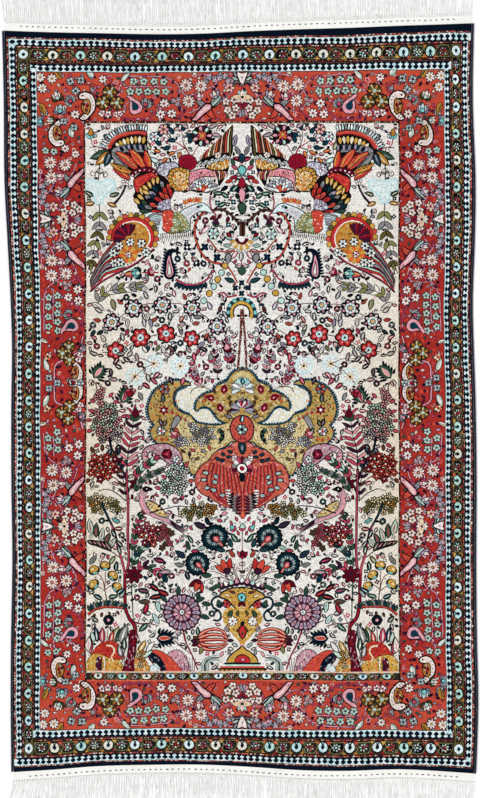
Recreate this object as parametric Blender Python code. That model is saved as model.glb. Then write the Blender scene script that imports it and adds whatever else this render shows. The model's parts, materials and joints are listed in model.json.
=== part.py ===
"""A hand-knotted carpet lying flat, with overcast sides, flat-woven ends and warp fringes.

Metres, +Z up. The pile faces +Z, the head end points to +Y and the foot end to -Y. The origin is the
centre of the carpet's bounding box on the surface that it lies on.
"""

import math
import random
from collections import namedtuple

import bmesh
import bpy

# Driving dimensions.
PILE_THICKNESS = 0.008           # foundation and cut pile together
PILE_EDGE_ROUNDING = 0.0015
PILE_SETBACK = 0.0005            # how far the tufts' foot stands in from the foundation's edge
FOUNDATION_THICKNESS = 0.0026    # warps and wefts, bare at the flat-woven ends
FLAT_WEAVE_WIDTH = 0.024         # woven on past the last row of knots
PIECE_GAP = 0.0003               # between pieces that touch on the real carpet
SELVEDGE_RADIUS = 0.0032         # side warps, overcast with wool
KNOT_ROW_WIDTH = 0.007           # knotted warp ends, which the fringe's strands leave
FRINGE_THICKNESS = 0.0024
FRINGE_LENGTH = 0.086
FRINGE_STRANDS = 146             # at each end
SHORTEST_STRAND = 0.90           # share of the full length
STRAND_WIDTH = 0.0042
STRAND_TIP_WIDTH = 0.0016
STRAND_STATIONS = (0.0, 0.36, 0.72, 1.0)    # shares of a strand's length with a point on each side
FAN_REACH = 0.070                # how far in from a fanned corner the strands lean
SIDE_STEPS = 44
END_STEPS = 30

# Which way each edge lies, and how each fringe falls.
LEFT, RIGHT = -1, 1
HEAD, FOOT = 1, -1
Fall = namedtuple("Fall", "seed corner_fan")
FALLS = {HEAD: Fall(seed=11, corner_fan=0.012), FOOT: Fall(seed=23, corner_fan=0.030)}

# The edges bow a little. Distances are from the carpet's centre lines to its edge.
SideRow = namedtuple("SideRow", "along left right")
SIDE_ROWS = (
    SideRow(1.080, 0.702, 0.667),
    SideRow(0.867, 0.697, 0.664),
    SideRow(0.635, 0.695, 0.672),
    SideRow(0.461, 0.686, 0.670),
    SideRow(0.287, 0.677, 0.664),
    SideRow(0.145, 0.673, 0.667),
    SideRow(0.000, 0.675, 0.672),
    SideRow(-0.235, 0.675, 0.675),
    SideRow(-0.467, 0.672, 0.674),
    SideRow(-0.699, 0.676, 0.676),
    SideRow(-0.873, 0.677, 0.680),
    SideRow(-1.080, 0.675, 0.674),
)
EndRow = namedtuple("EndRow", "across head foot")
END_ROWS = (
    EndRow(-0.700, 1.070, 1.082),
    EndRow(-0.560, 1.065, 1.074),
    EndRow(-0.420, 1.062, 1.063),
    EndRow(-0.250, 1.059, 1.059),
    EndRow(-0.117, 1.061, 1.059),
    EndRow(0.013, 1.068, 1.065),
    EndRow(0.165, 1.074, 1.075),
    EndRow(0.300, 1.078, 1.077),
    EndRow(0.448, 1.084, 1.072),
    EndRow(0.579, 1.088, 1.078),
    EndRow(0.680, 1.092, 1.086),
)

Finish = namedtuple("Finish", "colour roughness")
MADDER_PILE = Finish((0.42, 0.16, 0.12), 0.90)
NAVY_WOOL = Finish((0.012, 0.025, 0.050), 0.85)
COTTON = Finish((0.78, 0.77, 0.72), 0.92)


def clear_scene():
    for old in list(bpy.data.objects):
        bpy.data.objects.remove(old, do_unlink=True)


def cloth_material(name, finish):
    material = bpy.data.materials.new(name)
    material.use_nodes = True
    shader = material.node_tree.nodes["Principled BSDF"]
    shader.inputs["Base Color"].default_value = (*finish.colour, 1.0)
    shader.inputs["Roughness"].default_value = finish.roughness
    shader.inputs["Metallic"].default_value = 0.0
    return material


def bow(rows, at):
    """Reads a table of bows at one place, with a smooth curve through its rows."""
    ordered = sorted(rows, key=lambda row: row[0])
    at = min(max(at, ordered[0][0]), ordered[-1][0])
    k = max(i for i in range(len(ordered) - 1) if ordered[i][0] <= at)
    before, low, high = ordered[max(k - 1, 0)], ordered[k], ordered[k + 1]
    after = ordered[min(k + 2, len(ordered) - 1)]
    span = high[0] - low[0]
    t = (at - low[0]) / span
    values = []
    for column in range(1, len(low)):
        slope_low = (high[column] - before[column]) / (high[0] - before[0]) * span
        slope_high = (after[column] - low[column]) / (after[0] - low[0]) * span
        values.append(
            (2 * t**3 - 3 * t**2 + 1) * low[column]
            + (t**3 - 2 * t**2 + t) * slope_low
            + (3 * t**2 - 2 * t**3) * high[column]
            + (t**3 - t**2) * slope_high
        )
    return values


def side_x(side, y):
    """The outer edge of one side at height y."""
    left, right = bow(SIDE_ROWS, y)
    return right if side == RIGHT else -left


def end_y(end, x):
    """The last row of knots at one end, at x across the carpet."""
    head, foot = bow(END_ROWS, x)
    return head if end == HEAD else -foot


def steps(first, last, count):
    return [first + (last - first) * i / count for i in range(count + 1)]


def corner(side, end, inset=0.0):
    """Where a side, moved in by inset, meets the last row of knots at an end."""
    x = y = 0.0
    for _ in range(4):
        y = end_y(end, x)
        x = side_x(side, y) - side * inset
    return x, end_y(end, x)


def along_end(end, inset=0.0, outwards=0.0):
    """Points from left to right along one end, moved outwards past the last row of knots."""
    left = corner(LEFT, end, inset)[0]
    right = corner(RIGHT, end, inset)[0]
    return [(x, end_y(end, x) + end * outwards) for x in steps(left, right, END_STEPS)]


def along_side(side, inset=0.0):
    """Points from foot to head along one side, moved in by inset."""
    foot = corner(side, FOOT, inset)[1]
    head = corner(side, HEAD, inset)[1]
    return [(side_x(side, y) - side * inset, y) for y in steps(foot, head, SIDE_STEPS)]


def pile_outline():
    """The knotted area, a little inside the foundation."""
    inset = 2 * SELVEDGE_RADIUS + PIECE_GAP + PILE_SETBACK
    head = along_end(HEAD, inset, -PILE_SETBACK)
    right = along_side(RIGHT, inset)[::-1]
    foot = along_end(FOOT, inset, -PILE_SETBACK)[::-1]
    left = along_side(LEFT, inset)
    return head + right[1:-1] + foot + left[1:-1]


def foundation_outline():
    """The woven ground: between the selvedges at the sides, and full width at the flat-woven ends."""
    inset = 2 * SELVEDGE_RADIUS + PIECE_GAP
    loop = []
    for end, side in ((HEAD, RIGHT), (FOOT, LEFT)):
        far = along_end(end, 0.0, FLAT_WEAVE_WIDTH)
        edge = along_side(side, inset)
        if end == HEAD:
            edge = edge[::-1]
        else:
            far = far[::-1]
        step_x, step_y = corner(side, end)
        next_x, next_y = corner(side, -end)
        loop += far
        loop += [(step_x, step_y + end * PIECE_GAP), (edge[0][0], edge[0][1] + end * PIECE_GAP)]
        loop += edge[1:-1]
        loop += [(edge[-1][0], edge[-1][1] - end * PIECE_GAP), (next_x, next_y - end * PIECE_GAP)]
    return loop


def strand_outline(end, root, lean, sway, length):
    """One strand as a tapered strip, from its left root round its tip to its right root."""
    drop = math.sqrt(length**2 - lean**2)
    left, right = [], []
    for share in STRAND_STATIONS:
        half_width = (STRAND_WIDTH + (STRAND_TIP_WIDTH - STRAND_WIDTH) * share) / 2
        middle = root[0] + lean * share**1.4 + sway * math.sin(math.pi * share)
        y = root[1] + end * drop * share
        left.append((middle - half_width, y))
        right.append((middle + half_width, y))
    return left + right[::-1]


def fringe_outline(end):
    """The knot row and its strands as one comb-shaped loop."""
    chance = random.Random(FALLS[end].seed)
    near = along_end(end, 0.0, FLAT_WEAVE_WIDTH + PIECE_GAP)
    left, right = near[0][0], near[-1][0]
    pitch = (right - left) / FRINGE_STRANDS
    comb = []
    for i in range(FRINGE_STRANDS):
        x = left + (i + 0.5) * pitch
        y = end_y(end, x) + end * (FLAT_WEAVE_WIDTH + PIECE_GAP + KNOT_ROW_WIDTH)
        fan = -FALLS[end].corner_fan * math.exp((left - x) / FAN_REACH)
        wave = 0.004 * math.sin(17.0 * x + end) + 0.002 * math.sin(53.0 * x)
        sway = 0.0015 * math.sin(31.0 * x + 2.0 * end)
        lean = fan + wave + chance.uniform(-0.0009, 0.0009)
        length = FRINGE_LENGTH * chance.uniform(SHORTEST_STRAND, 1.0)
        comb += strand_outline(end, (x, y), lean, sway, length)
    return near + comb[::-1]


def flat_piece(name, outline, low, high, material, rounding=0.0):
    """A flat outline from one height to another, with its rim rounded top and bottom."""
    curve = bpy.data.curves.new(name, "CURVE")
    curve.dimensions = "2D"
    curve.fill_mode = "BOTH"
    curve.extrude = (high - low) / 2 - rounding
    curve.bevel_depth = rounding
    curve.bevel_resolution = 1
    curve.offset = -rounding
    spline = curve.splines.new("POLY")
    spline.points.add(len(outline) - 1)
    for point, (x, y) in zip(spline.points, outline):
        point.co = (x, y, 0.0, 1.0)
    spline.use_cyclic_u = True
    curve.materials.append(material)
    piece = bpy.data.objects.new(name, curve)
    piece.location.z = (low + high) / 2
    return piece


def round_cord(name, path, radius, material):
    """A round cord along a flat path, lying on the floor."""
    curve = bpy.data.curves.new(name, "CURVE")
    curve.dimensions = "3D"
    curve.bevel_depth = radius
    curve.bevel_resolution = 2
    curve.use_fill_caps = True
    spline = curve.splines.new("POLY")
    spline.points.add(len(path) - 1)
    for point, (x, y) in zip(spline.points, path):
        point.co = (x, y, 0.0, 1.0)
    curve.materials.append(material)
    piece = bpy.data.objects.new(name, curve)
    piece.location.z = radius
    return piece


def as_mesh(piece, collection):
    """Turns a curve object into a closed mesh object of the same name and place, in a collection."""
    collection.objects.link(piece)
    bpy.context.view_layer.update()
    graph = bpy.context.evaluated_depsgraph_get()
    mesh = bpy.data.meshes.new_from_object(piece.evaluated_get(graph))
    shape = bmesh.new()
    shape.from_mesh(mesh)
    bmesh.ops.remove_doubles(shape, verts=shape.verts, dist=0.00001)
    shape.to_mesh(mesh)
    shape.free()
    name, place = piece.name, piece.matrix_world.copy()
    bpy.data.objects.remove(piece, do_unlink=True)
    mesh_piece = bpy.data.objects.new(name, mesh)
    mesh_piece.matrix_world = place
    collection.objects.link(mesh_piece)
    return mesh_piece


def build_ground_and_pile(carpet, tools, material):
    """The foundation with the cut pile standing on it, as one body."""
    outline = foundation_outline()
    ground = as_mesh(flat_piece("carpet", outline, 0.0, FOUNDATION_THICKNESS, material), carpet)
    tufts = flat_piece(
        "cut_pile", pile_outline(), FOUNDATION_THICKNESS / 2, PILE_THICKNESS, material, PILE_EDGE_ROUNDING
    )
    tufts = as_mesh(tufts, tools)
    tufts.hide_render = True
    tufts.display_type = "WIRE"
    join = ground.modifiers.new("pile", "BOOLEAN")
    join.operation = "UNION"
    join.solver = "EXACT"
    join.object = tufts
    return ground, tufts


def box_centre(outlines):
    """The middle of the box round every outline."""
    xs = [x for outline in outlines for x, _ in outline]
    ys = [y for outline in outlines for _, y in outline]
    return (min(xs) + max(xs)) / 2, (min(ys) + max(ys)) / 2


def main():
    clear_scene()
    carpet = bpy.data.collections.new("persian_rug")
    tools = bpy.data.collections.new("tools")
    for collection in (carpet, tools):
        bpy.context.scene.collection.children.link(collection)
    madder = cloth_material("pile_wool", MADDER_PILE)
    navy = cloth_material("selvedge_wool", NAVY_WOOL)
    cotton = cloth_material("warp_cotton", COTTON)

    pieces = list(build_ground_and_pile(carpet, tools, madder))
    for name, side in (("selvedge_left", LEFT), ("selvedge_right", RIGHT)):
        pieces.append(round_cord(name, along_side(side, SELVEDGE_RADIUS), SELVEDGE_RADIUS, navy))
        carpet.objects.link(pieces[-1])
    fringes = {"fringe_head": fringe_outline(HEAD), "fringe_foot": fringe_outline(FOOT)}
    for name, outline in fringes.items():
        pieces.append(flat_piece(name, outline, 0.0, FRINGE_THICKNESS, cotton))
        carpet.objects.link(pieces[-1])

    centre_x, centre_y = box_centre([foundation_outline(), *fringes.values()])
    for piece in pieces:
        piece.location.x -= centre_x
        piece.location.y -= centre_y


main()
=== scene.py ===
import json
import math

import bpy
import numpy as np
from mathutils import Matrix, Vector
from mathutils.geometry import delaunay_2d_cdt

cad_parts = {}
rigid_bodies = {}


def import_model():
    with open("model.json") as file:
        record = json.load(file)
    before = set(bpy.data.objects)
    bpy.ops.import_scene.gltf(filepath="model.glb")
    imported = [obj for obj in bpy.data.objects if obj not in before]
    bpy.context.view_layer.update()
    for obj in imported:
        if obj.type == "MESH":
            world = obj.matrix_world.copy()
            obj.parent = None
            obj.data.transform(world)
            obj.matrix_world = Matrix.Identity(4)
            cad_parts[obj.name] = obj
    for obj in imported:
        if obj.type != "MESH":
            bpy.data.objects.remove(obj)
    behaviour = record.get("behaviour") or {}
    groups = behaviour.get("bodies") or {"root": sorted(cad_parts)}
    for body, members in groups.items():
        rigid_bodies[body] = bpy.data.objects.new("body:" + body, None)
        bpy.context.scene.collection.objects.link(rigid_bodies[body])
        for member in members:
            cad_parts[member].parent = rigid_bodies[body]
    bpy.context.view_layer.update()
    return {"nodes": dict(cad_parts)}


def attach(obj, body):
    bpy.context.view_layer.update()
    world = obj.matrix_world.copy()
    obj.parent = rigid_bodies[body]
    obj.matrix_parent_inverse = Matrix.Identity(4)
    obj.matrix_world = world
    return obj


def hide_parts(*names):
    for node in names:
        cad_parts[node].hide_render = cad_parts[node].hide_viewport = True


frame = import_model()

print("rug: frame loaded")

# The chart: the design is drawn on squares, as a weaver's chart is, counted from the sheet's top left.
chart = {
    "square": 0.0029,           # metres of rug in one square
    "centreColumn": 243.0,
    "centreRow": 398.5,
    "halfAcross": 229.8,        # squares from the centre line to the pile's edge
    "halfAlong": 367.5,
    "wobble": 0.45,             # squares that hand-tied lines stray
    "bowReach": 34.0,           # squares over which the bow of an edge dies away
}

# Dyes as they show, in 0..255 display values.
dyes = {
    "ink": (16, 10, 14), "navy": (2, 16, 34), "midnight": (2, 22, 28), "sky": (198, 228, 232),
    "ice": (222, 238, 240), "ivory": (236, 233, 228), "white": (248, 246, 242), "coral": (204, 78, 62),
    "red": (192, 42, 42), "crimson": (146, 20, 44), "maroon": (88, 8, 30), "gold": (206, 162, 74),
    "ochre": (186, 128, 52), "olive": (92, 84, 44), "moss": (134, 134, 84), "green": (48, 80, 64),
    "teal": (14, 54, 70), "aqua": (120, 200, 202), "pink": (226, 160, 172), "rose": (186, 70, 96),
    "lilac": (172, 162, 184), "mint": (186, 222, 212), "brown": (92, 52, 38), "grey": (142, 142, 146),
    "orange": (220, 106, 54), "peach": (230, 184, 164), "plum": (56, 24, 48), "cream": (236, 224, 190),
    "brick": (180, 46, 38), "umber": (42, 38, 30), "straw": (214, 194, 140), "pearl": (230, 226, 210),
    "salmon": (216, 104, 78), "ember": (206, 72, 50), "garnet": (148, 30, 38), "mustard": (198, 158, 84),
    "mauve": (192, 152, 166),
}
dyeNames = list(dyes)


def linear(colour):
    # display value to linear light, by the sRGB curve
    c = np.asarray(colour, float) / 255.0
    return np.where(c <= 0.04045, c / 12.92, ((c + 0.055) / 1.055) ** 2.4)


woolShare = 0.9                 # how much of a flat dye's light clipped wool gives back
dyeTable = woolShare * np.array([linear(dyes[name]) for name in dyeNames])


# Where the chart lies on the rug.
def nodePoints(name):
    # the corners of one solid of the frame, in metres
    mesh = frame["nodes"][name].data
    points = np.empty(len(mesh.vertices) * 3)
    mesh.vertices.foreach_get("co", points)
    return points.reshape(-1, 3)


def readEdges():
    # the upright rim of the pile solid, parted at its corners, gives each edge as a table of places
    points = nodePoints("carpet")
    rim = points[(points[:, 2] > 0.005) & (points[:, 2] < 0.0072)]
    rim = np.unique(np.round(rim, 6), axis=0)[:, :2]
    x, y = rim[:, 0], rim[:, 1]
    corners = np.array([rim[np.argmax(sx * x + sy * y)] for sx in (-1, 1) for sy in (-1, 1)])
    nearest = corners[np.argmin(((rim[:, None] - corners[None]) ** 2).sum(2), axis=1)]
    away = np.abs(rim - nearest)
    isCorner = away.max(1) < 0.004
    isEnd = (away[:, 0] > away[:, 1]) & ~isCorner
    isSide = ~isEnd & ~isCorner
    tables = {}
    for name, mask, key in (("left", isSide & (x < 0), 1), ("right", isSide & (x > 0), 1),
                            ("foot", isEnd & (y < 0), 0), ("head", isEnd & (y > 0), 0)):
        rows = rim[mask]
        rows = rows[np.argsort(rows[:, key])]
        tables[name] = (rows[:, key], rows[:, 1 - key])
    return tables


edges = readEdges()


def edgeAt(name, where):
    # an edge's place by its table, run straight on past both ends of the table
    keys, values = edges[name]
    inside = np.interp(where, keys, values)
    low = (values[1] - values[0]) / (keys[1] - keys[0])
    high = (values[-1] - values[-2]) / (keys[-1] - keys[-2])
    return (
        inside
        + np.minimum(where - keys[0], 0) * low
        + np.maximum(where - keys[-1], 0) * high
    )


edgeMean = {name: np.interp(np.linspace(keys[0], keys[-1], 400), keys, values).mean()
            for name, (keys, values) in edges.items()}


def wobbleOf(u, v):
    # slow waves across the chart, as of rows beaten down by hand; none at the rug's own edge
    fade = np.clip((chart["halfAcross"] - np.abs(u)) / 6, 0, 1)
    fade = fade * np.clip((chart["halfAlong"] - np.abs(v)) / 6, 0, 1)
    du = (np.sin(0.11 * v + 0.9) * 0.5 + np.sin(0.041 * v + 0.07 * u) * 0.7
          + np.sin(0.31 * v + 0.05 * u) * 0.25)
    dv = (np.sin(0.09 * u + 2.1) * 0.5 + np.sin(0.035 * u - 0.05 * v) * 0.7
          + np.sin(0.27 * u + 0.06 * v) * 0.25)
    return chart["wobble"] * fade * du, chart["wobble"] * fade * dv


def toRug(u, v):
    # chart squares from the centre to metres: the bow of each edge dies away into the rug
    u, v = np.asarray(u, float), np.asarray(v, float)
    du, dv = wobbleOf(u, v)
    u, v = u + du, v + dv
    square, halfU, halfV = chart["square"], chart["halfAcross"], chart["halfAlong"]
    shareU = np.clip(u / halfU, -1, 1) / 2 + 0.5
    shareV = np.clip(v / halfV, -1, 1) / 2 + 0.5
    x, y = u * square, v * square
    fade = lambda share, half: np.exp(-share * 2 * half / chart["bowReach"])
    for _ in range(3):
        x = (edgeMean["left"] * (1 - shareU) + edgeMean["right"] * shareU
             + (edgeAt("left", y) - edgeMean["left"]) * fade(shareU, halfU)
             + (edgeAt("right", y) - edgeMean["right"]) * fade(1 - shareU, halfU))
        y = (edgeMean["foot"] * (1 - shareV) + edgeMean["head"] * shareV
             + (edgeAt("foot", x) - edgeMean["foot"]) * fade(shareV, halfV)
             + (edgeAt("head", x) - edgeMean["head"]) * fade(1 - shareV, halfV))
    x = x + (u - np.clip(u, -halfU, halfU)) * square
    y = y + (v - np.clip(v, -halfV, halfV)) * square
    return x, y


# Mesh and material helpers.
def makeMesh(name, points, groups, flat=False, colours=None, uv=None):
    # groups lists arrays of triangles or quads; colours holds one row a face, and uv one row a point
    mesh = bpy.data.meshes.new(name)
    loops = np.concatenate([g.ravel() for g in groups]).astype(np.int32)
    sizes = np.concatenate([np.full(len(g), g.shape[1]) for g in groups])
    starts = np.concatenate([[0], np.cumsum(sizes)[:-1]]).astype(np.int32)
    mesh.vertices.add(len(points))
    mesh.vertices.foreach_set("co", np.asarray(points, np.float32).ravel())
    mesh.loops.add(len(loops))
    mesh.loops.foreach_set("vertex_index", loops)
    mesh.polygons.add(len(sizes))
    mesh.polygons.foreach_set("loop_start", starts)
    mesh.polygons.foreach_set("use_smooth", np.full(len(sizes), not flat))
    mesh.update(calc_edges=True)
    if colours is not None:
        layer = mesh.color_attributes.new("Dye", "FLOAT_COLOR", "CORNER")
        spread = np.repeat(np.column_stack([colours, np.ones(len(colours))]), sizes, axis=0)
        layer.data.foreach_set("color", spread.astype(np.float32).ravel())
    if uv is not None:
        layer = mesh.uv_layers.new(name="OFBake")
        layer.data.foreach_set("uv", np.asarray(uv, np.float32)[loops].ravel())
    piece = bpy.data.objects.new(name, mesh)
    bpy.context.scene.collection.objects.link(piece)
    return piece


def unwrap(points, n):
    # the first n points, seen from above, fill most of the picture; the others share a thin strip
    flat = points[:, :2]
    uv = (flat - flat.min(0)) / (flat.max(0) - flat.min(0))
    uv[:n] = uv[:n] * (0.97, 1.0)
    uv[n:] = uv[n:] * (0.015, 1.0) + (0.98, 0.0)
    return uv


def tubes(paths, radii, sides):
    # paths (n, stations, 3) and radii (n, stations): rings across each path, joined along it and
    # closed at both ends
    n, stations, _ = paths.shape
    along = np.gradient(paths, axis=1)
    along /= np.maximum(np.linalg.norm(along, axis=2, keepdims=True), 1e-12)
    up = np.zeros_like(along)
    up[..., 2] = 1.0
    side = np.cross(along, up)
    side /= np.maximum(np.linalg.norm(side, axis=2, keepdims=True), 1e-12)
    up = np.cross(side, along)
    angles = 2 * math.pi * (np.arange(sides) + 0.5) / sides
    ring = (
        paths[:, :, None, :]
        + radii[:, :, None, None] * (
            np.cos(angles)[None, None, :, None] * side[:, :, None, :]
            + np.sin(angles)[None, None, :, None] * up[:, :, None, :]
        )
    )
    points = ring.reshape(-1, 3)
    base = (np.arange(n) * stations * sides)[:, None, None]
    i = (np.arange(stations - 1) * sides)[None, :, None]
    k = np.arange(sides)[None, None, :]
    k2 = (np.arange(sides) + 1)[None, None, :] % sides
    quads = np.stack([base + i + k, base + i + k2, base + i + sides + k2, base + i + sides + k],
                     -1).reshape(-1, 4)
    first = (np.arange(n) * stations * sides)[:, None] + np.arange(sides)[None, :][:, ::-1]
    last = (np.arange(n) * stations * sides + (stations - 1) * sides)[:, None] + np.arange(sides)[None, :]
    return points, quads[:, ::-1], np.concatenate([first[:, ::-1], last[:, ::-1]])


class Socket:
    # one output of a node tree; arithmetic on it adds Math nodes
    def __init__(self, tree, out):
        self.tree = tree
        self.out = out

    def math(self, operation, *values):
        return self.tree.node("Math", {"operation": operation}, *values)[0]

    def __add__(self, other):
        return self.math("ADD", self, other)

    def __radd__(self, other):
        return self.math("ADD", other, self)

    def __sub__(self, other):
        return self.math("SUBTRACT", self, other)

    def __rsub__(self, other):
        return self.math("SUBTRACT", other, self)

    def __mul__(self, other):
        return self.math("MULTIPLY", self, other)

    def __rmul__(self, other):
        return self.math("MULTIPLY", other, self)


class Tree:
    # one material's nodes, with the methods that add to them
    def __init__(self, name):
        self.material = bpy.data.materials.new(name)
        self.material.use_nodes = True
        self.nodes = self.material.node_tree.nodes
        self.links = self.material.node_tree.links
        self.shader = self.nodes["Principled BSDF"]

    def fill(self, socket, value):
        # a link where the value is another node's output, a plain value otherwise
        if isinstance(value, Socket):
            self.links.new(value.out, socket)
        elif value is not None:
            socket.default_value = value

    def node(self, kind, settings=None, *values, **named):
        # makes one node: its settings first, then its sockets by place or by name
        node = self.nodes.new("ShaderNode" + kind)
        for key, value in (settings or {}).items():
            setattr(node, key, value)
        for socket, value in zip(node.inputs, values):
            self.fill(socket, value)
        for key, value in named.items():
            self.fill(node.inputs[key.replace("_", " ")], value)
        return [Socket(self, out) for out in node.outputs]

    def ramp(self, factor, stops):
        # colours read off by a factor, from (place, colour) stops
        node = self.nodes.new("ShaderNodeValToRGB")
        elements = node.color_ramp.elements
        while len(elements) < len(stops):
            elements.new(0.5)
        for element, (place, colour) in zip(elements, stops):
            element.position = place
            element.color = (*colour, 1.0)
        self.fill(node.inputs[0], factor)
        return Socket(self, node.outputs[0])

    def shade(self, name, value):
        # fills one socket of the shader
        self.fill(self.shader.inputs[name], value)


# Drawing on the chart.
# A motif is a list of (outline, dye) in squares with y up; later outlines cover earlier ones.
def polar(radius, degrees):
    # the place at a distance from the origin, at an angle from the right
    angle = np.radians(degrees)
    return np.array([np.cos(angle), np.sin(angle)]).T * np.asarray(radius)[..., None]


def oval(rx, ry, count=10, at=(0.0, 0.0), turn=0.0):
    # points round an ellipse, moved and turned
    t = 2 * math.pi * np.arange(count) / count
    c, s = math.cos(math.radians(turn)), math.sin(math.radians(turn))
    x, y = rx * np.cos(t), ry * np.sin(t)
    return np.column_stack([at[0] + c * x - s * y, at[1] + s * x + c * y])


def smooth(points, closed=True, each=4):
    # Catmull-Rom curve through the given points
    p = np.asarray(points, float)
    if closed:
        p0, p1, p2, p3 = np.roll(p, 1, 0), p, np.roll(p, -1, 0), np.roll(p, -2, 0)
    else:
        ends = np.vstack([2 * p[0] - p[1], p, 2 * p[-1] - p[-2]])
        p0, p1, p2, p3 = ends[:-3], ends[1:-2], ends[2:-1], ends[3:]
    t = (np.arange(each) / each)[None, :, None]
    a, b, c, d = (q[:, None, :] for q in (p0, p1, p2, p3))
    curve = 0.5 * (2 * b + (c - a) * t + (2 * a - 5 * b + 4 * c - d) * t**2
                   + (3 * b - a - 3 * c + d) * t**3)
    curve = curve.reshape(-1, 2)
    return curve if closed else np.vstack([curve, p[-1]])


def grow(points, by):
    # each point moved out along the mean of its two edges' normals
    p = np.asarray(points, float)
    area = np.sum(p[:, 0] * np.roll(p[:, 1], -1) - np.roll(p[:, 0], -1) * p[:, 1])
    d = np.roll(p, -1, 0) - np.roll(p, 1, 0)
    d /= np.maximum(np.linalg.norm(d, axis=1, keepdims=True), 1e-9)
    normal = np.column_stack([d[:, 1], -d[:, 0]]) * (1 if area > 0 else -1)
    return p + normal * by


pen = {"outline": 2.3}     # how much wider than drawn the dark outlines are tied


def edged(points, dye, line=0.42, ink="ink"):
    # a form on a grown copy of itself in the outline's dye
    return [(grow(points, line * pen["outline"]), ink), (np.asarray(points, float), dye)]


def ribbon(points, width, tip=None, each=3):
    # an open curve given a width, which narrows to tip
    c = smooth(points, False, each)
    d = np.gradient(c, axis=0)
    d /= np.maximum(np.linalg.norm(d, axis=1, keepdims=True), 1e-9)
    half = np.linspace(width, width if tip is None else tip, len(c))[:, None] / 2
    side = np.column_stack([-d[:, 1], d[:, 0]])
    return np.vstack([c - side * half, (c + side * half)[::-1]])


def move(motif, at=(0, 0), size=1.0, turn=0.0, flip=False, squash=1.0):
    # each outline scaled, turned about the origin, then moved
    c, s = math.cos(math.radians(turn)), math.sin(math.radians(turn))
    moved = []
    for points, dye in motif:
        p = np.asarray(points, float) * (size * (-1 if flip else 1), size * squash)
        x, y = c * p[:, 0] - s * p[:, 1] + at[0], s * p[:, 0] + c * p[:, 1] + at[1]
        moved.append((np.column_stack([x, y]), dye))
    return moved


def scallop(radius, lobes, depth=0.12, each=3, turn=0.0):
    # a circle whose radius swells and sinks by a cosine, once a lobe
    t = np.arange(lobes * each) / (lobes * each)
    r = radius * (1 - depth + depth * np.abs(np.cos(math.pi * lobes * t)) * 2)
    return polar(r, 360 * t + turn)


def rosette(radius, petals, dye, eye, second=None, eyeSize=0.3):
    # a scalloped dark ground, round petals, and an eye
    shapes = [(scallop(radius * 0.98 + 0.3, petals, 0.08), "ink")]
    reach = radius * 0.63
    wide = min(radius * 0.36, 2.55 * reach / petals * 0.98)
    for k in range(petals):
        angle = 360 * k / petals
        tone = second if second and k % 2 else dye
        shapes.append((oval(radius * 0.37, wide, 7, polar(reach, angle), angle), tone))
    shapes.append((oval(radius * eyeSize, radius * eyeSize, 7), eye))
    return shapes


def starFlower(radius, petals, dye, eye):
    # separate pointed petals, each with its own dark edge
    shapes = []
    for k in range(petals):
        angle = 360 * k / petals + 90
        petal = np.array([(0.12, 0), (0.55, 0.24), (0.86, 0.17), (1.0, 0), (0.86, -0.17),
                          (0.55, -0.24)]) * radius
        petal[:, 1] *= min(1.0, 7.0 / petals)
        shapes += move(edged(petal, dye, 0.36), turn=angle)
    return shapes[::2] + shapes[1::2] + [(oval(radius * 0.2, radius * 0.2, 6), eye)]


def chrysanthemum(radius, rays, tones, eye):
    # narrow rays from the eye, in turn of the given tones, on a dark scalloped ground
    shapes = [(scallop(radius + 0.2, rays, 0.06, 2), "ink")]
    for k in range(rays):
        angle = 360 * k / rays
        wide = 2.0 * radius / rays
        ray = np.array([(0.3, -0.3 * wide / radius), (0.78, -wide / radius), (0.97, 0),
                        (0.78, wide / radius),
                        (0.3, 0.3 * wide / radius)]) * radius
        shapes += move([(ray, tones[k % len(tones)])], turn=angle)
    return shapes + [(oval(radius * 0.27, radius * 0.27, 7), eye)]


def leafOutline(length, width, bend=0.0, count=5):
    # from the stalk at the origin up to a point, swelling by a sine and bent sideways by a square
    t = np.linspace(0, 1, count + 1)
    half = width / 2 * np.sin(math.pi * t**0.8) ** 0.85
    x = bend * t**2
    left = np.column_stack([x - half, length * t])
    right = np.column_stack([x + half, length * t])
    return np.vstack([right[:-1], left[1:][::-1]])


def leaf(length, width, dye, bend=0.0, second=None, line=0.38, ink="ink"):
    # an edged leaf, with its other half in a second dye where one is given
    shapes = edged(leafOutline(length, width, bend), dye, line, ink)
    if second:
        half = leafOutline(length * 0.86, width * 0.42, bend * 0.74, 4) + (width * 0.16, length * 0.06)
        shapes.append((half, second))
    return shapes


def bud(size, dye, cup):
    # a drop in a two-leaved cup
    drop = smooth([(0, 0.1), (0.34, 0.45), (0.2, 0.8), (0, 1.15), (-0.2, 0.8), (-0.34, 0.45)], True,
                  2) * size
    shapes = edged(drop, dye, 0.38)
    for side in (-1, 1):
        sepal = np.array([(0, 0), (0.34, 0.16), (0.52, 0.62), (0.2, 0.36), (0, 0.3)]) * (side * size, size)
        shapes += edged(sepal, cup, 0.3)
    return shapes


def tulip(size, dyesInTurn):
    # three pointed petals rising from a cup
    shapes = []
    for dye, tilt, wide in zip(dyesInTurn, (38, -38, 0), (0.4, 0.4, 0.46)):
        shapes += move(edged(leafOutline(size, size * wide), dye, 0.38), turn=tilt)
    return shapes + edged(oval(size * 0.24, size * 0.17, 7, (0, size * 0.12)), dyesInTurn[1], 0.3)


def paisley(size, ground, heart):
    # a bent drop with its tip hooked to the left, and a small copy of it for its heart
    shape = smooth([(0, 0), (0.42, 0.12), (0.62, 0.5), (0.42, 0.88), (0.1, 1.12), (-0.34, 1.42),
                    (-0.5, 1.3),
                    (-0.26, 1.08), (-0.3, 0.62), (-0.28, 0.2)], True, 2) * size
    core = (shape - shape.mean(0)) * 0.58 + shape.mean(0) + (0.02 * size, -0.06 * size)
    return edged(shape, ground) + [(core, heart)]


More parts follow.
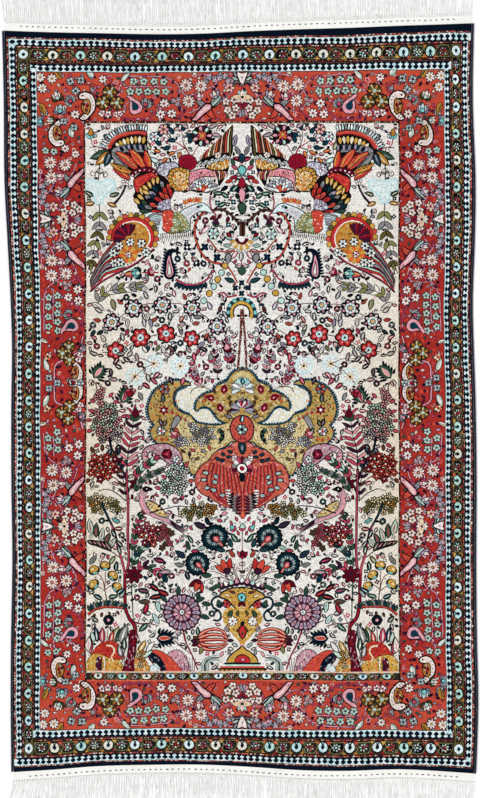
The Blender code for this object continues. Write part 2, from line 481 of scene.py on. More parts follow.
def drop(top, wide, level, foot, dye, line):
    # a smooth four-cornered form on the axis, widest at the given level
    return edged(smooth([(0, top), (wide, level), (0, foot), (-wide, level)], True, 2), dye, line)


def curl(radius, turns, width, start=0.0):
    # a spiral that winds in to its end
    t = np.linspace(0, 1, 10)
    r = radius * (1 - 0.72 * t)
    p = polar(r, start + 360 * turns * t) - polar(np.array([radius]), np.array([start]))
    return ribbon(p, width, width * 0.8, 2)


def sprig(points, leafLength, leafWidth, pitch, dyesInTurn, stalk, width, lean, taper):
    # a stalk with a pair of leaves at each step along it and one at its end
    path = smooth(points, False, 6)
    steps = np.linalg.norm(np.diff(path, axis=0), axis=1)
    run = np.concatenate([[0], np.cumsum(steps)])
    total = run[-1]
    count = max(1, int(total / pitch))
    shapes = [(ribbon(points, width, width * 0.6), stalk)]
    for k in range(count):
        at = total * (k + 0.8) / count
        if at > total:
            continue
        x, y = np.interp(at, run, path[:, 0]), np.interp(at, run, path[:, 1])
        i = min(np.searchsorted(run, at), len(path) - 1)
        d = path[i] - path[max(i - 1, 0)]
        heading = math.degrees(math.atan2(d[1], d[0])) - 90
        scale = 1 - (1 - taper) * k / count
        blade = leaf(leafLength * scale, leafWidth * scale, dyesInTurn[k % len(dyesInTurn)], line=0.34)
        for side in (-1, 1):
            shapes += move(blade, (x, y), turn=heading + side * lean)
    d = path[-1] - path[-3]
    heading = math.degrees(math.atan2(d[1], d[0])) - 90
    return shapes + move(leaf(leafLength * taper, leafWidth * taper, dyesInTurn[0]), path[-1], turn=heading)


def chartPoints(points):
    # chart columns and rows as squares from the chart's centre, with y up
    return np.array([(column - chart["centreColumn"], chart["centreRow"] - row) for column, row in points],
                    float)


class Cartoon:
    # the shapes of one piece, in drawing order, in squares from the chart's centre
    def __init__(self):
        self.shapes = []

    def add(self, shapes, mirrored=True):
        # shapes as they stand, and their mirror images
        self.shapes += shapes
        if mirrored:
            self.shapes += [(p * (-1, 1), dye) for p, dye in shapes]

    def put(self, motif, column, row, turn=0.0, mirrored=False, squash=1.0):
        # a motif at a column and row of the chart
        at = (column - chart["centreColumn"], chart["centreRow"] - row)
        self.add(move(motif, at, 1.0, turn, squash=squash), mirrored)

    def pair(self, motif, column, row, turn=0.0, squash=1.0):
        # the same, with its mirror image
        self.put(motif, column, row, turn, True, squash)

    def line(self, points, width, dye, tip=None, mirrored=True):
        # a ribbon through columns and rows
        self.add([(ribbon(chartPoints(points), width, tip), dye)], mirrored)

    def stem(self, points, *looks):
        # the same line once for each (width, dye, tip)
        for width, dye, tip in looks:
            self.line(points, width, dye, tip)

    def onStrip(self, motif, side, along, out, size=1.0, turn=0.0, flip=False):
        # a motif on one side of a band, drawn for the head and turned by quarters: side 0 is the head,
        # then left, foot and right
        self.shapes += move(move(motif, (along, out), size, turn, flip), turn=side * 90)


# The bands: each one's width in squares at the sides, head and foot, from the rug's edge inwards.
bandTable = (
    # name          side  head  foot  ground
    ("edge", 1.6, 6.5, 4.3, "navy"),
    ("edgePink", 1.5, 1.2, 1.0, "brown"),
    ("edgeInk", 0.5, 0.6, 0.4, "ink"),
    ("outerGuard", 6.0, 7.4, 7.2, "sky"),
    ("guardPink", 0.8, 1.2, 1.5, "brown"),
    ("guardInk", 0.6, 0.7, 0.5, "ink"),
    ("minor", 9.6, 12.4, 13.0, "umber"),
    ("minorInk", 0.5, 0.6, 0.5, "ink"),
    ("minorLight", 0.4, 0.6, 1.0, "brown"),
    ("minorDark", 0.6, 0.8, 0.7, "ink"),
    ("minorPink", 0.3, 0.9, 0.5, "brown"),
    ("innerGuard", 5.4, 7.8, 7.8, "sky"),
    ("mainEdge", 0.5, 0.7, 0.7, "ink"),
    ("main", 44.4, 49.2, 47.7, "brick"),
    ("pole", 1.6, 2.0, 0.0, "ink"),
    ("footBand", 0.0, 0.0, 8.8, "umber"),
    ("fieldLine", 0.3, 0.4, 1.1, "peach"),
    ("field", 0.0, 0.0, 0.0, "ivory"),
)


def bandRects():
    # nested rectangles (left, right, foot, head), one for each band's outer edge
    rects, side, head, foot = {}, 0.0, 0.0, 0.0
    for name, s, h, f, _ in bandTable:
        rects[name] = (-chart["halfAcross"] + side, chart["halfAcross"] - side,
                       -chart["halfAlong"] + foot, chart["halfAlong"] - head)
        side, head, foot = side + s, head + h, foot + f
    return rects


rects = bandRects()
bandGround = {row[0]: row[4] for row in bandTable}
bandOrder = [row[0] for row in bandTable]


def rectLoop(rect):
    # points round a rectangle, anticlockwise, evenly spaced on each side
    left, right, foot, head = rect
    step = 5.0
    nu = max(1, int(round((right - left) / step)))
    nv = max(1, int(round((head - foot) / step)))
    us, vs = np.linspace(left, right, nu + 1), np.linspace(foot, head, nv + 1)
    return np.vstack([
        np.column_stack([us[:-1], np.full(nu, foot)]),
        np.column_stack([np.full(nv, right), vs[:-1]]),
        np.column_stack([us[::-1][:-1], np.full(nu, head)]),
        np.column_stack([np.full(nv, left), vs[::-1][:-1]]),
    ])


def rectShape(band):
    # a band's outer edge, filled with its ground
    return (rectLoop(rects[band]), bandGround[band])


def within(points, rect):
    # which points lie inside a rectangle
    return ((points[:, 0] > rect[0]) & (points[:, 0] < rect[1])
            & (points[:, 1] > rect[2]) & (points[:, 1] < rect[3]))


def edgesHold(a, b, points):
    # which points lie inside the form whose edges run from a to b, by counting the edges to their right
    rise = b[:, 1] - a[:, 1]
    rise = np.where(np.abs(rise) < 1e-12, 1e-12, rise)
    inside = np.zeros(len(points), bool)
    for block in np.array_split(np.arange(len(points)), max(1, len(points) // 500)):
        x, y = points[block, 0][:, None], points[block, 1][:, None]
        cross = a[:, 0] + (y - a[:, 1]) * (b[:, 0] - a[:, 0]) / rise
        inside[block] = np.sum(((a[:, 1] > y) != (b[:, 1] > y)) & (cross > x), axis=1) % 2 == 1
    return inside


def holds(outline, points):
    # which points a closed outline holds
    return edgesHold(outline, np.roll(outline, -1, 0), points)


def signedArea(p):
    # half the sum of the cross products of neighbouring points; above zero when anticlockwise
    return 0.5 * np.sum(p[:, 0] * np.roll(p[:, 1], -1) - np.roll(p[:, 0], -1) * p[:, 1])


def triangulate(outlines, loose):
    # every outline is a constraint; each triangle gets the last outline that holds it
    points, faces = [], []
    start = 0
    for p in outlines:
        if signedArea(p) < 0:
            p = p[::-1]
        points.append(p)
        faces.append(list(range(start, start + len(p))))
        start += len(p)
    if len(loose):
        points.append(np.asarray(loose))
    flat = [Vector(p) for p in np.concatenate(points).tolist()]
    verts, _, tris, _, _, ids = delaunay_2d_cdt(flat, [], faces, 1, 1e-5, True)
    verts = np.array([(v[0], v[1]) for v in verts])
    tris = np.array(tris, int)
    counts = np.array([len(i) for i in ids])
    owner = np.repeat(np.arange(len(tris)), counts)
    flatIds = np.array([k for i in ids for k in i], int)
    centre = verts[tris].mean(1)
    low = np.array([p.min(0) for p in outlines]) - 1e-3
    high = np.array([p.max(0) for p in outlines]) + 1e-3
    sound = np.all((centre[owner] >= low[flatIds]) & (centre[owner] <= high[flatIds]), axis=1)
    top = np.full(len(tris), -1)
    np.maximum.at(top, owner[sound], flatIds[sound])
    return verts, tris, top


pile = {
    "height": 0.0078, "rounding": 0.0026,       # metres: how high the pile stands, the radius of its edge
    "rise": 0.00045,                            # metres of slow rise and dip
    "foot": 0.00268,                            # where the slabs stand on the woven ground
    "lattice": 8.0,                             # squares between the points that carry the rise
    "stray": 0.36, "strayPitch": 1.7,           # squares that knots sit off their place, and how finely
    "back": (206, 196, 176),
}


def pileHeight(u, v):
    # three slow waves over the pile's height, rounded off by a circle at the rug's own edge
    x, y = u * chart["square"], v * chart["square"]
    waves = (np.sin(7.1 * x + 2.3 * y + 0.4) + np.sin(4.3 * y - 3.1 * x + 1.7) * 0.9
             + np.sin(15 * y + 6 * x) * 0.35)
    rim = np.minimum(chart["halfAcross"] - np.abs(u), chart["halfAlong"] - np.abs(v)) * chart["square"]
    radius = pile["rounding"]
    roundOff = radius - np.sqrt(np.maximum(radius**2 - np.clip(radius - rim, 0, None) ** 2, 0))
    return pile["height"] + pile["rise"] * waves - np.clip(roundOff, 0, radius)


def slab(name, shapes, outer, inner=None, spacing=pile["lattice"]):
    # a closed slab of pile: drawn skin on top, upright walls, plain underside
    outlines = [rectLoop(outer)] + [p for p, _ in shapes]
    tones = [shapes[0][1]] + [dye for _, dye in shapes]
    us = np.arange(outer[0] + spacing * 0.6, outer[1] - 1, spacing)
    vs = np.arange(outer[2] + spacing * 0.6, outer[3] - 1, spacing)
    grid = np.array([(u, v) for u in us for v in vs]).reshape(-1, 2)
    if inner is not None:
        outlines.append(rectLoop(inner))
        grid = grid[~within(grid, inner)]
    verts, tris, top = triangulate(outlines, grid)
    centre = verts[tris].mean(1)
    keep = within(centre, outer)
    if inner is not None:
        keep &= ~within(centre, inner)
    tris, top = tris[keep], np.maximum(top[keep], 0)
    used, tris = np.unique(tris, return_inverse=True)
    verts, tris = verts[used], tris.reshape(-1, 3)
    toneIndex = np.array([dyeNames.index(t) for t in tones])
    tone = toneIndex[np.minimum(top, len(tones) - 1)]
    steps = (verts - (outer[0] + spacing * 0.6, outer[2] + spacing * 0.6)) / spacing
    onGrid = np.all(np.abs(steps - np.round(steps)) < 1e-4, axis=1)
    verts, tris, tone = fewer(verts, tris, tone, onGrid)
    colours = dyeTable[tone] * fieldTint(name, verts[tris].mean(1), tone)
    near = np.minimum.reduce([verts[:, 0] - outer[0], outer[1] - verts[:, 0],
                              verts[:, 1] - outer[2], outer[3] - verts[:, 1]])
    if inner is not None:
        away = np.maximum(np.maximum(inner[0] - verts[:, 0], verts[:, 0] - inner[1]),
                          np.maximum(inner[2] - verts[:, 1], verts[:, 1] - inner[3]))
        near = np.minimum(near, np.abs(away))
    verts = verts + stray(verts) * np.clip(near / 1.5, 0, 1)[:, None]
    return closeSlab(name, verts, tris, colours)


def stray(p):
    # how far each knot sits from its drawn place, by a table of random steps read between its entries
    table = np.random.default_rng(97).uniform(-pile["stray"], pile["stray"], (128, 128, 2))
    q = p / pile["strayPitch"]
    cell = np.floor(q).astype(int)
    share = (q - cell)[:, :, None]
    corner = lambda i, j: table[(cell[:, 0] + i) % 128, (cell[:, 1] + j) % 128]
    low = corner(0, 0) * (1 - share[:, 0]) + corner(1, 0) * share[:, 0]
    high = corner(0, 1) * (1 - share[:, 0]) + corner(1, 1) * share[:, 0]
    return low * (1 - share[:, 1]) + high * share[:, 1]


tints = {
    "sides": (0.05, 0.14, 0.28),                # taken off the field's light towards its sides
    "medallion": (0.84, 0.97, 1.08),            # on the medallion's warm dyes
    "sideReds": (0.16, 0.05, 0.05),             # taken off the border's reds along its sides
    "endReds": (0.2, 1.7, 1.1),                 # added to them at its ends
    "lights": (0.93, 0.82, 0.8),                # on the border's light dyes
}


def isDyed(tone, *names):
    # which faces carry one of the named dyes
    return np.isin(tone, [dyeNames.index(name) for name in names])


def fieldTint(name, where, tone):
    # cream towards the field's sides; in the border duller whites, and coral towards its ends
    u, v = np.abs(where[:, 0]) / chart["halfAcross"], where[:, 1] / chart["halfAlong"]
    tint = np.ones((len(where), 3))
    if "Field" in name:
        warm = np.clip((u - 0.3) / 0.36, 0, 1) * np.exp(-((v + 0.1) / 0.5) ** 2) + 0.2 * np.clip(-v - 0.2,
                0, 1)
        tint -= warm[:, None] * tints["sides"]
        hot = (u < 0.42) & (v < 0.07) & (v > -0.31) & isDyed(tone, "mustard", "salmon", "coral", "ember")
        tint[hot] *= tints["medallion"]
    if "Main" in name:
        red = isDyed(tone, "brick", "garnet", "red")
        end = np.clip(np.abs(v) * 6 - 4.0, 0, 1) * red
        tint -= (red - end)[:, None] * tints["sideReds"]
        tint += end[:, None] * tints["endReds"]
        tint[dyeTable[tone].min(1) > 0.4] *= tints["lights"]
    return tint


def fewer(verts, tris, tone, keepPoints):
    # the same picture with no edge left between triangles of one dye, apart from the kept points: the
    # seams between dyes are triangulated anew, and each dye spreads from its seams face by face
    n = len(verts)
    a, b = tris.ravel(), np.roll(tris, -1, axis=1).ravel()
    halfTone = np.repeat(tone, 3)
    edge, of = np.unique(np.minimum(a, b) * n + np.maximum(a, b), return_inverse=True)
    sides = np.full((len(edge), 2), -1)             # dye to the left going up the edge, and coming back
    sides[of[a < b], 0] = halfTone[a < b]
    sides[of[a > b], 1] = halfTone[a > b]
    seam = sides[:, 0] != sides[:, 1]
    sides, ends = sides[seam], np.column_stack([edge[seam] // n, edge[seam] % n])
    keep = keepPoints.copy()
    keep[ends.ravel()] = True
    place = np.cumsum(keep) - 1
    flat = verts[keep]
    out, links, faces, _, linkIds, _ = delaunay_2d_cdt(
        [Vector(p) for p in flat.tolist()], place[ends].tolist(), [], 0, 1e-7, True)
    out, faces, links = np.array([(p[0], p[1]) for p in out]), np.array(faces, int), np.array(links, int)
    drawn = np.array([len(k) > 0 for k in linkIds])
    first = np.array([k[0] for k in linkIds if len(k)], int)
    links = links[drawn]
    along = verts[ends[first, 1]] - verts[ends[first, 0]]
    same = np.sum((out[links[:, 1]] - out[links[:, 0]]) * along, axis=1) > 0
    m = len(out)
    key = np.concatenate([links[:, 0] * m + links[:, 1], links[:, 1] * m + links[:, 0]])
    dye = np.concatenate([np.where(same, sides[first, 0], sides[first, 1]),
                          np.where(same, sides[first, 1], sides[first, 0])])
    rank = np.argsort(key)
    key, dye = key[rank], dye[rank]
    fa, fb = faces.ravel(), np.roll(faces, -1, axis=1).ravel()
    half, other = fa * m + fb, fb * m + fa
    spot = np.minimum(np.searchsorted(key, half), len(key) - 1)
    onSeam = key[spot] == half
    found = np.where(onSeam, dye[spot], -1).reshape(-1, 3).max(1)
    rank = np.argsort(half)
    at = np.minimum(np.searchsorted(half[rank], other), len(rank) - 1)
    twin = np.where(half[rank][at] == other, rank[at], -1)
    neighbour = np.where((twin >= 0) & ~onSeam, twin // 3, -1).reshape(-1, 3)
    for _ in range(400):
        near = np.where(neighbour >= 0, found[neighbour], -1).max(1)
        changed = (found < 0) & (near >= 0)
        if not changed.any():
            break
        found[changed] = near[changed]
    return out, faces[found >= 0], found[found >= 0]


def closeSlab(name, verts, tris, colours):
    # the skin at its height, walls down from its rim and a plain underside, as one closed piece
    n = len(verts)
    ends = np.concatenate([tris[:, [0, 1]], tris[:, [1, 2]], tris[:, [2, 0]]])
    rim = ends[~np.isin(ends[:, 0] * n + ends[:, 1], ends[:, 1] * n + ends[:, 0])]
    rimVerts = np.unique(rim)
    rimIndex = np.full(n, -1)
    rimIndex[rimVerts] = np.arange(len(rimVerts))
    walls = np.column_stack([rim[:, 1], rim[:, 0], n + rimIndex[rim[:, 0]], n + rimIndex[rim[:, 1]]])
    flat = verts[rimVerts]
    pairs = [tuple(e) for e in rimIndex[rim].tolist()]
    _, _, bottom, _, _, _ = delaunay_2d_cdt([Vector(p) for p in flat.tolist()], pairs, [], 0, 1e-7, True)
    bottom = np.array(bottom, int)
    corners = flat[bottom]
    turned = np.cross(corners[:, 1] - corners[:, 0], corners[:, 2] - corners[:, 0])
    sound = edgesHold(verts[rim[:, 0]], verts[rim[:, 1]], corners.mean(1)) & (np.abs(turned) > 1e-9)
    bottom, turned = bottom[sound], turned[sound]
    bottom[turned > 0] = bottom[turned > 0][:, ::-1]
    x, y = toRug(verts[:, 0], verts[:, 1])
    points = np.vstack([np.column_stack([x, y, pileHeight(verts[:, 0], verts[:, 1])]),
                        np.column_stack([x[rimVerts], y[rimVerts], np.full(len(rimVerts), pile["foot"])])])
    back = np.repeat(linear(pile["back"])[None, :], len(walls) + len(bottom), axis=0)
    print(f"rug: {name} has {len(tris) + 2 * len(walls) + len(bottom)} triangles")
    return makeMesh(name, points, [tris, walls, bottom + n], True, np.vstack([colours, back]),
                    unwrap(points, n))


# Guards: light and navy spades that fit into each other.
guard = {"pitch": 6.15, "tones": ("sky", "ice", "sky", "ice", "ice")}

spade = np.array([
    (-0.5, 0), (0.5, 0), (0.44, 0.19), (0.17, 0.3), (0.16, 0.42), (0.38, 0.54), (0.38, 0.7), (0.16, 0.88),
    (0, 0.93), (-0.16, 0.88), (-0.38, 0.7), (-0.38, 0.54), (-0.16, 0.42), (-0.17, 0.3), (-0.44, 0.19),
])


def stripOf(side, rect):
    # half the strip's length, and how far its inner edge is from the centre
    left, right, foot, head = rect
    return {0: (right, head), 1: (head, -left), 2: (right, -foot), 3: (head, right)}[side]


def turnedOver(points, isOver):
    # the same form upside down within a depth of one, where asked for
    return (points * (1, -1) + (0, 1))[::-1] if isOver else points


def drawGuard(cartoon, band, inside, chance, outward):
    # round the band, a light cell for each pitch, then a dark spade on each cell
    outer, inner = rects[band], rects[inside]
    for side in range(4):
        inDistance = stripOf(side, inner)[1]
        depth = stripOf(side, outer)[1] - inDistance
        low, high = (outer[0], outer[1]) if side in (0, 2) else (inner[2], inner[3])
        if side in (2, 3):
            low, high = -high, -low
        count = int(round((high - low) / guard["pitch"]))
        pitch = (high - low) / count
        for k in range(count):
            tone = guard["tones"][int(chance.integers(len(guard["tones"])))]
            cell = turnedOver(np.array([(0, 0.14), (0.94, 0.14), (0.94, 1), (0, 1)]), outward)
            cartoon.onStrip([(cell * (pitch, depth), tone)], side, low + (k + 0.5) * pitch, inDistance)
        for k in range(count):
            tone = "navy" if chance.random() < 0.75 else "midnight"
            shape = turnedOver(spade * (pitch * chance.uniform(1.0, 1.12), chance.uniform(0.95, 1.04)),
                               outward)
            cartoon.onStrip([(shape * (1, depth), tone)], side, low + (k + 0.5) * pitch, inDistance)


def specks(cartoon, band, inside, chance):
    # single off-tone knots strewn along a thin line
    for side in range(4):
        outer, inner = rects[band], rects[inside]
        halfLength, outDistance = stripOf(side, inner)
        depth = stripOf(side, outer)[1] - outDistance
        for along in np.arange(-halfLength + 2, halfLength - 2, 2.4):
            if chance.random() < 0.12:
                continue
            size = chance.uniform(1.0, 2.1)
            tone = ("peach", "salmon", "pearl", "ink", "peach", "rose", "salmon",
                    "plum")[int(chance.integers(8))]
            dash = np.array([(-0.5, 0.1), (0.5, 0.1), (0.5, 0.9), (-0.5, 0.9)]) * (size, depth)
            cartoon.onStrip([(dash, tone)], side, along + chance.uniform(-1, 1), outDistance)


def buildBands(name, first, past, seed):
    # the thin bands from the first one inwards, each with its lines, specks or guard
    cartoon = Cartoon()
    chance = np.random.default_rng(seed)
    for k in range(bandOrder.index(first), bandOrder.index(past)):
        band, inside = bandOrder[k], bandOrder[k + 1]
        cartoon.shapes.append(rectShape(band))
        if band == "edge":
            left, right, foot, head = rects[band]
            for inset in (0.3, 0.9):
                loop = rectLoop((left + inset, right - inset, foot + inset, head - inset))
                cartoon.shapes.append((loop, "navy"))
        if band in ("edgePink", "edgeInk", "guardPink", "minorLight"):
            specks(cartoon, band, inside, chance)
        if band in ("outerGuard", "innerGuard"):
            drawGuard(cartoon, band, inside, chance, band == "innerGuard")
    return slab(name, cartoon.shapes, rects[first], rects[past])


# Minor border: shields and rings of knots in turn.
minorBorder = {"pitch": 26.2, "depth": 13.2, "footPitch": 24.8}      # squares that one repeat is drawn in


def flecks(count, low, high, chance):
    # single knots of many dyes, strewn over a dark ground
    tones = ("orange", "straw", "mint", "moss", "grey", "salmon", "mint")
    across = chance.uniform(-1, 1, count) * (high[0] - low[0]) / 2 + (high[0] + low[0]) / 2
    spots = np.column_stack([across, chance.uniform(low[1], high[1], count)])
    return [(oval(0.5, 0.45, 4, spot, 45 * k), tones[int(chance.integers(7))]) for k,
            spot in enumerate(spots)]


def shieldUnit(chance):
    # a round light shield with a dark spade on two feet, drawn up from its inner edge
    light = ("sky", "ice", "mint", "pearl", "mint")[int(chance.integers(5))]
    dark = ("midnight", "teal", "navy")[int(chance.integers(3))]
    shapes = []
    for side in (-1, 1):
        bent = np.array([(5.4, 0.6), (9.0, 5.6), (5.0, 12.6)]) * (side, 1)
        shapes.append((ribbon(bent, 0.6, 0.5, 1), "moss"))
        corner = np.array([(3.4, 12.7), (7.4, 12.7), (5.8, 9.8)]) * (side, 1)
        shapes.append((corner, "garnet" if chance.random() < 0.5 else "ochre"))
        foot = np.array([(3.0, 0.5), (8.0, 0.5), (5.8, 3.8)]) * (side, 1)
        shapes.append((foot, ("orange", "gold", "coral")[int(chance.integers(3))]))
    shapes += flecks(7, (-9, 1), (9, 12), chance)
    disc = smooth([(-2.0, 1.8), (-4.0, 3.4), (-4.6, 6.6), (-3.2, 9.6), (0, 11.0), (3.2, 9.6), (4.6, 6.6),
                   (4.0, 3.4),
                   (2.0, 1.8), (0, 1.5)], True, 2)
    shapes += edged(disc, light, 0.5, "ink")
    top = smooth([(-0.7, 4.2), (-1.7, 5.4), (-1.5, 7.0), (0, 8.6), (1.5, 7.0), (1.7, 5.4), (0.7, 4.2)],
                 True, 2)
    shapes.append((top, dark))
    feet = np.array([(-0.55, 4.8), (-2.0, 1.2), (-1.0, 1.2), (0, 2.9), (1.0, 1.2), (2.0, 1.2), (0.55, 4.8)])
    return shapes + [(feet, dark)]


def arbourUnit(chance):
    # a ring of small knots in a thin six-sided frame
    border = np.array([(-7.4, 1.0), (-8.2, 6.4), (-5.2, 11.8), (0, 12.6), (5.2, 11.8), (8.2, 6.4),
                       (7.4, 1.0)])
    shapes = [(border, "moss"), (grow(border, -0.55), "umber" if chance.random() < 0.6 else "ink")]
    shapes += flecks(11, (-6.6, 1.8), (6.6, 11.4), chance)
    tones = ("mint", "rose", "salmon", "lilac", "pearl", "sky")
    tone = tones[int(chance.integers(6))]
    for k in range(7):
        at = polar(3.0, 360 / 7 * k) + (0, 6.2)
        shapes.append((oval(1.0, 0.72, 6, at, 360 / 7 * k),
                       tone if k % 2 else tones[int(chance.integers(6))]))
    shapes.append((oval(1.1, 1.1, 6, (0, 6.2)), "garnet" if chance.random() < 0.5 else "mint"))
    return shapes


def drawMinor(cartoon, chance):
    # shields and rings in turn along the middle of each side, with the corners left free
    outer, inner = rects["minor"], rects["minorInk"]
    for side in (1, 3, 0, 2):
        inDistance = stripOf(side, inner)[1]
        depth = stripOf(side, outer)[1] - inDistance
        middle, halfLength = 0.0, inner[1] + (outer[1] - inner[1]) / 2
        if side in (1, 3):
            middle = (outer[2] + outer[3] + inner[2] + inner[3]) / 4
            halfLength = (outer[3] - outer[2] + inner[3] - inner[2]) / 4
        count = int(round(2 * halfLength / minorBorder["pitch"]))
        pitch = 2 * halfLength / count
        scale = (pitch / minorBorder["pitch"], depth / minorBorder["depth"])
        shift = -middle if side == 3 else middle
        for k in range(1, 2 * count):
            unit = shieldUnit(chance) if k % 2 == 0 else arbourUnit(chance)
            unit = [(p * scale, dye) for p, dye in unit]
            cartoon.onStrip(unit, side, shift - halfLength + k * pitch / 2, inDistance)


def buildMinorBorder():
    # the minor border with a round figure in each corner
    cartoon = Cartoon()
    cartoon.shapes.append(rectShape("minor"))
    drawMinor(cartoon, np.random.default_rng(5))
    outer, inner = rects["minor"], rects["minorInk"]
    for u in (0, 1):
        for v in (2, 3):
            wide, deep = abs(outer[u] - inner[u]) / 2, abs(outer[v] - inner[v]) / 2
            cell = np.array([(-1, -1), (1, -1), (1, 1), (-1, 1)]) * (wide, deep) * 0.96
            shapes = [(cell, "olive")]
            for across, along, count, dye in ((0.96, 0.82, 14, "midnight"), (0.86, 0.72, 14, "ice"),
                                              (0.5, 0.42, 10, "sky"), (0.32, 0.3, 8, "midnight")):
                shapes.append((oval(wide * across, deep * along, count), dye))
            cartoon.shapes += move(shapes, ((outer[u] + inner[u]) / 2, (outer[v] + inner[v]) / 2))
    return slab("pileMinorBorder", cartoon.shapes, rects["minor"], rects["minorInk"])


# Main border: one run of flowers from each star, to either side.
def birdBody(outline, dye, back):
    # an edged body with a lighter middle
    shapes = edged(smooth(outline, True, 3), dye, 0.7)
    return shapes + [(grow(smooth(outline, True, 3), -1.5), back)]


def roundBird(back, wing):
    # a bird curled round its wing, head up, about 27 tall, bowed to the right
    outline = [(-4.4, 13.0), (1.4, 13.2), (6.4, 9.0), (8.0, 2.4), (7.0, -4.2), (3.4, -9.8), (-1.8, -14.4),
               (-6.6, -12.8),
               (-2.4, -8.6), (0.8, -4.0), (1.6, 1.2), (0.0, 5.6), (-3.0, 7.2), (-6.8, 7.6), (-7.4, 10.8)]
    shapes = edged(np.array([(-6.6, 11.4), (-10.6, 8.6), (-6.4, 8.6)]), "gold", 0.4)
    shapes += birdBody(outline, back, "ivory") + [(oval(1.1, 1.0, 7, (-4.4, 10.4)), "ink")]
    feather = smooth([(0.6, 6.6), (-3.6, 4.2), (-5.0, -0.8), (-3.2, -6.0), (1.0, -8.6), (2.8, -3.0),
                      (2.6, 3.0)], True, 2)
    shapes += edged(feather, wing, 0.5) + [(grow(feather, -1.3), "brick")]
    for x, y, turn, tone in ((-0.6, 3.6, 20, "mint"), (0.4, -0.4, -10, "maroon"), (-1.8, -1.4, 30, "straw"),
                             (-0.6, -5.0, 0, "green"), (-2.2, 1.6, 50, "plum")):
        shapes += move(leaf(3.2, 1.5, tone, 0.2, None, 0.25), (x, y - 1.2), turn=turn)
    for x, y in ((-4.4, -12.2), (-2.4, -10.4), (-0.2, -8.6)):
        shapes.append((ribbon([(x - 1.6, y + 1.6), (x + 1.9, y - 1.9)], 0.7, 0.6, 1), "ink"))
    for x, y in ((4.2, 8.2), (5.8, 4.6), (6.0, 0.4), (5.4, -3.4), (3.6, -6.8)):
        shapes.append((oval(0.6, 0.7, 5, (x, y)), "plum"))
    return shapes


def longTailBird():
    # a flying bird on a slant: three tail feathers up, two wings, head down
    shapes = []
    for at, dye in (((13.5, 8.5), "grey"), ((9.0, 13.5), "ice"), ((12.0, 11.4), "mint")):
        feather = ribbon([(0, 0), (at[0] * 0.5 + 0.6, at[1] * 0.5 - 0.6), at], 2.6, 3.0, 2)
        shapes += edged(feather, dye, 0.5)
        shapes.append((ribbon([(2, 1.6), at], 0.5, 0.5, 1), "ink"))
    for wing, dye in (([(-2, 1.2), (-6, 6.4), (-12.5, 7.0), (-9.0, 3.0), (-5, -1)], "grey"),
                      ([(-2.4, -3), (1.6, -9), (7.2, -10.2), (4.4, -5), (1.4, -1)], "coral")):
        shapes += edged(smooth(wing, True, 2), dye, 0.5)
        tip, root = np.array(wing[2]), np.array(wing[0])
        for k in (0.35, 0.6, 0.82):
            mid = root + (tip - root) * k
            shapes.append((oval(0.35, 1.6, 5, mid, math.degrees(math.atan2(*(tip - root)[::-1]))), "ink"))
    outline = [(2.4, 2.6), (-2.4, 3.0), (-6.4, -0.6), (-10.4, -4.8), (-13.6, -9.4), (-16.2, -12.4),
               (-12.0, -12.2), (-8.8, -9.6), (-4.4, -5.6), (1.6, -1.2)]
    shapes += edged(smooth(outline, True, 3), "pink", 0.7)
    shapes.append((ribbon([(0.6, 0.6), (-5, -2.2), (-10.4, -8)], 2.2, 1.4, 2), "ivory"))
    return shapes + [(oval(0.8, 0.7, 6, (-12.2, -9.6)), "ink")]


def calyx():
    # a white bloom held in a dark two-armed cup that opens outwards, on a plum stem
    shapes = [(ribbon([(0, -24), (0, -6)], 2.2, 2.0, 2), "ink"), (ribbon([(0, -24), (0, -6)], 0.9, 0.9, 2),
            "rose")]
    for side in (-1, 1):
        for k, (x, y, tone) in enumerate(((8.8, 6.4, "grey"), (9.6, 0.8, "mint"), (8.4, -4.6, "grey"))):
            arm = smooth(np.array([(0.4, -7.6 + k), (x * 0.55, y * 0.2 - 2.4), (x, y),
                                   (x * 0.6, y * 0.6 + 0.4)]) * (side, 1), True, 2)
            shapes += edged(arm, tone, 0.55)
    heart = smooth([(0, -5.6), (3.4, 1.0), (4.4, 6.4), (0, 4.6), (-4.4, 6.4), (-3.4, 1.0)], True, 2)
    return shapes + edged(heart, "white", 0.5) + [(oval(1.1, 2.0, 7, (0, 1.2)), "lilac")]


def starSpray():
    # the star on the axis, cream to the sides and white at head and foot, with its lilac bud below
    shapes = [(ribbon([(0, -16), (0, -3)], 2.0, 1.6, 2), "plum")]
    for side in (-1, 1):
        shapes.append((ribbon(np.array([(0, -7), (3.0, -3.6), (6.4, -2.4)]) * (side, 1), 1.1, 0.7, 2),
                       "plum"))
    over = []
    for turn, long, wide, tone in ((90, 8.8, 4.8, "cream"), (-90, 8.8, 4.8, "cream"),
                                   (32, 7.0, 3.2, "mint"), (-32, 7.0, 3.2, "mint"),
                                   (0, 6.6, 3.2, "white"), (140, 6.2, 3.0, "pearl"), (-140, 6.2, 3.0,
                                           "pearl"), (180, 5.0, 2.6, "white")):
        blade = leafOutline(long, wide) + (0, 0.9)
        shapes += move([(grow(blade, 0.6), "ink")], turn=turn)
        over += move([(blade, tone), (leafOutline(long * 0.4, 0.8) + (0, 1.6), "salmon")], turn=turn)
    shapes += over + [(oval(1.5, 1.5, 7), "ink")]
    for tilt, tone in ((-42, "pink"), (42, "pink"), (-14, "lilac"), (14, "grey")):
        shapes += move(leaf(8.2, 3.2, tone, 0.2, line=0.3, ink="plum"), (0, -12), turn=180 + tilt)
    for side in (-1, 1):
        shapes += move(leaf(5.6, 2.2, "crimson", 0.5 * side, line=0.3, ink="plum"), (0, -9), turn=68 * side)
    return shapes


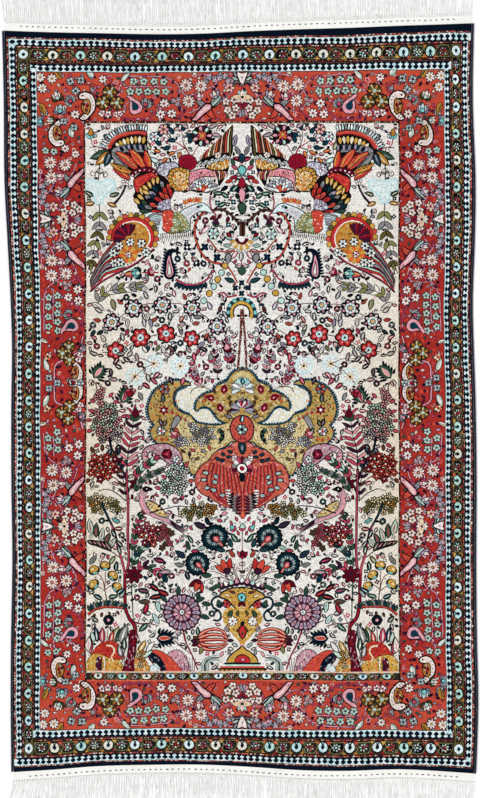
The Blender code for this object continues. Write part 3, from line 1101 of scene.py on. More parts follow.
def lotusBloom(size, base, edge, heart):
    # side view of a many-petalled bloom
    shapes = []
    for tilt in (-78, 78, -52, 52, -26, 26, 0):
        long = size * (1.0 - abs(tilt) / 260)
        shapes += move(edged(leafOutline(long, size * 0.42), edge if abs(tilt) > 40 else base, 0.36),
                       turn=tilt)
    return shapes + edged(leafOutline(size * 0.5, size * 0.4), heart, 0.3)


def bloom(radius, petals, tones, vein, eye, notch=0.86, core=0.2):
    # a full flower of notched petals on a dark scalloped ground
    shapes = [(scallop(radius + 0.5, petals, 0.14, 3), "ink")]
    wide = math.pi / petals * 0.8
    for k in range(petals):
        petal = np.array([(0.1, -0.05), (0.66, -wide * 0.62), (0.97, -wide * 0.72), (notch, 0),
                          (0.97, wide * 0.72), (0.66, wide * 0.62), (0.1, 0.05)])
        middle = np.array([(0.2, -0.05), (0.62, 0), (0.2, 0.05)])
        shapes += move([(petal * radius, tones[k % len(tones)]), (middle * radius, vein)],
                       turn=360 / petals * k)
    return shapes + [(oval(radius * core, radius * core, 7), eye)]


def spray(radius, petals, tones, eye, ink="ink", core=0.2):
    # separate petals round a small eye, with the ground showing between them
    broad, long = radius * 0.66 * math.tan(math.pi / petals) * 0.76, radius * 0.39
    under, over = [], []
    for k in range(petals):
        at = polar(radius * 0.61, 360 / petals * k)
        under.append((oval(long + 0.85, broad + 0.85, 6, at, 360 / petals * k), ink))
        over.append((oval(long, broad, 6, at, 360 / petals * k), tones[k % len(tones)]))
    return under + over + [(oval(radius * core, radius * core, 6), eye)]


def posy(radius, tones, eye, places):
    # a few small sprays, each turned by its place
    shapes = []
    for x, y in places:
        shapes += move(spray(radius, 5, tones, eye), (x, y), turn=37 * x + 11 * y)
    return shapes


mainBorder = {
    "depth": 48.0,                                                  # squares that one run is drawn in
    "rows": {"upper": 219.0, "middle": 382.0, "lower": 525.0},      # chart rows of the stars and bird rings
    "toMiddle": {"upper": 114, "lower": 94},                        # squares from a star to its run's end
    "toCorner": {"upper": 64, "lower": 122},
    "endRun": 184, "trio": 194,
    "fillers": ("rose", "mauve", "plum", "pearl", "grey", "maroon", "ink", "green"),
}

# how far along from the star, how deep from the strip's inner edge, size, turn
mainRun = (
    ("bunch", 11.5, 15.5, 1.0, 0), ("longTail", 34, 13.5, 1.0, 0), ("lilacTulip", 26, 23, 1.0, 20),
    ("creamFlower", 12.5, 32.5, 1.0, 0), ("mauvePosy", 30.5, 41.0, 1.0, 10), ("mauvePosy", 16.5, 41.0, 0.9,
            -25),
    ("whiteBloom", 56, 35.4, 1.0, 0), ("whiteBloom", 41, 34.4, 0.98, 15), ("whiteBloom", 54, 19.6, 0.96, 8),
    ("creamBud", 47, 43.0, 1.0, 0), ("pinkSprig", 43, 21, 1.0, 0), ("whiteSmall", 78, 17, 1.0, 0),
    ("whiteSmall", 70.5, 7.4, 1.0, 20),
    ("whiteSmall", 81.5, 6.4, 1.0, 40), ("greyPosy", 66, 19, 0.8, 10), ("mintFlower", 76.5, 29, 1.0, 0),
    ("mintFlower", 85.5, 28.8, 1.0, 30),
    ("mintFlower", 94, 29.4, 1.0, 10), ("mintFlower", 102.6, 29.6, 1.0, 50), ("mintFlower", 111, 29.6, 1.02,
            20),
    ("mintFlower", 78.2, 38.8, 1.0, 0), ("mintFlower", 87.6, 39.4, 1.0, 40), ("mintFlower", 97.6, 39.8, 1.0,
            15), ("mintFlower", 107.4, 40.0, 1.0, 60),
    ("skyBloom", 96, 14.5, 1.0, 0), ("paisley", 107.5, 11.0, 1.0, 0), ("whiteLeaf", 119.5, 39.8, 1.0, -35),
    ("curls", 128, 38.5, 1.0, 0),
    ("oliveBloom", 131.5, 28.6, 1.0, 0), ("oliveBloom", 138.8, 18.6, 0.96, 10), ("oliveBloom", 124.8, 18.2,
            0.96, 5), ("pinkWhite", 137, 7.4, 1.0, 0),
    ("whiteSmall", 138, 41.4, 0.9, 0), ("mintLeaf", 147.5, 43.0, 1.0, 38), ("lilacBud", 146.5, 27, 1.0, 30),
    ("pinkWhite", 124, 7.2, 0.8, 20),
    ("roundBird", 154.5, 15.4, 0.98, 0), ("greyFlower", 160, 40.4, 1.0, 0), ("greyFlower", 170.2, 39.6, 1.0,
            20), ("greyFlower", 165, 30.2, 1.0, 40),
    ("skyBloom", 169.5, 19, 0.9, 40), ("whiteSmall", 165.5, 7.2, 0.95, 0), ("oliveLeaf", 178.5, 41.5, 1.0,
            40), ("budWhite", 182, 21.5, 1.0, 20),
    ("skyLotus", 180, 8.6, 1.0, 0),
)
mainVines = (
    # (along, depth) points, width, dye
    (((0, 44), (16, 46), (27, 36), (44, 28), (58, 26), (66, 38), (76, 43)), 1.0, "pink"),
    (((45, 26), (40, 17), (47, 11), (55, 8)), 0.9, "pink"),
    (((55, 12), (66, 3.2), (84, 8.8), (95, 2.6), (110, 2.2), (122, 6), (130, 12)), 1.0, "rose"),
    (((84, 8.8), (80, 20), (74, 24)), 0.8, "rose"),
    (((74, 43.6), (92, 44.6), (112, 44.8), (121, 36), (122, 27)), 0.9, "pink"),
    (((116, 34), (104, 34.6), (88, 34), (70, 33.4)), 0.9, "pink"),
    (((133, 33), (136, 42), (129, 46)), 0.9, "pink"),
    (((141, 32), (151, 37), (172, 36.2), (187, 30.4), (192, 22), (191.6, 11)), 1.3, "coral"),
    (((137, 36), (124, 33)), 0.8, "pink"), (((20, 14), (13, 26), (10, 30)), 0.8, "pink"),
    (((30, 36), (20, 27), (14, 24)), 0.8, "pink"),
    (((60, 10), (64, 22), (62, 30)), 0.8, "pink"), (((100, 22), (90, 20), (86, 12)), 0.7, "rose"),
    (((118, 14), (112, 20), (104, 22)), 0.7, "pink"),
    (((26, 44), (36, 46), (48, 45)), 0.8, "pink"), (((156, 26), (164, 24), (176, 28)), 0.7, "pink"),
)

mainMotifs = {
    "mintFlower": lambda: spray(3.9, 5, ("mint",), "ink", "ink", 0.24),
    "greyFlower": lambda: spray(4.1, 8, ("grey", "sky"), "ink", "ink", 0.3),
    "whiteSmall": lambda: spray(4.6, 7, ("white",), "crimson"),
    "bunch": lambda: posy(3.9, ("white", "pearl"), "crimson", ((-4.6, 3.8), (3.6, 5.4), (5.0, -2.8),
            (-3.0, -4.6), (1.8, -10.0))),
    "greyPosy": lambda: posy(3.2, ("grey", "pink"), "ivory", ((-3.0, 1.6), (3.0, 2.4), (0.4, -3.2))),
    "mauvePosy": lambda: posy(3.5, ("grey", "lilac", "pink"), "white", ((-6.2, -1.2), (-1.4, 3.0),
            (4.0, -0.6), (9.4, 1.6))),
    "longTail": longTailBird,
    "roundBird": lambda: roundBird("white", "ochre"),
    "whiteBloom": lambda: spray(6.8, 11, ("white", "ivory", "peach"), "garnet", "plum",
                                0.22) + [(oval(0.7, 0.7, 5), "straw")],
    "oliveBloom": lambda: bloom(6.9, 12, ("ochre", "olive", "straw", "brown"), "ink", "mint", 0.9, 0.3),
    "lilacTulip": lambda: tulip(8, ("pink", "lilac", "ivory")),
    "creamFlower": lambda: spray(4.9, 6, ("cream", "pink"), "crimson"),
    "creamBud": lambda: bud(6.5, "cream", "pink"),
    "skyBloom": lambda: lotusBloom(9.0, "grey", "sky", "rose"),
    "skyLotus": lambda: lotusBloom(9.0, "sky", "lilac", "aqua"),
    "paisley": lambda: move(paisley(13.5, "pink", "teal"), (0, -4)),
    "whiteLeaf": lambda: leaf(12, 4.4, "mint", 1.5, "white"),
    "mintLeaf": lambda: leaf(14, 6, "mint", 2.5, "white"),
    "oliveLeaf": lambda: leaf(13, 5.6, "ochre", 2.0, "olive"),
    "curls": lambda: [(curl(3.0, 1.1, 1.0, 200), "pink")] + move([(curl(2.4, -1.0, 0.9, 20), "pink")],
            (2.4, -4)),
    "pinkWhite": lambda: posy(3.6, ("white", "pink"), "ink", ((-2.6, 0.6), (3.4, -0.4))),
    "lilacBud": lambda: bud(7, "grey", "rose"),
    "budWhite": lambda: lotusBloom(8.6, "white", "olive", "mint"),
    "pinkSprig": lambda: tulip(8, ("rose", "pink", "ivory")),
}


def drawMainRun(cartoon, side, star, way, reach, chance):
    # one half repeat laid from the star's place towards way (+1 or -1) along the strip
    inDistance, depth = stripSpan(side)
    share = depth / mainBorder["depth"]
    squash = min(1.0, share * 1.04)
    for points, width, dye in mainVines:
        p = np.array(points, float)
        if p[:, 0].min() > reach - 6:
            continue
        p = p[p[:, 0] < reach]
        if len(p) < 2:
            continue
        place = np.column_stack([p[:, 0] * way, p[:, 1] * share])
        vine = [(ribbon(place, width * 2.3, width * 1.8), "plum"), (ribbon(place, width, width * 0.8), dye)]
        cartoon.onStrip(vine, side, star, inDistance)
        path = smooth(place, False, 6)
        for k in range(2, len(path) - 2, 5):
            blade = leaf(3.6, 1.6, ("rose", "plum", "pink")[int(chance.integers(3))], 0.4, line=0.26,
                         ink="plum")
            cartoon.onStrip(blade, side, star + path[k, 0], inDistance + path[k, 1], turn=chance.uniform(0,
                    360))
    for kind, along, out, size, turn in mainRun:
        if along <= reach:
            cartoon.onStrip(mainMotifs[kind](), side, star + way * along, inDistance + out * share,
                            size * squash, turn * -way, flip=way > 0)


def dabs(cartoon, side, low, high, chance):
    # unevenly dyed red: soft patches with no outline
    inDistance, depth = stripSpan(side)
    for along in np.arange(low, high, 7.0):
        for out in np.arange(2.0, depth - 1.0, 6.4):
            if chance.random() < 0.3:
                continue
            tone = ("ember", "ember", "garnet", "red", "coral")[int(chance.integers(5))]
            patch = oval(chance.uniform(1.2, 3.2), chance.uniform(0.7, 1.5), 6)
            cartoon.onStrip([(patch, tone)], side, along + chance.uniform(-2, 2),
                            inDistance + out + chance.uniform(-1.5, 1.2), 1.0, chance.uniform(-30, 30))


def fillGaps(cartoon, side, low, high, chance):
    # small buds, leaves and hooks on the ground, drawn before the large motifs cover most of them
    inDistance, depth = stripSpan(side)
    tones, pitch = mainBorder["fillers"], 6.7
    for along in np.arange(low, high, pitch):
        for out in np.arange(3.0, depth - 1.5, pitch):
            at = (along + chance.uniform(-1.6, 1.6), inDistance + out + chance.uniform(-1.6, 1.6))
            tone = tones[int(chance.integers(len(tones)))]
            pick = chance.random()
            if pick < 0.4:
                motif = leaf(4.2, 2.0, tone, 0.8, line=0.26, ink="plum")
            elif pick < 0.6:
                motif = [(curl(2.0, 0.9, 0.75, 90), tone)]
            else:
                motif = [(scallop(1.9, 4, 0.2, 2), "plum"), (scallop(1.2, 4, 0.2, 2), tone)]
            cartoon.onStrip(motif, side, at[0], at[1], 1.0, chance.uniform(0, 360))


def cornerTrio(chance):
    # three white blossoms for the outer corner
    shapes = []
    for x, y in ((-4.5, 4.5), (6.5, 3.6), (-2.6, -6.4)):
        shapes += move(spray(4.9, 8, ("white",), "gold"), (x, y), turn=chance.uniform(0, 40))
    return shapes


def birdRing():
    # two round birds beak to beak round a white lotus, as on the middle of each side; depth runs up
    grey, olive = mainMotifs["greyFlower"], mainMotifs["oliveBloom"]
    shapes = []
    for way in (-1, 1):
        shapes += move(roundBird("white", "ochre"), (10.5 * way, 10.0), 0.92, 90 * way, flip=way > 0)
        for along, out in ((39, 18), (32, 25), (25.0, 17)):
            shapes += move(olive(), (along * way, out - 0.5), 0.92)
        shapes += move(spray(4.2, 5, ("cream", "salmon"), "ink", "ink"), (28 * way, 40.5))
        shapes += move(leaf(14, 5.4, "mint", 2.0 * way, "white"), (13 * way, 39), turn=-60 * way)
        shapes += move(grey(), (5.6 * way, 38.8))
        shapes += move(leaf(10, 3.4, "white", 1.0, "moss"), (43 * way, 41), turn=-20 * way)
        shapes += move(lotusBloom(7.4, "lilac", "grey", "pink"), (38 * way, 5.5), turn=150 * way)
        shapes += move(posy(3.4, ("white", "pink"), "ink", ((-2, 1), (3, -1))), (27 * way, 5.6))
    shapes += move(grey(), (0, 30.0))
    shapes += move(lotusBloom(7.6, "white", "pink", "crimson"), (0, 14.0), turn=180)
    return shapes + move(spray(3.8, 6, ("sky", "grey"), "ink", "ink"), (0, 4.6))


cornerRun = (
    # the corners beside each side's strip: kind, along from the corner, out, size, turn
    ("roundBird", -12, 28, 1.0, 90), ("mintFlower", -29, 40, 1.0, 0), ("mintFlower", -30, 31, 1.0, 30),
    ("whiteSmall", -27, 19, 0.95, 10), ("whiteSmall", -33, 8.5, 0.95, 0), ("mintLeaf", -16, 11, 1.0, -70),
    ("skyLotus", 0, 43, 1.0, 0), ("greyFlower", 9, 41, 1.0, 0), ("budWhite", 1, 31.5, 0.9, 0),
    ("greyFlower", 0.5, 21, 1.0, 0), ("greyFlower", -6, 10, 1.0, 0), ("oliveLeaf", 18, 45, 1.0, 120),
)


def stripSpan(side):
    # how far one strip's inner edge is from the centre, and how deep the strip is
    inDistance = stripOf(side, rects["pole"])[1]
    return inDistance, stripOf(side, rects["main"])[1] - inDistance


def drawBorderSide(cartoon, side, chance):
    # a ring of two birds at the middle, a star on each side of it, and the corners
    inDistance, depth = stripSpan(side)
    inner = rects["pole"]
    sign = 1 if side == 1 else -1
    at = {name: sign * (chart["centreRow"] - row) for name, row in mainBorder["rows"].items()}
    cord = np.column_stack([np.array([-46, -30, -20, -10, 10, 20, 30, 46.0]),
                            np.array([2, 8, 30, 33, 33, 30, 8, 2.0]) * depth / mainBorder["depth"]])
    cords = [(ribbon(cord, 2.6, 2.6), "plum"), (ribbon(cord, 1.2, 1.2), "pink")]
    cartoon.onStrip(cords, side, at["middle"], inDistance)
    cartoon.onStrip(birdRing(), side, at["middle"], inDistance, 0.93)
    for name in ("upper", "lower"):
        toMiddle = sign * (1 if name == "lower" else -1)
        drawMainRun(cartoon, side, at[name], toMiddle, mainBorder["toMiddle"][name], chance)
        drawMainRun(cartoon, side, at[name], -toMiddle, mainBorder["toCorner"][name], chance)
        cartoon.onStrip(calyx(), side, at[name], inDistance + depth * 0.84, 0.9)
        cartoon.onStrip(starSpray(), side, at[name], inDistance + depth * 0.47, 0.88)
    for way, corner in ((sign, sign * inner[3]), (-sign, sign * inner[2])):
        for kind, along, out, size, turn in cornerRun:
            cartoon.onStrip(mainMotifs[kind](), side, corner + way * along,
                            inDistance + out * depth / mainBorder["depth"], size * 0.92, turn * way,
                            flip=way < 0)


def drawBorderEnd(cartoon, side, chance):
    # a star on the axis with a run to each corner
    inDistance, depth = stripSpan(side)
    for way in (-1, 1):
        drawMainRun(cartoon, side, 0.0, way, mainBorder["endRun"], chance)
        cartoon.onStrip(cornerTrio(chance), side, way * mainBorder["trio"], inDistance + depth * 0.8,
                        flip=way > 0)
    cartoon.onStrip(calyx(), side, 0.0, inDistance + depth * 0.86)
    cartoon.onStrip(starSpray(), side, 0.0, inDistance + depth * 0.49)


def buildMainBorder():
    # the red ground's dabs and fillers on all four sides, the runs over them, then one slab for each half
    cartoon = Cartoon()
    chance = np.random.default_rng(11)
    outer, inner = rects["main"], rects["pole"]
    ends = (outer[0], outer[1], 3, 4)
    sides = (inner[2], inner[3], 2, 0)
    for side, (low, high, dabInset, fillInset) in enumerate((ends, sides, ends, sides)):
        if side == 3:
            low, high = -high, -low
        dabs(cartoon, side, low + dabInset, high - dabInset, chance)
        fillGaps(cartoon, side, low + fillInset, high - fillInset, chance)
    for side in (1, 3):
        drawBorderSide(cartoon, side, chance)
    for side in (0, 2):
        drawBorderEnd(cartoon, side, chance)
    pieces = []
    for name, low, high in (("pileMainFoot", outer[2], 0.0), ("pileMainHead", 0.0, outer[3])):
        rect = (outer[0], outer[1], low, high)
        hole = (inner[0], inner[1], inner[2] if low < 0 else -5.0, 5.0 if low < 0 else inner[3])
        shapes = [s for s in cartoon.shapes if s[0][:, 1].max() > low and s[0][:, 1].min() < high]
        pieces.append(slab(name, [(rectLoop(rect), "brick")] + shapes, rect, hole))
    return pieces


def drawPole(cartoon, chance):
    # short light dashes on a dark line round the field
    outer, inner = rects["pole"], rects["footBand"]
    spans = {0: (outer[0], outer[1]), 1: (outer[2], inner[3]), 3: (-inner[3], -outer[2])}
    dash = np.array([(-0.5, 0.3), (0.45, 0.26), (0.8, 0.72), (-0.2, 0.78)])
    for side, (low, high) in spans.items():
        inDistance = stripOf(side, inner)[1]
        depth = stripOf(side, outer)[1] - inDistance
        for along in np.arange(low + 1.5, high - 1.5, 2.3):
            if chance.random() < 0.42:
                continue
            tone = ("moss", "mint", "grey", "cream", "green", "peach")[int(chance.integers(6))]
            shape = [(dash * (chance.uniform(0.8, 1.4), depth), tone)]
            cartoon.onStrip(shape, side, along + chance.uniform(-0.3, 0.3), inDistance)


def drawFootBand(cartoon, chance):
    # the band that only the foot has: two thin light lines with shields and rings between them
    outer, inner = rects["footBand"], rects["fieldLine"]
    inDistance, depth, half = -inner[2], inner[2] - outer[2], outer[1]
    for low, high, tone in ((0, 0.6, "pearl"), (depth - 0.9, depth, "salmon")):
        thin = np.array([(-half, low), (half, low), (half, high), (-half, high)])
        cartoon.onStrip([(thin, tone)], 2, 0, inDistance)
    count = int(round(2 * half / minorBorder["footPitch"]))
    pitch = 2 * half / count
    scale = (pitch / minorBorder["pitch"], (depth - 1.2) / minorBorder["depth"])
    for k in range(1, 2 * count):
        unit = shieldUnit(chance) if k % 2 else arbourUnit(chance)
        unit = [(p * scale, dye) for p, dye in unit]
        cartoon.onStrip(unit, 2, -half + k * pitch / 2, inDistance + 0.5)


def buildPole():
    # the dashed line, the foot's band and the thin line next to the field
    cartoon = Cartoon()
    chance = np.random.default_rng(13)
    cartoon.shapes.append(rectShape("pole"))
    drawPole(cartoon, chance)
    cartoon.shapes.append(rectShape("footBand"))
    drawFootBand(cartoon, chance)
    cartoon.shapes.append(rectShape("fieldLine"))
    return slab("pilePole", cartoon.shapes, rects["pole"], rects["field"], spacing=40)


# Field.
def plume(count, low, high, inner, outer, tones, wide=0.95, tip=0.12, ink="ink", line=0.5):
    # feathers side by side from angle low to high, from radius inner to outer about the origin
    step = (high - low) / count
    ground, tops = [], []
    for k in range(count):
        angle = low + step * (k + 0.5)
        w0 = math.radians(abs(step)) * inner * wide / 2
        w1 = math.radians(abs(step)) * outer * wide / 2
        long = outer - inner
        feather = np.array([
            (inner, -w0), (inner + long * 0.72, -w1), (inner + long * 0.92, -w1 * 0.62), (outer, -w1 * tip),
            (outer, w1 * tip), (inner + long * 0.92, w1 * 0.62), (inner + long * 0.72, w1), (inner, w0),
        ])
        c, s = math.cos(math.radians(angle)), math.sin(math.radians(angle))
        feather = np.column_stack([c * feather[:, 0] - s * feather[:, 1], s * feather[:, 0] + c * feather[:,
                1]])
        ground.append((grow(feather, line), ink))
        tops.append((feather, tones[k % len(tones)]))
    return ground + tops


def arcBand(low, high, inner, outer, dye, count=12):
    # a part of a ring between two angles and two radii
    t = np.linspace(low, high, count)
    return [(np.vstack([polar(np.full(count, float(inner)), t), polar(np.full(count, float(outer)),
            t)[::-1]]), dye)]


def sector(low, high, radius, dye, count):
    # a part of a disc between two angles
    t = np.linspace(low, high, count)
    return [(np.vstack([polar(np.full(count, float(radius)), t), [(0.0, 0.0)]]), dye)]


def navyRosette(radius):
    # a dark scalloped disc with light spots round a pale star
    shapes = [(scallop(radius, 8, 0.1, 4), "navy")]
    for k in range(8):
        shapes.append((oval(radius * 0.17, radius * 0.13, 6, polar(radius * 0.74, 45.0 * k), 45 * k),
                       "pink" if k % 2 else "white"))
        shapes.append((oval(radius * 0.1, radius * 0.07, 4, polar(radius * 0.7, 45.0 * k), 45 * k), "rose"))
    shapes.append((scallop(radius * 0.54, 8, 0.14, 3, 22), "ice"))
    shapes.append((scallop(radius * 0.36, 8, 0.2, 2), "teal"))
    return shapes + [(oval(radius * 0.24, radius * 0.24, 7), "straw"), (oval(radius * 0.1, radius * 0.1, 5),
            "rose")]


def redRosette(radius):
    # six round red petals with pink and dark spots, round a pale heart
    shapes = [(scallop(radius + 0.4, 6, 0.12, 4), "ink")]
    for k in range(6):
        shapes.append((oval(radius * 0.33, radius * 0.36, 8, polar(radius * 0.62, 60.0 * k)), "red"))
    for k in range(6):
        shapes.append((oval(radius * 0.14, radius * 0.09, 6, polar(radius * 0.6, 60.0 * k), 60 * k),
                       "pink"))
        shapes.append((oval(radius * 0.13, radius * 0.08, 5, polar(radius * 0.68, 60.0 * k + 30),
                            60 * k + 30), "ink"))
    shapes.append((scallop(radius * 0.42, 8, 0.1, 3), "ink"))
    shapes.append((scallop(radius * 0.36, 8, 0.1, 3), "sky"))
    return shapes + [(oval(radius * 0.15, radius * 0.15, 6), "navy")]


def smallBlossom(dye, eye, radius):
    # four round petals, set crosswise
    shapes = []
    for angle in (45.0, 135.0, 225.0, 315.0):
        shapes.append((oval(radius * 0.46, radius * 0.4, 7, polar(radius * 0.52, angle), angle), dye))
    return shapes + [(oval(radius * 0.26, radius * 0.26, 6), eye)]


def looseLeaf(length, dye, second, bend=0.0):
    # a slim leaf with a light vein
    shapes = edged(leafOutline(length, length * 0.36, bend), dye, 0.45)
    vein = leafOutline(length * 0.78, length * 0.1, bend * 0.78) + (0.0, length * 0.08)
    return shapes + [(vein, second)]


def ringCurl(radius, dye, way=1, width=0.9):
    # a hook that curls once round, left or right
    return [(curl(radius, 1.15 * way, width, 90), dye)]


def headedSpray(c, points, leafLength, tones, pitch, width=0.7, stalk="ink", lean=50, taper=0.75,
                wide=0.34):
    # a pair of leafy stalks through columns and rows
    c.add(sprig(chartPoints(points), leafLength, leafLength * wide, pitch, tones, stalk, width, lean,
                taper))


def area(c, points, dye, line=0.0, ink="ink"):
    # a smooth form through columns and rows, on a plain outline where line isn't 0
    flat = smooth(chartPoints(points), True, 3)
    if line:
        c.add([(grow(flat, line), ink)])
    c.add([(flat, dye)])


def axisForm(c, points, dye, line, ink="midnight"):
    # a form on the axis: a smooth half through columns and rows, closed by its mirror image
    half = smooth(chartPoints(points), False, 3)
    whole = np.vstack([half, (half * (-1, 1))[::-1]])
    c.add([(grow(whole, line), ink), (whole, dye)], False)


def comb(c, points, count, long, wide, tones, lean=0.0, line=0.5, ink="ink", swing=0.0):
    # leaves stood side by side on the left of a path, swinging from its start to its end
    p = smooth(chartPoints(points), False, 5)
    run = np.concatenate([[0], np.cumsum(np.linalg.norm(np.diff(p, axis=0), axis=1))])
    under, over = [], []
    for k in range(count):
        at = run[-1] * (k + 0.5) / count
        i = min(max(int(np.searchsorted(run, at)), 1), len(p) - 1)
        x, y = np.interp(at, run, p[:, 0]), np.interp(at, run, p[:, 1])
        turn = math.degrees(math.atan2(*(p[i] - p[i - 1])[::-1])) + lean + swing * (k / count - 0.5)
        blade = leafOutline(long, wide)
        if line:
            under += move([(grow(blade, line), ink)], (x, y), turn=turn)
        over += move([(blade, tones[k % len(tones)])], (x, y), turn=turn)
    c.add(under + over)


def mottle(c, points, tones, pitch, size, turn, seed, wide=0.45, sway=30):
    # short strokes strewn over a form, leaning much the same way
    chance = np.random.default_rng(seed)
    form = smooth(chartPoints(points), True, 2)
    low, high = form.min(0), form.max(0)
    columns, rows = np.arange(low[0], high[0], pitch), np.arange(low[1], high[1], pitch)
    spots = np.array([(x, y) for x in columns for y in rows])
    spots = spots + chance.uniform(-0.4, 0.4, spots.shape) * pitch
    for x, y in spots[holds(form, spots)]:
        stroke = leafOutline(size * chance.uniform(0.7, 1.2), size * wide) - (0, size * 0.45)
        tone = tones[int(chance.integers(len(tones)))]
        c.add(move([(stroke, tone)], (x, y), turn=turn + chance.uniform(-sway, sway)))


def feathers(c, rows, long, wide):
    # pointed feathers, each from its middle, by columns, rows, heading and dye
    for x, y, heading, dye in rows:
        blade = leafOutline(long, wide) - (0, long / 2)
        shaft = leafOutline(long * 0.6, wide * 0.22) - (0, long * 0.2)
        shapes = [(grow(blade, 0.95), "ink"), (blade, dye), (shaft, "cream" if dye == "gold" else "ink")]
        c.pair(shapes, x, y, heading - 90)


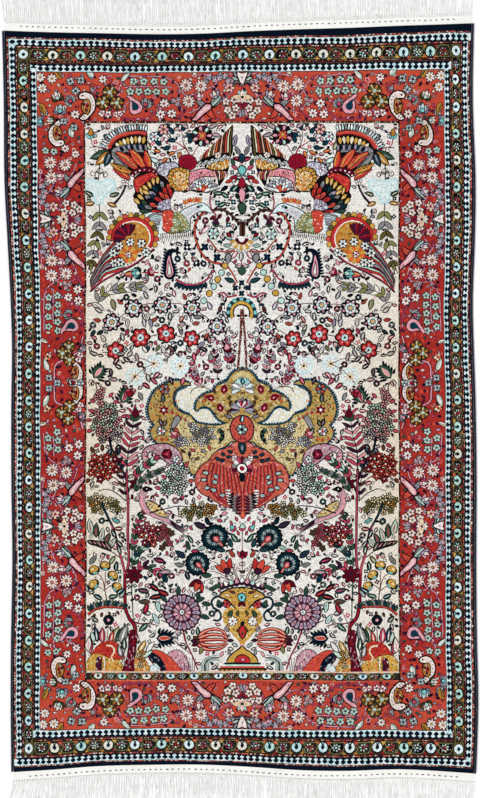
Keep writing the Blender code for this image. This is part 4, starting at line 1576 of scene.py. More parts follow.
def drawPhoenix(c):
    # the raised wing: slate spikes, a coral band, gold tongues and long streaked feathers
    area(c, [(109, 150), (114, 140), (122, 134), (132, 130.5), (142, 130), (149, 132), (149, 150),
             (153, 168), (137, 172), (124, 168), (112, 156)], "ink")
    comb(c, [(107, 149.5), (112, 141), (119, 135.5), (129, 131.6), (140, 130.4), (148.5, 132)], 19, 7.2,
         1.7, ("sky", "white", "ice", "grey"), 0, 0.95)
    c.line([(110, 148.5), (114.5, 141.2), (121, 136.6), (130, 133.6), (140, 132.9), (148, 134.4)], 3.8,
           "coral", 3.4)
    c.line([(111, 147.8), (115.5, 141.8), (121.6, 137.6), (130, 134.8), (140, 134.2), (147.6, 135.4)], 0.8,
           "crimson", 0.8)
    comb(c, [(148, 137.2), (139, 136.2), (130, 137.2), (122, 140), (115.5, 144.6)], 8, 7.6, 3.2,
         ("gold", "cream"), 0, 0.7)
    area(c, [(113, 151), (118, 147.4), (127, 145.4), (137, 145), (147.5, 146), (148, 151.5), (139, 152),
             (129, 152), (121, 154), (115, 157)], "grey", 0.6)
    comb(c, [(148.6, 145), (138, 144.4), (127, 145), (117, 148.6)], 11, 6.4, 2.2, ("grey", "navy", "lilac",
            "teal"), 12, 0.5)
    for points, tone, streaks in (
        ([(113, 153), (118, 156), (125, 162.5), (129, 169), (122, 167.6), (116, 161.5)], "grey", ("navy",)),
        ([(138.5, 169.6), (131, 167), (123, 160.5), (117.5, 152.6), (124, 153.6), (130.6, 157),
          (136.4, 162.4)], "coral", ("gold", "green", "red")),
        ([(146, 168.4), (138.4, 164), (133, 157), (131.4, 149.6), (137.2, 152.4), (142, 157), (145.6, 162)],
         "coral", ("gold", "red", "orange")),
        ([(152, 168), (147, 165), (145, 158), (146.4, 150.6), (150, 156), (152, 162)], "red",
         ("gold", "orange")),
        ([(114.6, 168), (121, 168.6), (127, 172.2), (131, 179), (124, 177.6), (118.4, 172.8)], "coral",
         ("gold", "crimson")),
        ([(112, 163.4), (118, 164.6), (126, 167.4), (132.6, 172.6), (125, 172.2), (117, 168.6)], "gold",
         ("olive", "coral")),
    ):
        area(c, points, tone, 0.95)
        flat = chartPoints(points)
        root, tip = flat[0], flat[3]
        if tone in ("gold", "grey") or len(streaks) < 3 and tone == "coral":
            root, tip = flat[3], flat[0]
        for k, streak in enumerate(streaks):
            aside = (k - (len(streaks) - 1) / 2) * 2.1
            d = (tip - root) / np.linalg.norm(tip - root)
            side = np.array([-d[1], d[0]]) * aside
            line = ribbon([root + d * 1.5, (root + tip) / 2 + side, tip - d * 2.2 + side * 0.3], 1.15, 0.7,
                          3)
            c.add([(line, streak)])
    comb(c, [(124, 169), (117.4, 162.6), (113, 155.4)], 6, 2.6, 1.4, ("ink",), -20, 0)
    comb(c, [(129, 178.6), (120.6, 174.4), (114.8, 168.6)], 6, 2.6, 1.4, ("crimson",), -20, 0)
    comb(c, [(134, 163), (130.4, 156), (131, 149.4)], 6, 2.2, 1.3, ("crimson",), 30, 0)
    # body: ink ground, red shoulder, rows of feathers, mauve patch
    area(c, [(135, 178), (141, 172.6), (151, 170.8), (159, 172), (165, 175.6), (171, 180.6), (175, 187),
             (175.6, 193), (172.6, 198),
             (172, 205), (172.6, 209.6), (168, 211.5), (163, 214.4), (152, 215.4), (145, 213), (139.4, 208),
             (137.6, 202), (134, 196),
             (136, 191.4), (134.6, 185)], "ink")
    shoulder = [(136, 179), (143, 175), (150, 173.4), (157, 172), (157.4, 176.6), (151.4, 179.4),
                (145.6, 183), (141, 187), (139.4, 192), (136.6, 189)]
    area(c, shoulder, "red")
    mottle(c, shoulder, ("coral", "orange", "crimson", "coral"), 2.1, 2.4, 130, 31)
    for width, dye in ((5.8, "ink"), (4.4, "maroon")):
        c.line([(132.8, 176.4), (134.6, 172.6), (139, 170.4), (146, 169.4), (152.6, 169.8), (158, 173.6)],
               width, dye, width * 0.9)
    for x, y in ((133.4, 175), (136.6, 172), (140.6, 170.4), (145.4, 169.6), (150.2, 170.2), (154.6, 171.4),
                 (157.4, 174)):
        c.pair([(oval(0.9, 0.8, 6), "pink" if x > 145 else "white")], x, y)
    feathers(c, (
        (158.8, 180.4, -86, "gold"), (154.4, 181.4, -76, "gold"), (150.8, 184.8, -62, "gold"),
        (146.6, 187.6, -42, "gold"),
        (142.4, 190.6, -74, "gold"), (147.0, 192.0, -34, "gold"), (141.8, 196.9, -44, "gold"),
        (138.6, 201.0, -46, "gold"),
        (163.6, 184.8, -70, "grey"), (160.4, 187.8, -64, "navy"), (156.6, 189.2, -60, "teal"),
        (153.4, 193.4, -30, "lilac"),
        (149.6, 197.6, -30, "grey"), (152.4, 200.8, -26, "navy"), (146.0, 202.8, -40, "green"),
        (143.4, 206.6, -34, "teal"),
        (149.4, 207.2, -24, "grey"), (155.0, 197.2, -30, "teal"),
    ), 8.2, 3.3)
    feathers(c, (
        (170.4, 187.6, -68, "coral"), (166.6, 191.4, -68, "red"), (163.2, 195.6, -52, "coral"),
        (159.2, 199.4, -24, "red"),
        (154.2, 205.2, -30, "coral"), (172.0, 193.0, -76, "red"), (168.4, 197.6, -60, "coral"),
    ), 8.8, 3.6)
    mauve = [(160, 203), (166, 200), (171.6, 199.6), (171.6, 205), (172, 209), (164, 210.6), (158, 208.6)]
    area(c, mauve, "lilac")
    mottle(c, mauve, ("ink", "plum", "ice", "ink", "grey"), 1.9, 2.2, 60, 32, 0.5, 90)
    feathers(c, ((157.4, 212.2, -12, "red"), (146.4, 211.6, -10, "green")), 12, 3.4)
    c.line([(160, 172.6), (165.6, 176), (171, 181), (174.8, 187), (176.4, 192)], 2.8, "ink", 2.0)
    c.line([(160, 172.6), (165.6, 176), (171, 181), (174.8, 187), (176.2, 191.4)], 1.4, "peach", 1.0)
    for x, y in ((175.8, 200.8), (175.8, 204.2)):
        c.pair([(oval(1.1, 0.8, 6), "maroon")], x, y)
    # back: mauve bloom, gold bloom, spotted coral strip, lotus panel
    mauveBloom = [(158.5, 171.5), (160, 166.6), (165, 163.6), (171, 162.6), (176.5, 163.2), (179.4, 167),
                  (176, 170.8), (170.6, 172), (167.4, 176), (162, 174.6)]
    area(c, mauveBloom, "lilac", 1.1, "midnight")
    mottle(c, mauveBloom, ("ice", "ice", "plum", "grey", "white"), 2.2, 2.3, 60, 33, 0.6, 90)
    area(c, [(186, 175), (191, 172.4), (197, 170.4), (205, 168.6), (214, 168.4), (219, 171), (217, 176),
             (206, 176), (198, 178.4), (192, 183), (190, 190.6), (184, 190.8)], "pink", 1.0)
    mottle(c, [(186, 175), (197, 171), (214, 169.4), (217, 175), (200, 177), (192, 182), (189, 190),
               (184, 190)], ("crimson", "ink", "coral", "rose"), 2.2, 2.4, 20, 34, 0.5)
    gold = [(170.6, 172.6), (174, 169), (180, 168.2), (187, 168.8), (190.6, 172.6), (189.4, 178),
            (190, 184), (187, 189.6), (181, 191), (176.8, 190.6), (174.6, 186), (171.6, 179.6)]
    area(c, gold, "gold", 1.0)
    mottle(c, gold, ("cream", "orange", "orange", "brown", "cream", "peach"), 2.0, 3.0, 35, 35, 0.42, 60)
    for k in range(9):
        c.pair(move(edged(oval(2.0, 1.7, 7), "gold", 0.35), polar(9.4, 60 + 22.0 * k)) + [(oval(0.7, 0.9, 5,
                polar(9.4, 60 + 22.0 * k)), "orange")], 180.6, 178.6)
    for k, (radius, wide, count, tones) in enumerate(((16.6, 4.6, 9, ("grey", "lilac", "ice")),
            (11.0, 3.4, 7, ("white", "ice")), (7.6, 2.8, 5, ("coral", "white", "orange")))):
        for j in range(count):
            tilt = (j - (count - 1) / 2) * 168 / count
            petal = leafOutline(radius, wide)
            c.pair([(grow(petal, 0.7), "ink"), (petal, tones[j % len(tones)])], 204.6, 191.4, -tilt,
                   squash=0.86 if k == 0 else 1.0)
    c.pair(edged(leafOutline(5.4, 2.8), "orange", 0.3, "crimson"), 204.6, 191.6)
    c.line([(176, 191), (186, 191.4), (195, 190.6), (205, 192.4), (214, 191.6), (221, 188)], 1.3, "ink",
           1.2)
    # inner wing: gold patch and streaks below, black and white strip, upright quills above
    area(c, [(205, 163), (214, 158.6), (229.4, 156), (229.6, 164), (228, 173), (224, 181), (219.4, 186.6),
             (217.6, 178), (213, 171.4), (206, 168)], "ink")
    patch = [(207.6, 163), (215, 160), (228.2, 158.4), (228, 167.4), (220, 169.8), (210, 168.6)]
    area(c, patch, "gold")
    mottle(c, patch, ("ochre", "brown", "cream", "orange"), 1.9, 3.2, -10, 36, 0.36, 14)
    for k in range(8):
        x = 212.4 + k * 2.05
        c.line([(x, 170.6 + 0.2 * k), (x + 1.6, 175), (x + 2.6 - 0.35 * k, 180.6 - abs(k - 3) * 0.7)], 1.25,
               ("ochre", "pink", "brown", "cream", "rose")[k % 5], 0.7)
    area(c, [(200, 159), (206, 151), (214, 144), (222, 136.4), (229, 129.4), (234.4, 125.4), (233.6, 140),
             (231.8, 156.6), (214, 158)], "ink")
    for k in range(13):
        share = k / 12
        base = (201.4 + 29 * share, 158.4 - 2.4 * share)
        top = (205.2 + 28.2 * share, 151.6 - 25 * share**0.92)
        tone = ("peach", "brown", "coral", "cream", "olive", "peach", "orange", "brown")[k % 8]
        c.line([base, ((base[0] + top[0]) / 2 - 0.5, (base[1] + top[1]) / 2), top], 1.5, tone, 0.8)
    c.line([(199, 164.6), (206, 160.6), (215, 157.8), (229.6, 155.4)], 6.6, "ink", 6.0)
    for k in range(10):
        x = 200.6 + k * 3.1
        c.pair(bloom(2.0, 5, ("white", "ice"), "ink", "ink", 0.9, 0.3), x, 163.4 - 0.78 * k + (k % 2) * 1.6,
               20 * k)
    c.pair(bloom(3.0, 5, ("white",), "coral", "orange", 0.9, 0.3), 218.4, 155.4)
    # neck, head and crest
    neck = [(178, 232), (176, 219), (184, 211), (196, 205), (203, 203.4), (208, 206), (213, 213),
            (206, 211), (197, 213), (191, 219), (190, 230)]
    area(c, neck, "ice", 0.9)
    for k in range(5):
        c.line([(182 + k * 0.9, 217 + k * 1.6), (190 + k, 210 + k * 1.3), (199 + k * 0.6, 206.6 + k)], 0.9,
               ("pink", "lilac", "grey", "pink", "lilac")[k], 0.5)
    c.pair([(oval(3.4, 1.5, 9, turn=14), "navy"), (oval(1.1, 0.6, 6, (0.8, 0.2)), "sky")], 200.5, 206.6)
    comb(c, [(186, 205.4), (191, 203.4), (196, 202.4), (202, 202.6)], 8, 5.6, 1.9, ("orange", "gold",
            "coral"), -8, 0.4, "crimson", -24)
    breast = [(162, 214), (170, 210.5), (175, 214), (173, 226), (169, 233), (163, 228)]
    area(c, breast, "coral", 0.9)
    mottle(c, breast, ("red", "red", "crimson", "orange"), 2.6, 2.0, 90, 37, 0.5, 90)
    for k in range(7):
        c.pair([(oval(0.75, 0.7, 5), "ink" if k % 2 else "white")], 165 + (k % 3) * 3, 215.5 + k * 2.1)
    collar = [(174.5, 214), (181, 213), (188, 221), (190, 228), (180, 232.5), (170, 233.5), (173.5, 226)]
    area(c, collar, "moss", 0.5, "olive")
    mottle(c, collar, ("cream", "moss", "gold", "mint", "olive"), 2.1, 2.6, 60, 38, 0.4)
    for k in range(16):
        x = 161 + k * 2.15
        c.pair([(ribbon([(0, 0), (0.6, -4), (-0.8, -8.0 - (k % 3) * 1.5)], 1.0, 0.4, 2), "ink")], x,
               233.0 + 1.0 * (k < 8) - k * 0.25)
        c.pair([(ribbon([(0, 0), (-1.2, -3.6)], 0.9, 0.4, 2), "ink")], x + 1.1, 237.5 - k * 0.25)
    # long slate ribs between the back and the round wing
    area(c, [(146, 214), (160, 213.6), (163, 222), (162, 232), (157, 240), (150, 246), (146.6, 238),
             (143, 226)], "ice")
    for k in range(8):
        path = [(163 - k * 0.7, 214 + k * 3.2), (154, 214.5 + k * 3.5), (146.5, 219 + k * 3.7),
                (143.4, 226 + k * 3.5)]
        c.stem(path, (2.9, "ink", 1.9), (1.5, ("grey", "sky", "lilac")[k % 3], 0.8))


def drawRoundWing(c):
    # the trailing wing: scalloped rim, gold disc, maroon fan, orange flower and striped feathers
    hub = (134, 238)
    for k in range(11):
        path = [(118 + k * 1.0, 241 + k * 2.7), (108 - k * 0.1, 252 + k * 2.2),
                (97 + k * 0.2, 268 + k * 1.6), (91.2 + k * 0.12, 281 + k * 1.05)]
        c.stem(path, (3.5, "ink", 1.5), (1.8, ("red", "grey", "lilac", "maroon", "mint")[k % 5], 0.6))
    c.line([(156, 249), (138, 263), (118, 273), (100, 284), (91, 292)], 2.4, "ink", 1.6)
    c.line([(155, 248.6), (138, 262), (118, 272), (100, 283), (91.6, 290)], 1.2, "rose", 0.8)
    rim = plume(15, -24, 186, 17.5, 25.5, ("gold", "coral", "gold", "olive"), 0.82, 0.55, "ink", 0.7)
    rim += arcBand(-30, 190, 16, 21.5, "ink", 26) + arcBand(-30, 190, 16, 20.8, "red", 26)
    rim += [(oval(17.6, 17.6, 26), "white"), (oval(16.6, 16.6, 26), "ochre")]
    c.pair(rim, *hub)
    disc = [(hub[0] + 15.5 * np.cos(t), hub[1] + 15.5 * np.sin(t)) for t in np.linspace(0, 2 * np.pi, 20,
            endpoint=False)]
    mottle(c, disc, ("gold", "brown", "mustard", "straw", "orange"), 2.4, 3.0, 40, 96, 0.4, 60)
    c.pair(plume(11, 60, 200, 3, 15, ("maroon", "plum", "crimson"), 0.92, 0.2, "ink", 0.5), 130, 238)
    c.pair(plume(12, 0, 360, 2.4, 9.4, ("orange", "gold"), 0.95, 0.3, "brown", 0.35), 130, 254)
    c.pair(rosette(3.2, 6, "pink", "maroon", "white"), 130, 254.5)
    for x, y in ((121, 246), (132, 242), (143, 243.5), (114.5, 253), (115.5, 263), (147.5, 252.5),
                 (122, 262)):
        c.pair(rosette(4.2, 6, "ice", "midnight", "white", 0.3), x, y)


def drawTopSprays(c):
    # the corner bud, its curls and lance leaves
    c.line([(93, 139), (95, 146), (103, 148.5), (112, 151)], 1.0, "crimson")
    c.pair(bud(9, "ochre", "aqua"), 93, 139.5)
    c.pair(ringCurl(3.4, "maroon"), 99, 133, -30)
    c.pair(ringCurl(3.4, "maroon", -1), 96, 148, 40)
    c.line([(112, 151), (106, 150), (99, 147.5), (92, 148)], 0.9, "maroon")
    for tilt, long, tones in ((112, 21, ("green", "grey")), (136, 20, ("ochre", "cream")),
                              (162, 16, ("teal", "grey"))):
        c.pair(looseLeaf(long, *tones, 1.0), 112, 152, tilt)
    for x, y, way in ((92, 171, 1), (109, 172, -1)):
        c.pair(ringCurl(3.2, "maroon", way), x + 3 * way, y, 10)
    c.line([(101, 164), (101, 172), (100.5, 184)], 1.1, "ink")
    c.line([(101, 168), (98, 172), (97, 178)], 0.8, "brown")
    c.line([(101, 168), (105, 172), (106, 178)], 0.8, "brown")
    # a pale blue bloom over the hanging spray
    cloud = smooth([(86, 181), (92, 178.5), (101, 181), (110, 178.5), (118, 181), (116, 191), (108, 196),
                    (106, 203), (101, 205),
                    (96, 203), (94, 195), (87, 191)], True, 3)
    flat = chartPoints(cloud)
    c.add([(flat, "sky")])
    c.add([(grow(flat, -2.6), "ice")])
    for k in range(14):
        c.pair([(oval(0.6, 0.5, 5), "aqua" if k % 3 else "lilac")], 89 + (k * 5.3) % 26,
               182 + (k * 3.7) % 15)
    for x, y, tilt in ((92, 196, 60), (112, 196, -70), (93, 203, 100), (110, 203, -112)):
        c.pair(looseLeaf(9, "ochre" if tilt > 90 or tilt < -90 else "green", "cream"), x + 3 * (x < 100), y,
               tilt)
    headedSpray(c, [(101, 204), (101.5, 216), (100, 232), (96, 246), (93, 262)], 11.5, ("moss", "grey",
            "olive"), 9.0, 0.9, "ink", 42)
    c.pair(ringCurl(2.6, "ink"), 93, 262)
    c.line([(92, 262), (90, 267), (88.5, 273)], 0.8, "ink")
    # the twisted branch beside the bloom
    c.line([(116, 204), (122, 196), (126, 188), (128, 181)], 2.6, "ink", 2.0)
    c.line([(116, 203), (122, 195.5), (126, 188), (128, 181)], 1.4, "plum", 1.0)
    c.pair(starFlower(3.6, 5, "white", "rose"), 127, 182)
    # branches with teal leaves above the back
    c.line([(191, 160), (188, 150), (178, 143), (166, 138)], 1.5, "crimson", 0.8)
    c.line([(188, 150), (184, 142), (183, 132)], 1.3, "brown", 0.7)
    c.line([(191, 160), (196, 150), (203, 140)], 1.2, "crimson", 0.8)
    c.line([(186, 148), (176, 152), (168, 160)], 1.3, "brown", 0.7)
    for x, y, tilt in ((175, 134, 40), (184, 131, -10), (187.5, 137, -60), (176.5, 140, 100),
                       (190, 143, -20), (164, 136, 70),
                       (170, 129, 20), (179, 127, 5), (172, 147, 110), (163, 145, 60)):
        c.pair(leaf(7.5, 3.4, "teal", 0.4, None, 0.4), x, y, tilt)
    for x, y, tilt in ((176, 152, 120), (168, 158, 140), (182, 152, 160), (162, 152, 80)):
        c.pair(leaf(7, 2.8, "coral", 0.4, "gold", 0.4), x, y, tilt)
    c.pair(rosette(5.2, 6, "pink", "brown", "peach", 0.3), 165, 130)
    c.pair(rosette(4.6, 6, "ice", "rose", "sky", 0.3), 156, 137)
    c.pair(looseLeaf(11, "moss", "ivory", 0.6), 152, 150, 30)
    c.pair(looseLeaf(10, "mint", "white", 0.6), 160, 162, 70)
    c.pair(rosette(5.5, 7, "grey", "ink", "sky", 0.28), 163, 168)
    c.pair(chrysanthemum(10.5, 14, ("pink", "ink", "mint", "plum"), "orange"), 203, 135.5)
    c.pair(rosette(5.2, 8, "rose", "gold", "orange", 0.34), 203, 135.5)
    for x, y, tilt in ((213, 128, -60), (216, 134, -100), (192, 128, 60)):
        c.pair(looseLeaf(9, "grey", "pink", 0.6), x - 3, y, tilt)
    cap = [(scallop(9.4, 10, 0.05, 3), "ink"), (scallop(8.6, 10, 0.05, 3), "crimson")]
    for k in range(7):
        cap.append((ribbon([(-6 + k * 2, -7 + abs(k - 3) * 0.8), (-5 + k * 1.8, 0), (-6.4 + k * 2.1,
                6.5 - abs(k - 3) * 0.7)], 0.75, 0.4, 2), "maroon"))
    c.pair(cap, 188.5, 162.5, squash=0.9)


def drawCentreTop(c):
    # the axis under the top edge: a pale bulb, drops and small leaves
    bulb = smooth([(231, 124.5), (226, 131), (230, 140), (236, 147), (240, 154), (243, 157), (246, 154),
                   (250, 147), (256, 140),
                   (260, 131), (255, 124.5)], True, 3)
    flat = chartPoints(bulb)
    c.add([(grow(flat, 0.6), "grey"), (flat, "ivory")], False)
    c.pair(looseLeaf(11, "lilac", "plum", -1.0), 234, 146, -24)
    c.pair(looseLeaf(9, "grey", "plum", -1.0), 240, 155, 20)
    for side in (-1, 1):
        c.put(leaf(9.5, 4.2, "maroon", 1.0 * side, "rose"), 242.5, 161, -68 * side)
    c.put(drop(5, 2.8, 1, -4.4, "teal", 0.5), 242.5, 159.5)
    c.line([(242.5, 162), (242.5, 190)], 1.0, "crimson", mirrored=False)
    c.put(drop(5, 3.8, 1, -4.4, "aqua", 0.6), 242.5, 171.5)
    for x, y, tilt, tone in ((236, 170, 60, "rose"), (233, 166, 30, "green"), (236, 177, 105, "crimson"),
                             (231, 180, 120, "red"),
                             (226, 187, 130, "navy"), (233, 186, 150, "teal"), (238, 184, 160, "crimson")):
        c.pair(leaf(7.6, 3.0, tone, 0.6, None, 0.35), x + 2, y, tilt)
    c.put(drop(6, 3.4, -1, -5, "crimson", 0.5), 242.5, 184)
    c.pair(leaf(7, 3.2, "navy", 0.5), 239, 193, 24)
    c.put(drop(6.6, 3.2, 1, -8, "pink", 0.5), 242.5, 195)
    c.pair(leaf(5.5, 2.6, "midnight", 0.4), 239.5, 199, 34)
    c.put(drop(5, 3.6, 1, -6, "green", 0.6), 242.5, 208)
    for x, y, tilt in ((226, 198, 58), (220, 194, 88), (230, 192, -38), (223, 203, 120)):
        c.pair(looseLeaf(8.5, "green", "mint", 0.5), x + 3, y, tilt)
    for x, y in ((218.5, 203), (234, 202.5), (229, 225)):
        c.pair(smallBlossom("teal", "mint", 3.4), x, y)


def drawRingVine(c):
    # the thorned ring round the middle, the trunk, the red cup and its palmette
    rings = [[(213, 211), (203, 214), (196, 225), (197, 240), (203, 253), (212, 261), (227, 264.5)],
             [(211, 211), (222, 209.5), (230, 214), (237, 221), (242.5, 226)]]
    for path in rings:
        c.stem(path, (3.0, "ink", 2.6), (1.7, "coral" if path is rings[0] else "brown", 1.5))
        p = smooth(path, False, 5)
        for k in range(2, len(p) - 1, 2):
            d = p[k] - p[k - 1]
            heading = math.degrees(math.atan2(-d[1], d[0])) - 90
            side = 1 if (k // 2) % 2 else -1
            c.pair(leaf(4.6, 1.7, "ink", 0.6 * side, None, 0.1), p[k, 0], p[k, 1], heading + side * 50)
    for path in ([(212, 196), (211, 204), (213, 212)], [(213, 211), (217, 216), (214, 221)]):
        c.stem(path, (1.8, "ink", 1.2), (0.9, "rose", 0.6))
    c.pair(leaf(10, 4, "pink", 1.2, "white", 0.35), 203, 233, -38)
    for x, y, tilt in ((222, 214, 150), (229, 217, 170), (216, 216, 130)):
        c.pair(leaf(6.4, 2.6, "maroon", 0.5, None, 0.3), x, y, tilt)
    c.line([(242.5, 222), (242.5, 236)], 5.4, "ink", mirrored=False)
    c.line([(241.2, 223), (241.2, 236)], 1.6, "brown", mirrored=True)
    c.put(plume(9, 188, 352, 4.6, 11.5, ("gold", "cream"), 0.9, 0.3, "brown", 0.4), 242.5, 239)
    c.put(arcBand(180, 360, 3.4, 6.6, "maroon"), 242.5, 238)
    c.put([(oval(2.6, 3.2, 8), "white")], 242.5, 239)
    for x, y, tilt, tone in ((238, 251, 150, "pink"), (242.5, 252, 180, "grey"), (234, 249, 122, "lilac")):
        c.put(leaf(9, 3.4, tone, 0.4, "white", 0.4), x, y, tilt, mirrored=x < 242)
    c.pair(looseLeaf(7, "mint", "green", 0.4), 232, 245, 95)
    c.pair(looseLeaf(6, "mint", "green", 0.4), 233, 239, 75)
    c.pair(leaf(5.6, 2.4, "crimson", 0.4), 232, 236, 60)
    c.stem([(236, 250), (228, 251.5), (219, 250), (213.5, 243), (209, 238)], (2.2, "ink", 1.4),
           (1.1, "coral", 0.7))
    c.pair(drop(4.4, 2.9, 1, -4.4, "grey", 0.5), 229.5, 258)
    c.pair(rosette(5.6, 6, "mint", "grey", "ice", 0.3), 214.5, 233.5)
    c.pair(bud(7.5, "plum", "green"), 216, 227, -10)
    for x, y in ((188, 247), (206, 246.5), (218.5, 257), (197, 262.5)):
        c.pair(smallBlossom("navy", "white" if x < 200 else "teal", 4.6), x, y)
    c.pair(leaf(4.6, 2.0, "coral", 0.4, None, 0.25), 191, 267, 150)
    # bead chains, the diamond and the small arch
    c.stem([(227, 264.5), (232, 271), (238.5, 283)], (2.2, "ink", 1.6), (1.2, "coral", 0.9))
    c.line([(242.5, 260), (242.5, 268)], 0.8, "crimson", mirrored=False)
    c.put(drop(4.8, 3.8, 0, -4.4, "green", 0.4), 242.5, 270.5)
    for k, (x, y) in enumerate(((226, 265.5), (222.2, 272.4), (218.4, 279), (214.2, 286), (210, 292.8),
                                (204.4, 300.2))):
        c.pair([(oval(3.7, 3.7, 10), "ink"), (oval(2.8, 2.8, 9), "gold" if k % 2 == 0 else "mint")], x, y)
    for x, y in ((242.5, 283), (236, 288), (249, 288), (242.5, 293.5)):
        c.put(smallBlossom("navy", "teal", 3.6), x, y)
    c.pair(looseLeaf(10, "teal", "green", 1.0), 235, 281.5, 75)
    for path in ([(238, 295), (230, 297), (224, 292.5), (218, 294)], [(222, 294), (226, 298), (231, 296)]):
        c.stem(path, (2.2, "maroon", 1.4), (1.0, "rose", 0.6))
    arch = plume(15, -20, 200, 11, 15.4, ("teal", "aqua"), 0.9, 0.5, "midnight", 0.5)
    arch += arcBand(-30, 210, 8.2, 12.4, "ink", 22) + arcBand(-30, 210, 9.0, 11.8, "gold", 22)
    arch += sector(-22, 202, 8.2, "ivory", 18) + arcBand(-30, 210, 7.6, 8.2, "ink", 22)
    c.put(arch, 242.5, 313)
    # the side paisley and the comb-leaved vine
    cone = smooth([(0, -13), (5.0, -10.5), (6.0, -4), (4.0, 3), (2.2, 10), (5, 14), (12, 12.4), (6, 16.6),
                   (-1, 15), (-4.0, 8), (-5.0, -2), (-4.4, -10)], True, 3)
    shapes = [(grow(cone, 0.5), "navy")]
    for k in range(10):
        shapes += move([(leafOutline(4.6, 2.4), "navy")], (-5.2 + 0.35 * k, -11 + k * 2.8), turn=70 - 3 * k)
    for k in range(5):
        shapes += move([(leafOutline(4.4, 2.4), "navy")], (5.6 - 0.5 * k, -10 + k * 2.8), turn=-72)
    inside = smooth([(0, -11), (3.6, -8.6), (3.6, -3), (1.6, 4), (0.2, 10.5), (-1.6, 6), (-2.6, -2),
                     (-2.6, -8.6)], True, 2)
    shapes += [(inside, "pink"), (grow(inside, -1.2), "plum"), (grow(inside, -2.0), "ivory")]
    c.pair(shapes, 170, 266)
    c.pair(ringCurl(2.6, "navy"), 180, 268)
    path = [(176, 279), (186, 283.6), (198, 283.6), (208, 278), (209.5, 273)]
    for k in range(9):
        x = 178.5 + k * 3.4
        c.pair(leaf(6.4, 2.2, "teal", 0.8, None, 0.4), x, 281.5 + 2.2 * math.sin(k / 8 * math.pi),
               158 + k * 4)
        c.pair([(ribbon([(0, 0), (0.4, 3)], 0.7, 0.3, 1), "ink")], x, 281 + 2.0 * math.sin(k / 8 * math.pi))
    c.stem(path, (2.6, "ink", 1.8), (1.4, "rose", 1.0))
    c.pair(ringCurl(2.6, "maroon", -1, 1.4), 210, 273, 20)
    # the teal flower with its gold leaf, and the grey spray
    c.line([(160, 272.5), (150, 273), (143, 272)], 1.5, "crimson", 1.0)
    c.pair(leaf(14, 5, "rose", 1.0, "gold", 0.5), 138, 272.6, 104)
    c.pair(lotusBloom(9, "aqua", "teal", "mint"), 141, 272.5, 95)
    c.pair(leaf(7, 2.6, "grey", 0.4), 147, 274, 200)
    c.pair(tulip(7, ("rose", "crimson", "pink")), 149, 272.5, -80)
    c.pair(leaf(6, 2.6, "pink", 0.4, None, 0.3), 147, 265, -20)
    headedSpray(c, [(99, 306), (102, 297), (110, 291), (122, 288), (138, 286)], 10.5, ("grey", "moss",
            "ivory"), 6.0, 0.8, "ink", 34)
    c.pair(looseLeaf(13, "ivory", "grey", 1.0), 94, 303, -118)
    c.pair(looseLeaf(11, "moss", "grey", 1.0), 113, 299, 200)


rosettesNavy = ((113, 321.5, 8.6), (135, 307.5, 9.2), (164, 304.5, 8.8), (193, 307.5, 8.4),
                (217.5, 326, 8.4))
rosettesRed = ((117, 350, 8.4), (141, 337, 9.2), (167, 333.5, 8.8), (192.5, 338, 7.6))


def drawRosetteRows(c):
    # rows of rosettes on thin stems, with small leaves on both sides
    c.line([(113, 321.5), (124, 314), (135, 307.5), (150, 303), (164, 304.5), (180, 303), (193, 307.5),
            (206, 316), (217.5, 326)], 0.9, "brown")
    c.line([(104, 352), (117, 350), (130, 344), (141, 337), (154, 335), (167, 333.5), (180, 336),
            (192.5, 338), (205, 330), (217.5, 326)], 0.9, "brown")
    smallLeaves = (
        (176, 296, 20, "pink"), (187, 299, 30, "coral"), (175, 313, 140, "ivory"), (184, 316, 160, "coral"),
        (181, 327, 200, "grey"),
        (203, 316, 100, "grey"), (212, 309, 30, "lilac"), (220, 312, -10, "brown"),
        (200, 322, 110, "coral"), (149, 298, 30, "grey"),
        (150, 312, 170, "ivory"), (158, 318, 120, "coral"), (144, 318, 200, "lilac"),
        (128, 318, 190, "ivory"), (124, 303, 60, "coral"),
        (103, 312, 60, "grey"), (102, 320, 90, "coral"), (104, 330, 130, "navy"), (122, 332, 200, "grey"),
        (129, 328, 160, "rose"),
        (96, 330, 150, "teal"), (98, 339, 60, "rose"), (153, 326, 20, "lilac"), (149, 345, 180, "teal"),
        (133, 350, 150, "grey"),
        (107, 341, 40, "ivory"), (177, 345, 170, "teal"), (183, 330, 40, "moss"), (205, 342, 130, "lilac"),
        (200, 348, 170, "rose"),
        (228, 318, 40, "grey"), (230, 336, 140, "ivory"), (209, 333, 150, "coral"), (172, 320, 10, "grey"),
        (160, 345, 160, "moss"),
    )
    for k, (x, y, tilt, tone) in enumerate(smallLeaves):
        second = ("white", "plum", "green")[k % 3]
        c.pair(looseLeaf(8.2 if tone in ("ivory", "grey", "lilac") else 6.6, tone, second, 0.8), x, y, tilt)
    for x, y, r in rosettesNavy:
        c.pair(navyRosette(r), x, y, x * 7 % 40)
    for x, y, r in rosettesRed:
        c.pair(redRosette(r), x, y, x * 5 % 50)


def cluster(c, x, y, rx, ry, count, radius, tones, eye, seed):
    # small dark-edged flowers packed in an oval by the golden angle
    chance = np.random.default_rng(seed)
    count = max(4, int(count * 0.66))
    for k in range(count):
        r, a = math.sqrt((k + 0.5) / count), 2.39996 * k
        size = radius * chance.uniform(1.0, 1.3)
        shapes = [(scallop(size + 0.7, 5, 0.2, 2, 0), "umber" if eye != "white" else "ink")]
        tone = tones[int(chance.integers(len(tones)))]
        for j in range(5):
            shapes.append((oval(size * 0.4, size * 0.22, 5, polar(size * 0.66, 72 * j), 72 * j), tone))
        shapes.append((oval(size * 0.24, size * 0.24, 5), eye))
        c.pair(shapes, x + rx * r * math.cos(a), y - ry * r * math.sin(a), chance.uniform(0, 72))


